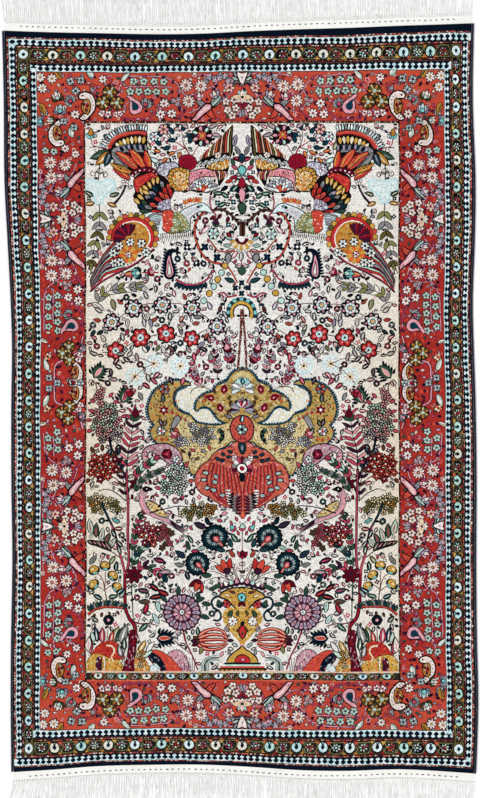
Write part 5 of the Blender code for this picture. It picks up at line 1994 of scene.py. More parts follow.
def serrated(size, dye, heart):
    # a leaf with a toothed dark edge and a light core
    shapes = []
    for side in (-1, 1):
        for k in range(5):
            shapes += move([(leafOutline(size * 0.42, size * 0.18), "midnight")],
                           (side * size * (0.24 - 0.028 * k), size * (0.08 + 0.17 * k)),
                           turn=-side * (68 - 8 * k))
    body = leafOutline(size, size * 0.66)
    shapes += [(grow(body, 0.7), "midnight"), (body, dye)]
    core = leafOutline(size * 0.72, size * 0.24) + (0.0, size * 0.1)
    return shapes + [(grow(core, 0.35), "ivory"), (core, heart)]


def blueRosette(radius):
    # a pale scalloped disc with two rings of spots round a dark eye
    shapes = [(scallop(radius + 0.2, 9, 0.08, 3), "sky"), (scallop(radius - 0.8, 9, 0.08, 3), "ice")]
    for k in range(9):
        shapes.append((oval(radius * 0.1, radius * 0.07, 5, polar(radius * 0.62, 40.0 * k), 40 * k),
                       "lilac" if k % 2 else "rose"))
    shapes.append((scallop(radius * 0.4, 8, 0.1, 2), "cream"))
    for k in range(6):
        shapes.append((oval(radius * 0.09, radius * 0.06, 5, polar(radius * 0.34, 60.0 * k + 20), 60 * k),
                       "rose"))
    return shapes + [(oval(radius * 0.17, radius * 0.17, 6), "ink")]


def drawMedallion(c):
    # gold scrolls edged with teeth round two open pockets, a coral vase, and a mauve scroll below
    for pocket in ([(192.5, 383.6), (184, 384.4), (178, 388), (174.4, 393), (173.4, 400), (176, 406),
                    (181, 410.6), (187, 413), (192, 415), (196.6, 412), (197, 404), (202, 396),
                    (208, 392.4), (214, 390.8), (211, 387), (204, 385.4)],
                   [(193, 414), (197, 408.6), (203, 405.4), (210, 406.4), (215, 411), (219, 417),
                    (228, 422.6), (219, 424.2), (206, 423.8), (198, 421.4)]):
        area(c, pocket, "pearl")
        mottle(c, pocket, ("ivory", "ivory", "ice", "cream"), 3.4, 3.4, 20, 61, 0.6, 90)
    c.line([(191, 392), (194, 388), (200, 385.8), (208, 387), (214, 390.6)], 0.9, "ink", 0.7)
    outline = [(243, 369.5), (236.2, 370.9), (231.3, 375.8), (228.4, 380.6), (221.6, 383.5), (216.8, 386.4),
               (214.3, 390.8), (208, 392.2),
               (202.2, 395.6), (198.3, 400), (196.9, 404.9), (196.9, 409.4), (200.3, 406.3), (205.1, 404.9),
               (210, 405.8), (213.9, 409.7),
               (217.3, 414.6), (221.6, 418.9), (228.6, 422.4), (221.6, 424.3), (212.9, 424.7),
               (205.1, 423.8), (199.3, 422.3), (194.5, 418.9),
               (191.6, 414.8), (185.7, 413.1), (179.9, 410.7), (175.1, 405.8), (173.1, 400), (174.1, 392.2),
               (178, 387.4), (183.8, 384.6),
               (191, 383.4), (186.7, 381.1), (177, 380.6), (169.2, 382.5), (162.5, 385.5), (156.6, 390.3),
               (152.8, 396.1), (150.3, 403.9),
               (150.3, 411.6), (152.8, 419.4), (156.6, 423.3), (153.7, 427.2), (152.3, 432), (154.7, 437.8),
               (160.5, 442.2), (167.3, 442.9),
               (174.1, 444.8), (180.9, 450.4), (183.8, 457.2), (185, 462.1), (188.6, 467.9), (195.4, 473.7),
               (200.3, 465), (207.1, 460.4),
               (211.9, 455.3), (218.7, 448.5), (227.4, 444.6), (232.3, 440.7), (243, 441.7)]
    for points, count, lean, tone in (
        ([(168, 444.2), (160, 443.4), (153.6, 438.4), (151, 432), (152.4, 427.4), (155.4, 423.6)], 11, -20,
         "teal"),
        ([(155.4, 423), (151.6, 419.6), (149, 412), (149.2, 404), (151.8, 395.6), (156, 389.6),
          (162, 384.6), (169, 381.4), (177, 379.6), (189, 381.4)], 30, -26, "teal"),
        ([(186, 385), (179, 388.6), (175.2, 393), (174.2, 400), (176.2, 405.4), (181, 410), (186.4, 412.4),
          (191.6, 413.8)], 19, 26, "teal"),
        ([(194.4, 418), (199.5, 421.6), (206, 423.2), (214, 424), (222, 423.6), (228, 422.4)], 12, 30,
         "teal"),
        ([(196, 409.6), (196, 403.6), (198, 399), (202, 394.8), (208, 391.4), (214, 390)], 12, -30, "teal"),
        ([(214.6, 389), (216.6, 385.2), (222, 382), (228.4, 379.6), (231, 374.8), (236.2, 370),
          (243, 368.4)], 17, -14, "teal"),
        ([(228, 422.2), (221.4, 419.2), (217, 415), (213.6, 410), (209.8, 406.4), (204.8, 405.6),
          (199, 407.6)], 15, -24, "teal"),
        ([(197, 475.8), (188.4, 469.4), (183.4, 462.6)], 6, 10, "navy"),
    ):
        comb(c, points, count, 4.0, 1.7, ("sky", "ice"), lean * 1.7, 0)
        comb(c, points, count, 3.0, 2.3, (tone,), lean * 1.7, 0)
    axisForm(c, outline, "mustard", 1.6, "teal")
    straw = [(186, 414.5), (194, 420), (200, 423.6), (214, 426), (230, 423.6), (234, 428), (231.6, 440),
             (220, 447), (212, 454), (206, 460),
             (199, 464.6), (195, 471), (190, 466), (186, 461), (184, 455), (181, 449), (176, 444),
             (171, 441), (170, 430), (176, 420)]
    area(c, straw, "straw")
    mottle(c, [(x, y) for x, y in outline[30:52]] + [(172, 436), (172, 420), (180, 413)], ("ochre", "straw",
            "orange", "brown", "grey", "olive", "ink"), 3.0, 3.0, 40, 62, 0.4, 90)
    mottle(c, outline[:19] + [(243, 424)], ("ochre", "straw", "brown", "cream", "olive", "grey", "brown"),
           2.8, 3.0, 30, 63, 0.4, 90)
    mottle(c, straw, ("cream", "ochre", "olive", "pearl", "grey", "moss", "brown", "ink"), 2.9, 3.0, 50, 64,
           0.38, 90)
    area(c, [(243, 371), (237, 372.6), (233, 377), (236, 380.6), (243, 380)], "straw")
    # flowers of the left scroll, from its top down
    c.pair(bloom(4.6, 6, ("coral", "grey"), "ink", "navy", 0.9, 0.3), 165, 388.6)
    c.pair(looseLeaf(8, "green", "grey", 0.2), 164, 401.6, 4)
    c.pair([(curl(2.6, 1.2, 0.9, 40), "brown")], 159, 404)
    c.pair(edged(np.vstack([polar(5.4 if k % 2 == 0 else 2.2, 30.0 * k + 90) for k in range(12)]), "maroon",
                 0.4, "crimson"), 164.8, 409.2)
    c.pair([(oval(1.5, 1.5, 7), "white")], 164.8, 409.2)
    for x, y, tone in ((173.4, 411.6, "red"), (178, 413.6, "orange"), (181.6, 417, "coral"),
                       (157, 438, "orange"), (163, 438.8, "coral"), (167.6, 438, "orange"),
                       (186, 418.4, "coral")):
        c.pair([(scallop(1.9, 4, 0.2, 2), "brown"), (scallop(1.3, 4, 0.2, 2), tone)], x, y)
    c.pair(looseLeaf(7.5, "plum", "lilac", 0.8), 163.8, 424.6, 30)
    c.pair(looseLeaf(6, "olive", "grey", -0.6), 164.6, 424.6, -34)
    c.pair(bloom(4.2, 6, ("white", "grey"), "plum", "red", 0.9, 0.3), 162.6, 430.2)
    # the grey-green bird shape, tulip and pale flowers in the straw part
    area(c, [(172.6, 424.4), (175, 418.6), (178.6, 414.6), (181, 418.4), (178.4, 422.6), (174.8, 427.4)],
         "grey", 0.9)
    c.pair(looseLeaf(6, "green", "mint", 0.4), 175, 432, 40)
    c.pair(tulip(8.4, ("rose", "coral", "pink")), 179.6, 434.4, 62)
    cluster(c, 182.6, 440.6, 7.6, 4.2, 13, 2.1, ("white", "lilac", "ice"), "plum", 22)
    cluster(c, 203.6, 434.6, 12.6, 9.2, 27, 2.1, ("white", "white", "lilac", "grey", "ice"), "ink", 21)
    cluster(c, 193, 426, 3, 3, 6, 2.1, ("lilac", "white"), "ink", 24)
    comb(c, [(221, 443), (225, 438), (225.4, 432), (221.4, 427.4)], 6, 5.6, 2.4, ("midnight", "green"), -24,
         0.3)
    c.line([(219, 443), (224, 438), (224.6, 432), (220.6, 427)], 1.6, "ink", 1.0)
    for x, y, tilt, tone in ((186, 452, 60, "brown"), (191, 456, 20, "plum"), (206, 451, 70, "grey"),
                             (200, 456, 130, "olive"), (211, 449, 40, "coral"), (196, 449, 100, "rose")):
        c.pair(leaf(5.4, 2.2, tone, 0.8, None, 0.3), x, y, tilt)
    c.pair([(curl(3.0, 1.0, 1.0, 10), "brown")], 197, 459)
    # bells and palmettes of the top scroll
    for x, y, size, tilt in ((224.6, 392.4, 8.4, -8), (215, 398.4, 8.0, 62), (222.6, 410.6, 8.4, 20)):
        c.pair(edged(leafOutline(size, size * 0.62), "maroon", 0.45, "crimson") + [(leafOutline(size * 0.6,
                size * 0.22) + (0, size * 0.14), "rose"), (oval(0.9, 0.9, 6, (0, size * 0.42)), "peach")],
                x, y, tilt)
    c.pair(looseLeaf(7.5, "grey", "plum", -0.6), 233, 417.6, 62)
    for x, y, tilt, tone in ((203.6, 401.6, -30, "orange"), (206.6, 398, 20, "coral"), (217, 391.4, 60,
            "brown"), (229, 399, -20, "olive"), (231.4, 404.6, 10, "brown"), (218.6, 404, 100, "ochre"),
            (228, 412, -50, "brown")):
        c.pair(leaf(5, 2.0, tone, 0.8, None, 0.3), x, y, tilt)
    c.put(plume(11, -26, 206, 2.6, 11.4, ("white", "grey", "ice", "lilac"), 0.8, 0.1, "ink", 0.6), 243,
          388.6)
    c.put(plume(7, 20, 160, 1.0, 8.4, ("mint", "aqua", "ice"), 0.8, 0.1, "ink", 0.5), 243, 384.6)
    c.put(leaf(5.4, 3.2, "teal", 0.0, "aqua"), 243, 383)
    c.put(plume(13, -24, 204, 2.6, 11.8, ("grey", "lilac", "plum"), 0.8, 0.1, "ink", 0.6), 243, 409.6)
    c.put(plume(5, 40, 140, 1.0, 8.2, ("rose", "ice", "crimson"), 0.7, 0.1, "ink", 0.5), 243, 408)
    # the mauve scroll and its curl
    scroll = [(158, 443.6), (166, 443.2), (174, 445.8), (180.6, 452), (182.6, 458.6), (179, 463.6),
              (173, 464.4), (167, 460.6), (160.4, 455.6),
              (154, 450.6), (149.6, 451), (148.6, 457), (152.4, 459.4), (155, 456.6), (157.4, 460),
              (152.4, 464.6), (145, 461), (143.6, 452), (149, 445.6)]
    area(c, scroll, "mauve", 1.2, "midnight")
    mottle(c, scroll, ("lilac", "pearl", "rose", "plum", "grey"), 2.6, 2.8, 60, 65, 0.45, 60)
    c.pair(bloom(4.8, 6, ("maroon", "crimson"), "rose", "rose", 0.9, 0.3), 168.3, 453.2)
    c.pair(bloom(3.4, 5, ("white", "ice"), "ink", "plum", 0.9, 0.3), 177.4, 458.4)
    comb(c, [(142.4, 450), (143.4, 458), (147, 463.6), (153, 466)], 7, 2.6, 1.6, ("midnight",), 190, 0)
    # the vase
    body = [(243, 440), (235.4, 442.4), (227.4, 447.5), (218.7, 450.4), (212.9, 454.6), (210.4, 459.6),
            (204.2, 463), (199.3, 468.9), (196.9, 476.6), (197.4, 484.4),
            (202.2, 491.2), (211, 496), (218.7, 500.9), (225.5, 504.8), (232.3, 506.8), (238.1, 511.5),
            (243, 517)]
    axisForm(c, body, "salmon", 1.0, "plum")
    mottle(c, body + [(243, 440)], ("coral", "ember", "plum", "coral", "maroon", "pink", "brick"), 3.0, 3.2,
           -50, 66, 0.36, 20)
    for k in range(9):
        start = (211 + k * 3.1, 461.4 + k * 0.9)
        path = [start, (207.6 + k * 4.1, 474 + k * 1.6), (209 + k * 4.0, 487 + k * 2.2),
                (219 + k * 2.6, 499 + k * 1.5)]
        c.line(path, 1.3, "red", 0.9)
        c.line([(x + 1.0, y + 0.4) for x, y in path], 0.9, "plum", 0.6)
    c.line([(211, 459.6), (221, 457.6), (231, 461), (238, 468), (243, 476)], 1.2, "maroon", 0.8)
    c.line([(199, 482), (207, 476), (214, 467), (212, 460)], 1.0, "maroon", 0.6)
    for x, y, tilt in ((206.6, 471.8, 84), (216.8, 475.7, 48), (205.1, 478.6, 96), (215.8, 481, 60),
                       (208, 486.3, 100), (214.3, 488.6, 80), (223, 494, 96)):
        c.pair(move(edged(leafOutline(5.2, 2.8), "mint", 0.5, "plum") + [(leafOutline(3.0, 1.0) + (0, 1),
                "grey")], (0, -2.4)), x, y, tilt)
    for x, y, tilt in ((223.6, 454, 84), (230.4, 451.4, 70), (217.7, 458.2, 40), (229.4, 456.3, 100),
                       (222.6, 460.1, 96)):
        c.pair(move(leaf(5, 2.2, "teal", 0.4, None, 0.35), (0, -2.4)), x, y, tilt)
    c.pair(bloom(3.0, 5, ("white",), "rose", "rose", 0.9, 0.3), 235.4, 457.7)
    c.put(drop(7, 3.2, 1, -6, "teal", 0.6) + [(oval(1.1, 2.6, 7), "grey")], 243, 447)
    c.put(plume(9, -30, 210, 2.4, 10.6, ("maroon", "rose", "ivory", "grey"), 0.8, 0.1, "plum", 0.6), 243,
          466.5)
    c.put(edged(oval(4.8, 4.4, 12), "white", 0.6, "ink") + [(oval(2.6, 2.4, 9), "crimson")], 243, 467.6)
    c.put(drop(3, 2.6, 0, -5, "navy", 0.4), 243, 475.6)
    for k in range(6):
        comb(c, [(243, 513.4 - k * 3.6), (236.4 - 0.6 * k, 508 - k * 3.4), (232.4 - 0.3 * k,
                502.6 - k * 3)], 4, 6.4, 1.7, ("plum", "grey", "ink", "white"), -54 + 5 * k, 0.4)
    neck = edged(smooth([(0, 13), (7.5, 9.5), (11, 1), (9, -8), (3, -12.5), (-3, -12.5), (-9, -8), (-11, 1),
                         (-7.5, 9.5)], True, 3), "coral", 0.6, "plum")
    c.put(neck, 243, 428.5)
    mottle(c, [(243, 417), (236, 420), (233.4, 427), (235, 435), (243, 439.6)], ("salmon", "red", "crimson",
            "salmon", "plum"), 2.8, 3.0, 60, 67, 0.4, 60)
    c.put(bloom(5.0, 6, ("mint", "grey"), "ink", "navy", 0.9, 0.36), 243, 429)
    c.put(leaf(7, 3.4, "teal", 0.3, "ice"), 243, 422)


def drawCords(c):
    # the lamp's two netted cords, drawing apart towards the medallion
    c.line([(242.4, 309), (241.6, 325), (240.2, 345), (238.8, 368)], 2.5, "brown", 2.5)
    for k in range(24):
        share = k / 24
        x, y = 242.4 - 3.6 * share ** 1.4, 310 + 58 * share
        c.pair([(oval(0.62, 0.62, 5), ("pink", "ink", "rose", "ivory")[k % 4])], x - 0.5 + (k % 2), y)


def drawUpperMiddle(c):
    # what stands between the rosettes and the medallion
    for x, y, long, tilt, tones in (
        (218.5, 376, 24, 8, ("plum", "pink", "lilac")), (233, 366, 24, 20, ("maroon", "pink", "lilac")),
        (204, 386, 20, 40, ("crimson", "pink", "rose")), (228, 364, 22, 2, ("rose", "lilac", "brown")),
    ):
        a = math.radians(90 + tilt)
        path = [(x, y), (x + long * 0.5 * math.cos(a) + 1.5, y - long * 0.5 * math.sin(a)),
                (x + long * math.cos(a), y - long * math.sin(a))]
        headedSpray(c, path, 6.2, tones, 4.4, 0.7, "maroon", 46)
    c.pair(bud(8, "grey", "rose"), 214, 362, 20)
    c.pair(bud(8, "pink", "maroon"), 228, 352, 8)
    for x, y, r in ((136, 376, 8.6), (155, 363.5, 8.4), (181.5, 365.5, 8.8)):
        c.pair(blueRosette(r), x, y)
    c.line([(117, 350), (128, 358), (142, 358), (155, 363.5)], 0.7, "brown")
    c.line([(155, 363.5), (146, 368), (136, 376), (130, 384)], 0.7, "brown")
    c.pair(serrated(16, "green", "pink"), 95, 377, -42)
    c.pair(serrated(16, "green", "rose"), 124, 402, -18)
    c.pair(tulip(8, ("crimson", "rose", "crimson")), 129, 389, 200)
    for k, (x, y, tilt, tone) in enumerate((
        (99, 354, 80, "grey"), (112, 368, 190, "plum"), (119, 379, 90, "grey"), (123, 368, 60, "plum"),
        (140, 392, 210, "grey"),
        (144, 383, 240, "crimson"), (148, 374, 200, "grey"), (152, 378, 230, "rose"),
        (139, 360, 20, "grey"), (131, 361, 60, "plum"),
        (166, 353, 30, "ivory"), (172, 355, -20, "plum"), (163, 374, 120, "grey"), (170, 377, 210, "plum"),
        (192, 352, 40, "grey"),
        (148, 352, 40, "ivory"), (175, 351, 50, "brown"), (196, 360, 10, "rose"), (202, 355, -40, "pink"),
        (208, 350, 70, "plum"),
        (211, 343, 20, "brown"), (120, 357, 150, "maroon"), (126, 352, 110, "grey"),
        (185, 377, 160, "rose"), (160, 372, 140, "rose"),
    )):
        c.pair(looseLeaf(8.0, tone, ("white", "grey", "pink")[k % 3], 0.8), x, y, tilt)
    headedSpray(c, [(203, 387), (198, 378), (194, 364)], 6.4, ("pink", "rose", "lilac"), 4.2, 0.7,
                "crimson", 40)


def drawTrees(c):
    # two trees at each side, with their heads of small flowers
    c.line([(98, 392), (97, 384), (93, 379), (89.5, 382), (91.5, 385)], 1.4, "brown", 0.8)
    c.line([(112, 450), (108, 430), (102, 405), (98, 390)], 1.2, "teal", 0.8)
    cluster(c, 108, 421, 14.5, 19, 44, 2.9, ("white", "grey", "pink", "mint"), "plum", 31)
    cluster(c, 101, 396, 4.5, 9, 9, 2.6, ("white", "pink"), "plum", 32)
    cluster(c, 118, 434, 6, 7, 9, 2.7, ("pink", "lilac", "white"), "plum", 33)
    for x, y, tilt in ((96, 402, 60), (95, 411, 80), (93, 420, 90), (93, 430, 100), (123, 416, -70),
                       (110, 397, -40), (115, 403, -50), (100, 443, 130)):
        c.pair(leaf(6, 2.6, "rose", 0.4, None, 0.35), x, y, tilt)
    c.line([(110, 436), (113, 448), (120, 462), (128, 480), (129, 500)], 2.6, "navy", 1.8)
    c.line([(112, 446), (119, 461), (127, 480), (129, 500)], 1.2, "plum", 0.9)
    for k in range(4):
        c.pair(looseLeaf(9, "teal", "lilac", 0.6), 112 + k * 3.6, 448 + k * 6, -30 if k % 2 else 150)
    # feathered branch beside the medallion
    headedSpray(c, [(128, 470), (129, 450), (133, 434), (136, 412)], 14.5, ("rose", "pink", "plum", "rose"),
                6.4, 1.3, "midnight", 54, 0.6, 0.2)
    c.pair(bud(11, "maroon", "green"), 136, 420, -8)
    headedSpray(c, [(127, 500), (125, 482), (121, 466), (118, 452)], 9, ("plum", "teal"), 7, 1.0, "plum",
                40, 0.7, 0.24)
    c.line([(128, 468), (128, 485), (129, 500), (129.5, 530), (130, 560), (126.5, 574)], 2.6, "ink", 3.0)
    c.line([(128, 470), (128, 485), (129, 500), (129.5, 530), (130, 560), (126.5, 574)], 1.0, "rose", 1.4)
    cluster(c, 104, 466, 15.5, 13, 26, 3.1, ("red", "crimson", "coral"), "white", 34)
    c.line([(126, 486), (118, 478), (112, 474)], 1.3, "brown", 0.9)
    for x, y, tilt in ((95, 452, 30), (103, 450, 0), (112, 456, -40), (92, 478, 120), (118, 470, -80)):
        c.pair(leaf(6.5, 2.8, "brown", 0.4, None, 0.35), x, y, tilt)
    cluster(c, 99, 502, 9, 10, 18, 2.7, ("moss", "cream", "ochre"), "olive", 35)
    cluster(c, 114, 505, 7.5, 6.5, 12, 2.7, ("cream", "moss", "ivory"), "olive", 36)
    c.line([(127, 500), (118, 492), (108, 488), (100, 490)], 1.2, "ink", 0.8)
    c.line([(103, 502), (109, 516), (116, 530), (120, 548), (125, 566), (126, 576)], 2.6, "ink", 2.8)
    c.line([(103, 502), (109, 516), (116, 530)], 1.2, "teal", 1.2)
    c.line([(113, 524), (119, 545), (125, 566), (126, 576)], 1.4, "rose", 1.8)
    # the trunk down to the mounds
    c.stem([(126, 572), (126, 590), (126.5, 606), (130, 617), (136, 626), (135, 642)], (3.6, "ink", 4.2),
           (1.6, "crimson", 2.2))
    c.line([(133, 579), (133.5, 600), (134, 616)], 1.6, "green", 1.2)
    c.line([(132, 619), (140, 622), (150, 622), (160, 625)], 1.6, "maroon", 0.9)
    c.line([(137, 626), (139, 635), (144, 646)], 1.2, "brown", 0.8)
    c.pair(starFlower(8.6, 7, "maroon", "plum"), 135.5, 573)
    # feather leaves on the left
    for k in range(5):
        c.pair(looseLeaf(15 - k, "green" if k % 2 else "mint", "rose", 2.0), 93 + k * 4.6, 533 + k * 3.4,
               16 - 10 * k)
    for k in range(5):
        c.pair(looseLeaf(10, "green" if k % 2 == 0 else "plum", "pink", 1.0), 98 + k * 3.6, 543 + k * 1.5,
               78 - 10 * k)
    c.line([(121, 556), (112, 550), (100, 546), (92, 540)], 1.1, "ink", 0.7)
    for x, y, way in ((96, 551, 1), (101, 556, -1), (123, 513, 1)):
        c.pair(ringCurl(2.6, "plum", way), x, y, 0)
    c.pair(looseLeaf(10, "grey", "green", 1.0), 91, 563, -30)
    for x, y, tilt, tone in ((124, 527, 100, "crimson"), (121, 521, 70, "aqua"), (117, 536, 30, "teal"),
                             (138, 514, -70, "green"),
                             (140, 520, -60, "rose"), (124, 545, 50, "teal"), (122, 552, 20, "green"),
                             (137, 533, -40, "green")):
        c.pair(looseLeaf(8, tone, "white" if tone != "aqua" else "teal", 0.6), x, y, tilt)
    # the fruit shrub
    c.line([(108, 602), (106, 588), (103, 577), (97, 571)], 1.2, "brown", 0.8)
    c.line([(106, 588), (106, 578), (106, 570)], 1.0, "brown", 0.8)
    c.line([(106.5, 588), (112, 584), (117, 586)], 1.0, "brown", 0.8)
    c.line([(106.5, 590), (101, 586), (96, 584)], 1.0, "brown", 0.8)
    for x, y, turn in ((94.5, 568.5, 20), (106, 564, 0), (114, 573.5, -30), (94.5, 582.5, 50),
                       (118.5, 585, -50)):
        fruit = [(smooth([(-5, -3.6), (0, -5.2), (5, -3.6), (5.6, 1.4), (0, 4.8), (-5.6, 1.4)], True, 2),
                  "midnight")]
        fruit += [(smooth([(-3.8, -1.6), (0, -2.2), (3.8, -1.6), (4.0, 1.6), (0, 4.0), (-4.0, 1.6)], True,
                          2), "gold")]
        fruit += [(oval(1.6, 1.0, 6, (-1.0, 0.8)), "cream"), (oval(2.8, 1.0, 7, (0, -3.4)), "aqua"),
                  (oval(0.8, 0.8, 5, (1.2, 1.0)), "brown")]
        c.pair(fruit, x, y, turn)
    for x, y, tilt, tone in ((111, 562, -30, "moss"), (117, 569, 0, "navy"), (103, 597, 70, "teal"),
                             (110, 596, -70, "green"),
                             (121, 596, -30, "grey"), (90, 590, 30, "teal"), (118, 592, -50, "teal")):
        c.pair(looseLeaf(9, tone, "mint", 1.0), x, y, tilt)
    # the low feathered branch
    c.pair(ringCurl(3.4, "green", -1), 96, 598, 0)
    for k in range(14):
        c.pair(leaf(7.2, 2.2, ("green", "teal", "grey")[k % 3], 0.8, None, 0.35), 92 + k * 2.4,
               610 - 5.5 * math.sin(k / 13 * 2.6), 30 - 6 * k)
    c.line([(89, 613), (97, 607.5), (108, 605.5), (124, 606)], 3.0, "maroon", 2.0)
    c.line([(89, 612.6), (97, 607.2), (108, 605.2), (124, 605.7)], 1.5, "coral", 1.0)
    for k in range(8):
        c.pair([(oval(0.5, 1.1, 5), "ink")], 93 + k * 4, 609 - 3.4 * math.sin(k / 7 * 2.4), -30)
    for x, y, tilt in ((96, 612, 160), (103, 611, 175), (110, 610, 190), (118, 609, 205)):
        c.pair(leaf(4.4, 1.8, "brown", 0.4, None, 0.3), x, y, tilt)
    c.line([(108.5, 640), (109, 630), (109.5, 622)], 0.9, "maroon", 0.7)
    c.pair(rosette(5.2, 6, "midnight", "pink", "navy", 0.3), 109.5, 618.5)
    for x, y, tilt, long, tone in ((99, 620, 60, 8, "green"), (99, 640, 14, 14, "teal"), (104, 641, 8, 15,
            "rose"), (96, 640, 26, 10, "mint"),
                                   (114, 641, -14, 17, "moss"), (118, 640, -24, 18, "green"),
                                   (92, 652, 8, 17, "rose"), (90, 650, 2, 14, "ivory"),
                                   (112, 641, -4, 11, "coral"), (122, 642, -12, 20, "grey")):
        c.pair(looseLeaf(long, tone, "ivory" if tone != "ivory" else "pink", 1.6), x, y, tilt)
    # what grows to the right of the trunk
    headedSpray(c, [(133, 566), (138, 553), (146, 545), (158, 536)], 7.0, ("green", "mint", "teal"), 4.2,
                0.8, "midnight", 34)
    headedSpray(c, [(136, 570), (144, 564), (152, 566), (160, 572)], 8.6, ("rose", "plum", "green"), 5.4,
                0.8, "maroon", 34)
    headedSpray(c, [(133, 552), (136, 538), (138, 522), (144, 512)], 6.5, ("green", "rose"), 5.0, 0.8,
                "midnight", 34)
    cluster(c, 150, 532, 11, 12, 17, 3.0, ("crimson", "rose", "coral"), "white", 37)
    cluster(c, 166, 536, 7, 13, 14, 2.7, ("rose", "brown", "crimson"), "green", 38)
    for x, y, tilt, tones in ((150, 590, 84, ("teal", "rose")), (151, 600, 96, ("green", "crimson")),
                              (160, 589, 60, ("navy", "coral")),
                              (152, 613, 70, ("grey", "white")), (160, 622, 40, ("sky", "grey")),
                              (146, 612, -10, ("crimson", "rose")),
                              (158, 600, 200, ("mint", "grey")), (168, 581, 30, ("teal", "navy")),
                              (148, 622, 140, ("green", "mint")),
                              (165, 560, 80, ("plum", "rose")), (171, 570, 100, ("grey", "pink"))):
        c.pair(looseLeaf(11, *tones, 1.4), x, y, tilt)
    c.line([(134, 630), (146, 606), (154, 594)], 1.0, "brown", 0.6)
    # the pink bird over the cluster: a long bent neck and back, a flecked wing and a lined tail
    back = [(146, 488.6), (143.2, 493.4), (142.6, 499), (144.6, 505.4), (150.4, 511.4), (159, 515.8),
            (168.4, 519.6), (177, 525), (184.6, 530)]
    c.stem(back, (8.0, "ink", 4.2), (6.8, "mauve", 3.0))
    c.line([(x - 0.8, y + 0.6) for x, y in back[1:7]], 2.6, "pink", 1.2)
    for k in range(-2, 3):
        c.line([(171, 520.6 + k * 0.7), (178, 525.2 + k * 1.0), (185.4, 530 + k * 1.5)], 0.8,
               "plum" if k % 2 else "ink", 0.7)
    wing = [(148.4, 499.8), (155, 502.4), (162, 508), (169.4, 516), (161, 514.6), (152.6, 510),
            (148.2, 505)]
    area(c, wing, "straw", 0.9)
    mottle(c, wing, ("red", "gold", "grey", "green", "maroon", "cream"), 2.4, 3.0, -50, 95, 0.5, 20)
    c.line([(148.4, 499.4), (156, 502.6), (163, 508.4), (170, 516.4)], 1.3, "brown", 0.8)
    area(c, [(143.6, 487.4), (147, 485.6), (151.4, 487.2), (154, 488.8), (149.6, 490.2), (146, 491)], "ink",
         0.3)
    c.pair([(oval(0.8, 0.7, 5), "white")], 147.6, 488.2)
    c.pair(starFlower(7.0, 6, "maroon", "plum"), 137, 483)
    headedSpray(c, [(133, 478), (140, 470), (148, 464), (156, 458)], 7.6, ("rose", "green", "mint"), 4.2,
                0.8, "maroon", 30)
    headedSpray(c, [(134, 492), (142, 480), (152, 474), (162, 470)], 7.0, ("green", "grey"), 4.4, 0.8,
                "midnight", 30)
    c.line([(150, 512), (165, 508), (180, 505), (196, 506)], 1.4, "ink", 0.9)
    for x, y, rx, ry, n, seed in ((178, 472, 11, 8, 14, 41), (176, 485, 14, 9, 20, 42), (205, 508, 12, 7.5,
            18, 43), (190, 512, 8, 6, 9, 44)):
        tones = ("grey", "mint", "ivory") if y < 500 else ("moss", "cream", "ochre")
        cluster(c, x, y, rx, ry, n, 2.6, tones, "ink", seed)
    for x, y, tilt, tone in ((186, 466, -30, "rose"), (190, 480, -80, "coral"), (168, 478, 60, "rose"),
                             (222, 513, -70, "pink"), (218, 518, -110, "rose"),
                             (162, 488, 80, "rose"), (184, 494, 170, "rose")):
        c.pair(leaf(6, 2.6, tone, 0.5, None, 0.35), x, y, tilt)


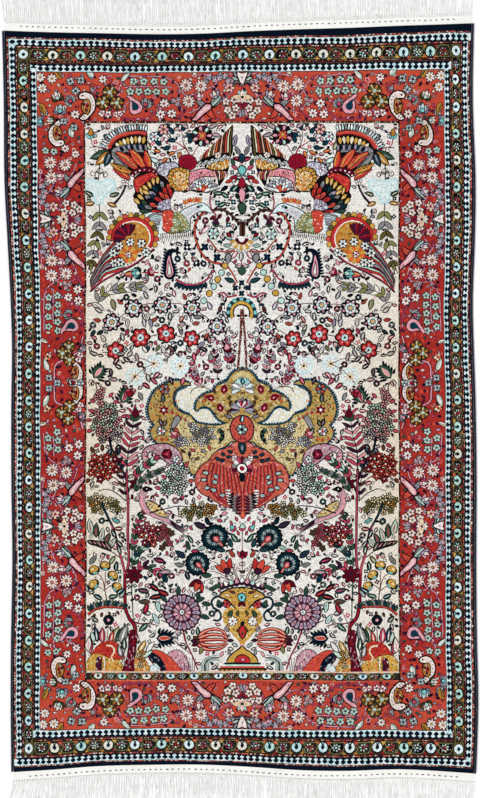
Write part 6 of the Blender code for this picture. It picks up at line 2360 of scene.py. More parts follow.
def drawUrn(c):
    # carnations, tulips and buds over the gold urn
    c.line([(243, 579), (243, 560), (243, 545), (243, 528)], 0.9, "brown", mirrored=False)
    for path in ([(240, 579), (234, 566), (229, 560)], [(236, 580), (224, 568), (214, 560), (207, 567)],
                 [(238, 579), (229, 556), (222, 546)],
                 [(232, 580), (222, 576), (210, 578), (202, 582)], [(234, 581), (220, 572), (206, 569)]):
        c.line(path, 1.0, "brown", 0.7)
    for x, y, tilt, r in ((216, 536, -46, 12.6), (198, 562, -50, 11.6)):
        head = [(grow(scallop(r, 17, 0.1, 3), 0.5), "ink"), (scallop(r, 17, 0.1, 3) * (1.04, 0.88),
                "midnight")]
        for spin in range(0, 360, 15):
            head += move([(leafOutline(r * 0.52, r * 0.07) + (0, r * 0.36),
                           ("sky", "grey", "mint")[spin // 15 % 3]),
                          (leafOutline(r * 0.3, r * 0.1) + (0, r * 0.62), "teal")], turn=spin)
        head += move(edged(leafOutline(r * 0.62, r * 0.42), "coral", 0.4, "plum") + [(leafOutline(r * 0.5,
                r * 0.16), "pink")], (0, r * 0.1), turn=180)
        head += move(leaf(r * 0.5, r * 0.2, "salmon", 0.4, "pink", 0.4), (0, -r * 0.5), turn=178)
        c.pair(head, x, y, tilt + 90)
    for x, y, tilt, long, tones in (
        (207, 526, 70, 13, ("plum", "teal")), (211, 523, 40, 8, ("navy", "teal")), (190, 548, 20, 9,
                ("green", "teal")), (186, 556, 60, 12, ("teal", "plum")),
        (184, 564, 84, 9, ("grey", "green")), (233, 546, 24, 9, ("teal", "green")), (238, 541, 40, 10,
                ("green", "mint")), (226, 549, 84, 10, ("teal", "green")),
        (212, 574, 92, 10, ("green", "teal")), (235, 556, 40, 8, ("coral", "navy")), (194, 541, 40, 8,
                ("green", "mint")), (199, 549, 100, 7, ("rose", "crimson")),
        (206, 545, 120, 8, ("mint", "teal")), (190, 578, 30, 9, ("navy", "grey")),
    ):
        c.pair(looseLeaf(long, *tones, 1.0), x, y, tilt)
    c.put(tulip(8, ("rose", "crimson", "maroon")), 243, 557)
    c.put(bud(7, "mint", "rose"), 243, 530)
    c.pair(bud(6.6, "aqua", "rose"), 236, 530, 40)
    for x, y in ((238, 520), (233, 524), (240, 534)):
        c.pair(leaf(5, 2, "rose", 0.4, None, 0.3), x, y, 30)
    c.pair(tulip(14, ("coral", "red", "coral")), 228, 571, 24)
    c.pair(edged(oval(3.2, 2.6, 9), "plum", 0.4), 228, 570)
    c.pair(tulip(12, ("red", "maroon", "coral")), 200, 579, 158)
    c.pair(looseLeaf(8, "green", "teal", 0.6), 198, 591, 200)
    for x, y, way in ((238.5, 566, 1), (240.5, 561, -1), (233, 563, -1), (190, 588, 1), (212, 586, -1),
                      (178, 570, 1), (214, 551, 1)):
        c.pair(ringCurl(2.4, "maroon", way), x, y, 20)
    for k in range(5):
        c.put(bud(7, ("white", "pink", "mint")[k % 3], "plum"), 243 - k * 4.6, 584 + k * 0.9, 10 * k,
              mirrored=k > 0)
    for k in range(5):
        c.pair(leaf(5, 2, "green", 0.4, None, 0.3), 222 - k * 2, 586 + k * 0.6, 40 + 10 * k)
    # handles
    for width, dye in ((2.5, "midnight"), (1.0, "teal")):
        c.line([(223, 595), (216, 595.5), (212.6, 600), (214, 606), (219, 609), (221.5, 614), (219, 618.4),
                (213.4, 618)], width, dye, width * 0.8)
    c.pair(bud(7, "green", "teal"), 221.5, 606, 20)
    c.pair(rosette(4.4, 5, "coral", "crimson", "rose", 0.3), 228, 602)
    # lip and throat
    lip = [(243, 587), (233, 588), (225, 591), (221, 595), (228, 597.4), (234, 603), (239, 609), (243, 614)]
    axisForm(c, lip, "gold", 1.8)
    mottle(c, lip, ("ochre", "straw", "olive", "orange", "cream", "brown"), 2.6, 2.8, 70, 72, 0.4, 60)
    c.put(drop(4, 4, 1, -5, "aqua", 0.5) + [(oval(1.2, 1.4, 6), "navy")], 243, 596)
    c.pair(leaf(6, 2.8, "maroon", 0.5, None, 0.3), 243, 600, 150)
    c.pair(leaf(7, 2.4, "brown", 0.5, None, 0.2), 237, 591.5, 80)
    c.pair(leaf(6, 2.2, "cream", 0.5, None, 0.2), 231, 594.5, 76)
    # heart
    heart = [(243, 613.6), (239, 608.4), (232, 605.6), (226, 608), (223, 613.6), (224, 620), (228, 627),
             (234, 634), (239, 639.6), (243, 643)]
    axisForm(c, heart, "gold", 1.5)
    mottle(c, heart + [(243, 613.6)], ("ochre", "straw", "olive", "orange", "cream", "brown"), 2.6, 2.8, 20,
           71, 0.4, 60)
    c.pair(starFlower(4.8, 7, "white", "crimson"), 232.8, 619.4)
    c.pair(leaf(6.6, 3.6, "green", 1.0), 229.4, 614.4, -24)
    c.pair(leaf(5.4, 2.4, "olive", 1.0, None, 0.3), 237.6, 614, -6)
    c.put(drop(6, 3.6, 1, -7, "red", 0.6) + [(oval(1.8, 2.0, 7, (0, -2)), "brown")], 243, 630)
    c.put(leaf(4.6, 2.6, "navy", 0.4), 243, 624)
    c.pair(leaf(5, 2, "brown", 0.6, None, 0.2), 237, 630, -40)
    # foot
    c.pair(looseLeaf(6, "mint", "grey", 0.6), 238, 645, 60)
    axisForm(c, [(243, 644.6), (240, 648), (234, 652), (229, 657), (228, 661)], "gold", 1.4)
    c.put(edged(arcBand(0, 180, 0.1, 7.4, "red", 14)[0][0], "red", 0.5), 243, 661)
    c.put([(oval(3.4, 2.0, 9, (0, 2.4)), "crimson"), (oval(1.8, 1.2, 7, (0, 2.6)), "pink")], 243, 661)
    for k, (wide, dye) in enumerate(((18, "midnight"), (17, "mint"), (22, "coral"), (25, "midnight"),
                                     (24, "gold"))):
        y = 661 + k * 1.8
        c.put([(np.array([(-wide, -1.9), (wide, -1.9), (wide, 0), (-wide, 0)]), dye)], 243, y)
    for k in range(11):
        c.put([(oval(1.1, 0.9, 6), "ink")], 221 + k * 4.4, 669)


def drawGroundPlants(c):
    # the big chrysanthemum, the striped pomegranate and the mounds
    c.stem([(184, 628), (188, 642), (194, 654), (199, 668)], (2.0, "maroon", 1.4), (0.9, "crimson", 0.8))
    c.line([(160, 632), (172, 636), (184, 646), (192, 652)], 1.3, "maroon", 0.8)
    c.line([(162, 619), (174, 624), (186, 634)], 1.0, "maroon", 0.7)
    mum = [(scallop(18.4, 22, 0.05, 3), "plum")]
    for k in range(22):
        angle = 360 / 22 * k
        petal = np.array([(9.4, -0.6), (15.8, -1.75), (17.7, 0), (15.8, 1.75), (9.4, 0.6)])
        mum += move([(petal, "mauve" if k % 2 else "lilac")], turn=angle)
        mum += move([(oval(1.5, 0.5, 5, (14.0, 0)), "plum")], turn=angle)
    mum.append((scallop(9.4, 11, 0.08, 3), "plum"))
    for k in range(11):
        petal = np.array([(3.4, -0.5), (7.6, -1.7), (8.9, 0), (7.6, 1.7), (3.4, 0.5)])
        mum += move([(petal, "mauve" if k % 2 else "pink")], turn=360 / 11 * k)
        mum += move([(oval(1.1, 0.9, 5, (10.3, 0)), "maroon")], turn=360 / 11 * (k + 0.5))
    mum += [(scallop(3.6, 7, 0.1, 2), "maroon"), (oval(2.4, 2.4, 8), "ice"), (oval(1.0, 1.0, 6), "plum")]
    c.pair(mum, 183, 611)
    for x, y, tilt in ((180, 594, 10), (197, 600, -60), (201, 614, -100), (203, 602, -90), (168, 600, 50)):
        c.pair(looseLeaf(9, "green", "teal", 1.0), x, y, tilt)
    c.pair(looseLeaf(12, "maroon", "coral", 1.6), 170, 594, 70)
    c.pair(looseLeaf(12, "navy", "coral", 1.6), 163, 594, 110)
    # pomegranate of five bent leaves
    for rise, bow, tone in ((9.5, 11, "coral"), (5.0, 6, "coral"), (0.5, 0, "red"), (-4.5, -5, "coral"),
                            (-8.5, -9, "red")):
        a = [(197, 639), (203, 638.5 - rise * 0.8), (213, 638 - rise * 1.15), (223, 638 - rise * 0.9),
             (228, 639 - bow * 0.25)]
        c.stem(a, (5.2, "ink", 2.6), (3.4, tone, 1.4))
        c.line([(x, y - 0.3) for x, y in a], 0.9, "peach", 0.4)
    c.pair(tulip(8, ("maroon", "brown", "plum")), 200, 639.5, 84)
    c.pair(leaf(6, 2.2, "plum", 0.3), 228, 638.6, -90)
    c.pair(looseLeaf(8, "green", "mint", 0.6), 199, 633, 10)
    c.pair(leaf(7, 3, "moss", 0.6), 203, 645, 170)
    for x, y, tilt, tone in ((225, 628, -40, "pink"), (229, 630, 40, "grey"), (229, 648, 200, "grey"),
                             (224, 650, 150, "pink")):
        c.pair(leaf(6, 2.4, tone, 0.6, None, 0.3), x, y, tilt)
    c.pair(serrated(17, "navy", "coral"), 158, 637, -88)
    for k in range(3):
        path = [(203 + k * 3, 669), (204 + k * 2.4, 660 + k), (210 + k * 2, 655 + k * 1.4),
                (219 + k, 653 + k * 3)]
        c.stem(path, (2.4, "midnight", 1.2), (1.1, ("sky", "green", "mint")[k], 0.5))
    # mounds along the foot, each strewn with strokes
    mounds = (
        ([(94, 656), (97, 648), (103, 642), (111, 639.6), (119, 642), (123.6, 650), (124, 658)], "brick",
         ("ember", "red", "coral", "orange", "garnet"), 30),
        ([(87.6, 671), (88, 663), (91, 656), (97, 652.6), (105, 654), (113, 658), (121, 659), (123, 671)],
         "gold", ("cream", "straw", "ochre", "gold", "olive", "orange"), -20),
        ([(132, 671), (134, 661), (137.4, 651), (141, 645), (144, 654), (149, 663), (153.4, 671)],
         "mustard", ("cream", "orange", "straw", "red", "ochre", "brown"), 60),
        ([(168, 671), (167.4, 660), (170, 652), (176, 648.4), (183, 650), (187.6, 656), (190, 664),
          (190, 671)], "mauve", ("pink", "rose", "pearl", "plum", "pink"), 0),
        ([(149.4, 655), (152, 649.4), (159, 648.6), (168, 653), (176, 660), (182.6, 671), (164, 671),
          (156, 664)], "coral", ("ember", "red", "salmon", "coral"), 35),
        ([(150.6, 656), (153, 651.4), (157, 653), (163, 659), (167, 671), (162, 671), (156, 664)], "navy",
         ("plum", "teal", "rose", "grey", "navy"), 35),
        ([(151, 666), (155, 661.6), (159, 664), (160.6, 671), (152, 671)], "ice", ("grey", "ivory", "sky"),
         35),
    )
    for k, (form, base, tones, lean) in enumerate(mounds):
        area(c, form, base, 0.6, "plum" if base == "navy" else "ink")
        mottle(c, form, tones, 2.4, 3.0, lean, 81 + k, 0.4, 40)
    comb(c, [(190, 665), (187.6, 656), (183, 650), (176, 648.4), (170, 652), (167.6, 660)], 15, 1.8, 0.8,
         ("plum",), 180, 0)
    c.line([(108, 644), (114, 645), (116, 650), (113, 655), (114.6, 659)], 2.0, "cream", 1.2)
    area(c, [(97.6, 671), (98, 660), (99.6, 656), (103, 656.6), (103.4, 664), (102.4, 671)], "plum", 0.4)
    mottle(c, [(97.6, 671), (98, 660), (99.6, 656), (103, 656.6), (103.4, 664), (102.4, 671)],
           ("navy", "crimson", "maroon", "ivory"), 2.0, 2.8, 5, 91, 0.4, 20)
    c.line([(105.4, 655), (106.4, 662), (105.4, 670)], 1.7, "pearl", 0.9)
    trunk = [(130, 630), (137, 630), (137.4, 642), (136, 652), (134.6, 662), (134, 671), (124, 671),
             (126.4, 662), (129, 652), (130, 642)]
    area(c, trunk, "maroon", 0.7)
    mottle(c, trunk, ("crimson", "plum", "maroon", "garnet", "mauve"), 2.6, 3.0, 10, 92, 0.4, 20)
    for path in ([(126.6, 645), (125, 655), (126.4, 664)], [(124, 643), (122.6, 652), (124, 661)]):
        c.stem(path, (1.5, "navy", 1.0), (0.6, "grey", 0.4))
    for k in range(4):
        c.line([(188 + k * 2.4, 671), (189.6 + k * 2.0, 663 + k % 2), (188 + k * 3.0, 654 + 2 * (k % 2))],
               1.0, "maroon" if k % 2 else "plum", 0.5)
    for x, y, tilt, tone in ((126, 648, 10, "green"), (123, 655, 20, "grey"), (141, 650, -20, "gold"),
                             (143, 656, -50, "mint"), (148, 650, -30, "ivory")):
        c.pair(looseLeaf(12, tone, "white", 1.4), x, y, tilt)
    cluster(c, 141, 657, 5, 8, 7, 2.2, ("cream", "gold"), "crimson", 51)


strewn = {
    # the dyes of the strewn figures, and the share of places left bare, in each third of the field
    "upper": {"tones": ("ink", "teal", "rose", "grey", "navy"), "bare": 0.26},
    "middle": {"tones": ("plum", "rose", "grey", "teal", "maroon"), "bare": 0.2},
    "lower": {"tones": ("teal", "green", "rose", "grey", "plum"), "bare": 0.3},
    "bareSide": 0.35,
}


def strewField(c):
    # buds, leaves, hooks and small blossoms wherever the ground of the field is still bare
    chance = np.random.default_rng(41)
    left, _, foot, head = rects["field"]
    taken = np.zeros((int(-left) + 6, int(head - foot) + 2), bool)
    for p, _ in c.shapes:
        low = np.floor(p.min(0) - (left, foot)).astype(int)
        high = np.ceil(p.max(0) - (left, foot)).astype(int) + 1
        low, high = np.maximum(low, 0), np.minimum(high, taken.shape)
        if np.any(high <= low):
            continue
        if (high - low).max() < 5:
            taken[low[0]:high[0], low[1]:high[1]] = True
            continue
        us, vs = np.meshgrid(np.arange(low[0], high[0]), np.arange(low[1], high[1]), indexing="ij")
        spots = np.column_stack([us.ravel() + left + 0.5, vs.ravel() + foot + 0.5])
        taken[us.ravel(), vs.ravel()] |= holds(p, spots)
        own = np.floor(p - (left, foot)).astype(int)
        own = own[np.all((own >= 0) & (own < taken.shape), axis=1)]
        taken[own[:, 0], own[:, 1]] = True
    room = np.zeros(taken.shape, int)
    free = ~taken
    free[0], free[:, 0], free[:, -1] = False, False, False
    while free.any() and room.max() < 12:
        room += free
        free = free & np.roll(free, 1, 0) & np.roll(free, -1, 0) & np.roll(free, 1, 1) & np.roll(free, -1,
                1)
    order = chance.permutation(room.size)
    us, vs = np.unravel_index(order, room.shape)
    good = room[us, vs] >= 2
    us, vs, rooms = us[good], vs[good], room[us, vs][good]
    rank = np.argsort(-np.minimum(rooms, 6), kind="stable")
    placed = np.zeros((0, 3))
    # column, row and half sizes of the grounds that stay calm
    calm = ((190, 199, 13, 8), (127, 199, 13, 12), (116, 206, 9, 8), (164, 252, 13, 9), (205, 254, 12, 8),
            (118, 283, 14, 5))
    for u, v, wide in zip(us[rank], vs[rank], rooms[rank]):
        x, y = u + left + 0.5, v + foot + 0.5
        column, row = x + chart["centreColumn"], chart["centreRow"] - y
        if x > -1.5 or any(((column - a) / e) ** 2 + ((row - b) / f) ** 2 < 1 for a, b, e, f in calm):
            continue
        reach = min(wide * 0.9, 5.0)
        if len(placed) and np.any(np.hypot(placed[:, 0] - x, placed[:, 1] - y) < placed[:,
                2] + reach - 0.3):
            continue
        placed = np.vstack([placed, (x, y, reach)])
        part = strewn["upper" if row < 330 else "middle" if row < 500 else "lower"]
        if chance.random() < part["bare"] + (strewn["bareSide"] if x < left + 28 else 0):
            continue
        tone = part["tones"][int(chance.integers(5))]
        second = part["tones"][int(chance.integers(5))]
        if reach > 4.2:
            pick = chance.random()
            if pick < 0.4:
                motif = [(ribbon([(-3, -3.6), (0, -0.4), (1.6, 3.8)], 0.9, 0.6), "ink")]
                motif += move(leaf(4.4, 1.8, tone, 0.5, None, 0.35), (-0.6, -1), turn=62) + move(leaf(4.2,
                        1.8, second, 0.5, None, 0.35), (0.6, 0.4), turn=-58)
                motif += move(bloom(2.0, 5, ("white", "pink"), "ink", tone, 0.9, 0.34), (1.8, 3.8))
            elif pick < 0.7:
                motif = move(leaf(6.4, 2.4, tone, 1.0, "white", 0.4), (-1.4, -2.6),
                             turn=20) + move([(curl(2.0, 1.0, 0.8, 60), "ink")], (1.6, -1.4))
                motif += move(leaf(4.0, 1.6, second, 0.4, None, 0.3), (1.0, 0.6), turn=-50)
            else:
                motif = bloom(2.8, 6, (tone if tone != "ink" else "navy", second), "white", "white", 0.92,
                              0.3)
                motif += move(leaf(4, 1.6, "ink", 0.4, None, 0.2), (2.6, -2.2), turn=-130)
        elif reach > 2.6:
            pick = chance.random()
            if pick < 0.5:
                motif = move(leaf(4.8, 2.0, tone, 0.8, "white" if tone != "ink" else None, 0.4), (0, -2.2))
            elif pick < 0.75:
                motif = smallBlossom(tone, "white", 2.7)
            else:
                motif = [(curl(1.8, 1.0, 0.85, 60), "ink")] + move(leaf(3.2, 1.4, tone, 0.3, None, 0.25),
                        (0.4, 0))
        else:
            motif = [(oval(0.95, 0.8, 5), tone)]
            if chance.random() < 0.6:
                motif = move(leaf(3.0, 1.2, tone, 0.4, None, 0.3), (0, -1.4))
        c.add(move(motif, (x, y), turn=chance.uniform(0, 360)))
    print(f"rug: {len(placed)} small figures fill the field's ground on each side")


def buildField():
    # the whole field drawn once, then parted into three slabs at two rows of the chart
    c = Cartoon()
    drawTopSprays(c)
    drawCentreTop(c)
    drawRingVine(c)
    drawPhoenix(c)
    drawRoundWing(c)
    drawRosetteRows(c)
    drawMedallion(c)
    drawUpperMiddle(c)
    drawCords(c)
    drawTrees(c)
    drawUrn(c)
    drawGroundPlants(c)
    strewField(c)
    left, right, foot, head = rects["field"]
    cuts = [foot, chart["centreRow"] - 505.0, chart["centreRow"] - 330.0, head]
    pieces = []
    for k, name in enumerate(("pileFieldFoot", "pileFieldMiddle", "pileFieldHead")):
        rect = (left, right, cuts[k], cuts[k + 1])
        shapes = [s for s in c.shapes if s[0][:, 1].max() > cuts[k] and s[0][:, 1].min() < cuts[k + 1]]
        pieces.append(slab(name, [(rectLoop(rect), bandGround["field"])] + shapes, rect))
    return pieces


print("rug: drawing the bands")
pilePieces = [buildBands("pileOuterBands", "edge", "minor", 3), buildMinorBorder(),
              buildBands("pileInnerBands", "minorInk", "main", 7), *buildMainBorder(), buildPole(),
              *buildField()]


# The woven ground, its flat-woven ends and the stitching.
ground = {
    "top": 0.0026, "endSquares": 8.25, "sideSquares": 0.16, "weavePitch": 0.0021,
    "colour": (255, 255, 253), "shade": (236, 234, 228), "stitch": (14, 12, 18),
    "stitchOut": 0.0144, "stitchPitch": 0.0165, "stitchLength": 0.0078, "stitchRadius": 0.00125,
}


def gridSlab(name, us, vs, high):
    # a flat closed slab over a grid of chart places, from the floor up
    nu, nv = len(us), len(vs)
    u, v = np.meshgrid(us, vs, indexing="ij")
    x, y = toRug(u.ravel(), v.ravel())
    n = nu * nv
    points = np.vstack([np.column_stack([x, y, np.full(n, high)]), np.column_stack([x, y, np.zeros(n)])])
    k = np.arange(n).reshape(nu, nv)
    quads = np.stack([k[:-1, :-1], k[1:, :-1], k[1:, 1:], k[:-1, 1:]], -1).reshape(-1, 4)
    rim = np.concatenate([k[:-1, 0], k[-1, :-1], k[::-1, -1][:-1], k[0, ::-1][:-1]])
    after = np.roll(rim, -1)
    walls = np.column_stack([after, rim, rim + n, after + n])
    return makeMesh(name, points, [quads, quads[:, ::-1] + n, walls], True, None, unwrap(points, n))


def buildGround():
    # the cloth under the pile and past it at both ends, with the waves of its weave as shading
    halfU = chart["halfAcross"] + ground["sideSquares"]
    halfV = chart["halfAlong"] + ground["endSquares"]
    us = np.linspace(-halfU, halfU, 97)
    vs = np.concatenate([np.linspace(-halfV, -chart["halfAlong"] + 2, 5), np.linspace(-360, 360, 37),
                         np.linspace(chart["halfAlong"] - 2, halfV, 5)])
    piece = gridSlab("carpetGround", us, vs, ground["top"])
    t = Tree("flatWeave")
    x, y, _ = t.node("SeparateXYZ", None, t.node("TexCoord")[3])
    across = t.node("Math", {"operation": "SINE"}, x * (2 * math.pi / ground["weavePitch"]))[0]
    along = t.node("Math", {"operation": "SINE"}, y * (2 * math.pi / (ground["weavePitch"] * 0.8)))[0]
    cell = across * along
    grain = t.node("TexNoise", None, Scale=900.0, Detail=2.0)[0]
    slow = t.node("TexNoise", None, Scale=22.0, Detail=3.0)[0]
    tone = t.node("Math", {"operation": "MULTIPLY_ADD", "use_clamp": True}, cell, 0.16,
                  slow * 0.5 + grain * 0.35)[0]
    t.shade("Base Color", t.ramp(tone, ((0.2, linear(ground["shade"])), (0.55, linear(ground["colour"])))))
    t.shade("Normal", t.node("Bump", None, Strength=0.5, Distance=0.0006, Height=cell + grain * 0.7)[0])
    t.shade("Roughness", 0.95)
    piece.data.materials.append(t.material)
    return piece


def buildStitches():
    # dark running stitches along both flat-woven ends
    chance = np.random.default_rng(29)
    middles, lengths = [], []
    for end, way in (("head", 1), ("foot", -1)):
        left, right = edges[end][0][0] + 0.004, edges[end][0][-1] + 0.004
        x = np.arange(left, right, ground["stitchPitch"])
        x = x + chance.uniform(-0.0012, 0.0012, len(x))
        out = ground["stitchOut"] + 0.0006 * np.sin(9 * x) + chance.uniform(-0.0004, 0.0004, len(x))
        y = edgeAt(end, x) + way * out
        middles.append(np.column_stack([x, y]))
        lengths.append(ground["stitchLength"] * chance.uniform(0.6, 1.1, len(x)))
    middle, length = np.concatenate(middles), np.concatenate(lengths)
    share = np.linspace(-0.5, 0.5, 6)
    paths = np.empty((len(middle), 6, 3))
    paths[..., 0] = middle[:, 0:1] + share * length[:, None]
    paths[..., 1] = middle[:, 1:2] + chance.uniform(-0.0012, 0.0012, (len(middle), 1)) * share
    paths[..., 2] = ground["top"] + 0.0003 + 0.0007 * np.sin(math.pi * (share + 0.5))
    radii = ground["stitchRadius"] * np.array([0.35, 0.85, 1, 1, 0.85, 0.35])[None,
            :] * np.ones((len(middle), 1))
    points, quads, caps = tubes(paths, radii, 6)
    piece = makeMesh("endStitches", points, [quads, caps])
    t = Tree("stitchThread")
    t.shade("Base Color", (*linear(ground["stitch"]), 1.0))
    t.shade("Roughness", 0.8)
    piece.data.materials.append(t.material)
    return piece


# Overcast sides.
selvedge = {
    "radius": 0.0034, "gap": 0.0007, "end": 0.0016, "groove": 0.00055,      # metres
    "turn": 0.0022, "lean": 0.18, "sides": 6,                               # one turn of wool, and its slant
    "colour": (4, 14, 32), "worn": (18, 34, 58),
}


def buildSelvedge(name, edge, way):
    # a thin cord beside the pile, whose radius rises and falls once for each turn of the wool
    node = nodePoints("selvedge_" + edge)
    low, high = node[:, 1].min() + 0.0004, node[:, 1].max() - 0.0004
    stations = int((high - low) / (selvedge["turn"] / 2))
    y = np.linspace(low, high, stations)
    chance = np.random.default_rng(31 if way > 0 else 37)
    x = edgeAt(edge, y) + way * (selvedge["radius"] + selvedge["gap"])
    rib = np.where(np.arange(stations) % 2, selvedge["radius"], selvedge["radius"] - selvedge["groove"])
    rib = rib - chance.uniform(0, 0.0002, stations)
    rib[0] = rib[-1] = selvedge["end"]
    z = np.full(stations, selvedge["radius"])
    points, quads, caps = tubes(np.column_stack([x, y, z])[None], rib[None], selvedge["sides"])
    points[:, 1] += (points[:, 0] - np.repeat(x, selvedge["sides"])) * selvedge["lean"]
    points[:, 2] = np.maximum(points[:, 2], 0.0)
    piece = makeMesh(name, points, [quads, caps])
    t = Tree(name + "Wool")
    where = t.node("TexCoord")[3]
    slow = t.node("TexNoise", None, Vector=where, Scale=9.0, Detail=3.0)[0]
    fine = t.node("TexNoise", None, Vector=where, Scale=700.0, Detail=2.0)[0]
    tone = slow * 0.8 + fine * 0.5
    t.shade("Base Color", t.ramp(tone, ((0.5, linear(selvedge["colour"])),
                                        (0.95, linear(selvedge["worn"])))))
    t.shade("Normal", t.node("Bump", None, Strength=0.5, Distance=0.0005, Height=fine)[0])
    t.shade("Roughness", 0.9)
    piece.data.materials.append(t.material)
    return piece


# Fringe.
fringe = {
    "bundles": 292, "yarns": 4, "radius": 0.00078, "length": 0.086, "shortest": 0.9, "spread": 0.0036,
    "knotOut": 0.0262, "knotRadius": 0.0019, "rootReach": 1.13,     # metres: out from the pile, radius, and
                                                                    # how far from the centre roots are read
    "cornerFan": {"head": 0.012, "foot": 0.030}, "fanReach": 0.070,
    "colour": (255, 255, 254), "shade": (232, 231, 226),
}


def buildFringe(end, way):
    # each bundle leaves a knot past the flat-woven end and falls in a slow shared wave
    chance = np.random.default_rng(41 if way > 0 else 43)
    node = nodePoints("fringe_" + end)
    far = np.abs(node[:, 1]).max()
    near = node[np.abs(node[:, 1]) < fringe["rootReach"]]
    left, right = near[:, 0].min() + 0.002, near[:, 0].max() - 0.002
    n = fringe["bundles"]
    root = left + (np.arange(n) + 0.5) * (right - left) / n
    base = edgeAt(end, root) + way * fringe["knotOut"]
    fanOut = -fringe["cornerFan"][end] * np.exp((left - root) / fringe["fanReach"])
    lean = (fanOut + 0.004 * np.sin(17 * root + way) + 0.002 * np.sin(53 * root)
            + chance.normal(0, 0.0016, n))
    sway = 0.0015 * np.sin(31 * root + 2 * way) + chance.normal(0, 0.0007, n)
    length = fringe["length"] * chance.uniform(fringe["shortest"], 1.0, n)
    m = fringe["yarns"]
    s = np.array([0.0, 0.08, 0.24, 0.48, 0.75, 1.0])[None, :]
    k = np.repeat(np.arange(n), m)
    offset = (np.tile(np.arange(m), n) - (m - 1) / 2) / m
    opening = np.clip(s / 0.2, 0.25, 1.0)
    x = (
        root[k, None] + lean[k, None] * s**1.4 + sway[k, None] * np.sin(math.pi * s)
        + offset[:, None] * fringe["spread"] * opening
        + chance.normal(0, 0.0011, (n * m, 1)) * s
        + 0.0005 * np.sin(s * 9 + chance.uniform(0, 6.28, (n * m, 1)))
    )
    long = length[k] * chance.uniform(0.93, 1.0, n * m)
    y = base[k, None] + way * long[:, None] * s
    y = np.clip(y, -far, far)
    z = (0.0009 + 0.0014 * np.exp(-s * 12)
         + 0.0009 * chance.random((n * m, 1)) * np.sin(math.pi * np.clip(s * 1.1, 0, 1)))
    paths = np.stack([x, y, np.maximum(z, fringe["radius"] * 1.02)], -1)
    taper = np.array([0.9, 1.0, 1.0, 0.96, 0.88, 0.45])
    radii = fringe["radius"] * taper[None, :] * chance.uniform(0.8, 1.15, (n * m, 1))
    points, quads, caps = tubes(paths, radii, 4)
    # the knots: one stub a bundle
    knot = np.empty((n, 5, 3))
    knot[..., 0] = root[:, None]
    knot[..., 1] = base[:, None] + way * np.array([-0.0016, 0.0002, 0.0020, 0.0044, 0.0062])
    knot[..., 2] = fringe["knotRadius"]
    knotRadii = np.array([0.0010, 0.0019, 0.0017, 0.0019, 0.0008])[None, :] * np.ones((n, 1))
    knotPoints, knotQuads, knotCaps = tubes(knot, knotRadii, 4)
    shift = len(points)
    points = np.vstack([points, knotPoints])
    points[:, 2] = np.maximum(points[:, 2], 0.0)
    faces = [quads, caps, knotQuads + shift, knotCaps + shift]
    print(f"rug: fringe {end} has {2 * sum(len(f) for f in faces)} triangles")
    piece = makeMesh("fringe" + end.capitalize(), points, faces)
    t = Tree("warpCotton" + end.capitalize())
    where = t.node("TexCoord")[3]
    slow = t.node("TexNoise", None, Vector=where, Scale=60.0, Detail=3.0)[0]
    fine = t.node("TexNoise", None, Vector=where, Scale=1500.0, Detail=1.0)[0]
    tone = slow * 0.7 + fine * 0.4
    t.shade("Base Color", t.ramp(tone, ((0.3, linear(fringe["shade"])), (0.55, linear(fringe["colour"])))))
    t.shade("Roughness", 0.85)
    piece.data.materials.append(t.material)
    return piece


# Wool.
wool = {"knot": 0.0019, "stray": 0.22, "tuft": 0.0034,
        "depth": 0.0011}    # sizes in metres, stray as a share


def woolMaterial():
    # the drawn dye, varied knot by knot and weft by weft, and darkened between knots as painted shade, over
    # a short clipped pile
    t = Tree("woolPile")
    where = t.node("TexCoord")[3]
    dye = t.node("Attribute", {"attribute_name": "Dye"})[0]
    y = t.node("SeparateXYZ", None, where)[1]
    knots = t.node("TexVoronoi", {"voronoi_dimensions": "2D"}, Vector=where, Scale=1 / wool["knot"],
                   Randomness=0.75)
    cell, tint = knots[:2]
    red, green, _ = t.node("SeparateColor", None, tint)
    weft = t.node("TexNoise", {"noise_dimensions": "1D"}, W=y * 46.0, Detail=3.0)[0]
    patch = t.node("TexNoise", None, Vector=where, Scale=5.0, Detail=4.0)[0]
    tufts = t.node("TexVoronoi", {"voronoi_dimensions": "2D"}, Vector=where, Scale=1 / wool["tuft"],
                   Randomness=1.0)[1]
    tuft = t.node("SeparateColor", None, tufts)[0]
    # the cell term darkens the dye towards each knot's edge: painted shade in the gaps between knots; red,
    # tuft, weft and patch are tone that differs at random
    value = (1.0 + (red - 0.5) * wool["stray"] * 2 + (tuft - 0.5) * 0.3 + (weft - 0.5) * 0.22
             + (patch - 0.5) * 0.3 - cell * 0.12)
    hue = t.node("Math", {"operation": "MULTIPLY_ADD"}, green, 0.018, 0.491)[0]
    t.shade("Base Color", t.node("HueSaturation", None, hue, 1.0, value, 1.0, dye)[0])
    fine = t.node("TexNoise", None, Vector=where, Scale=1400.0, Detail=2.0)[0]
    lie = t.node("TexNoise", None, Vector=where, Scale=38.0, Detail=2.0)[0]
    height = fine * 0.5 - cell * 0.9 + lie * 1.4
    t.shade("Normal", t.node("Bump", None, Strength=0.5, Distance=wool["depth"], Height=height)[0])
    t.shade("Roughness", 0.92)
    t.shade("Specular IOR Level", 0.06)
    return t.material


print("rug: ground, sides and fringe")
pileWool = woolMaterial()
for piece in pilePieces:
    piece.data.materials.append(pileWool)
groundPiece = buildGround()
stitchPiece = buildStitches()
selvedgePieces = [buildSelvedge("selvedgeLeft", "left", -1), buildSelvedge("selvedgeRight", "right", 1)]
fringePieces = [buildFringe("head", 1), buildFringe("foot", -1)]

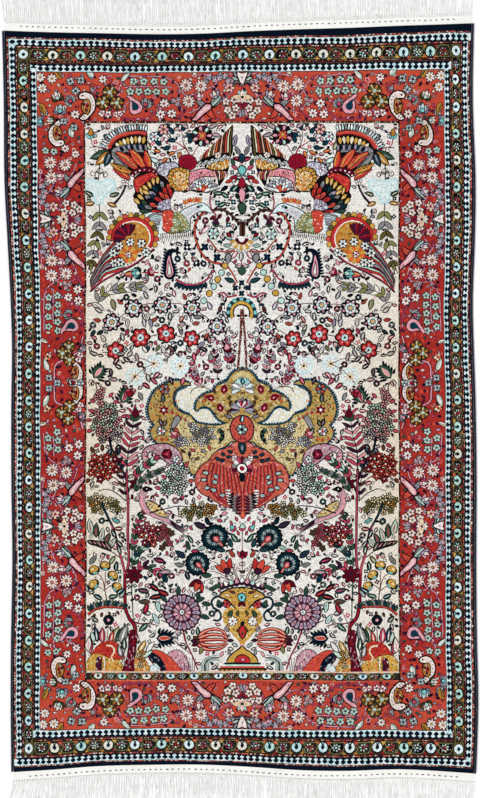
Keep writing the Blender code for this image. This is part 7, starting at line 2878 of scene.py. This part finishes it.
for piece in [*pilePieces, groundPiece, stitchPiece, *selvedgePieces, *fringePieces]:
    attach(piece, "root")
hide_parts("carpet")
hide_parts("selvedge_left")
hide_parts("selvedge_right")
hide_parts("fringe_head")
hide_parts("fringe_foot")


# Floor, light and camera.
studio = {
    "floor": (252, 252, 252), "sun": 1.4, "sky": 0.8,
    "distance": 4.0, "frameHeight": 2.316, "aside": 3.4,            # metres, metres and squares
}

floorMesh = bpy.data.meshes.new("studioFloor")
floorMesh.from_pydata([(-6, -6, -0.0004), (6, -6, -0.0004), (6, 6, -0.0004), (-6, 6, -0.0004)], [],
                      [(0, 1, 2, 3)])
floor = bpy.data.objects.new("studioFloor", floorMesh)
bpy.context.scene.collection.objects.link(floor)
floorTree = Tree("paleFloor")
floorTree.shade("Base Color", (*linear(studio["floor"]), 1.0))
floorTree.shade("Roughness", 0.8)
floorMesh.materials.append(floorTree.material)

world = bpy.data.worlds.new("softStudio")
bpy.context.scene.world = world
world.use_nodes = True
world.node_tree.nodes["Background"].inputs[0].default_value = (1.0, 1.0, 1.0, 1.0)
world.node_tree.nodes["Background"].inputs[1].default_value = studio["sky"]
sunData = bpy.data.lights.new("keySun", "SUN")
sunData.energy = studio["sun"]
sunData.angle = 0.12
sun = bpy.data.objects.new("keySun", sunData)
sun.rotation_euler = (math.radians(24), math.radians(-38), 0)
bpy.context.scene.collection.objects.link(sun)

middleX = float(edgeAt("left", 0.0) + edgeAt("right", 0.0)) / 2
middleY = float(edgeAt("head", 0.0) + edgeAt("foot", 0.0)) / 2
cameraData = bpy.data.cameras.new("overhead")
cameraData.sensor_width = 36.0
cameraData.lens = 36.0 * studio["distance"] / studio["frameHeight"]
cameraData.clip_end = 50.0
camera = bpy.data.objects.new("overhead", cameraData)
camera.location = (middleX - studio["aside"] * chart["square"], middleY, studio["distance"])
bpy.context.scene.collection.objects.link(camera)
bpy.context.scene.camera = camera
bpy.context.scene.view_settings.view_transform = "Standard"
bpy.context.scene.view_settings.look = "None"

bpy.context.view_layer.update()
print("rug: dressed")
count = sum(len(o.data.loops) - 2 * len(o.data.polygons) for o in bpy.data.objects if o.type == "MESH")
print(f"rug: {count} triangles in the whole scene")
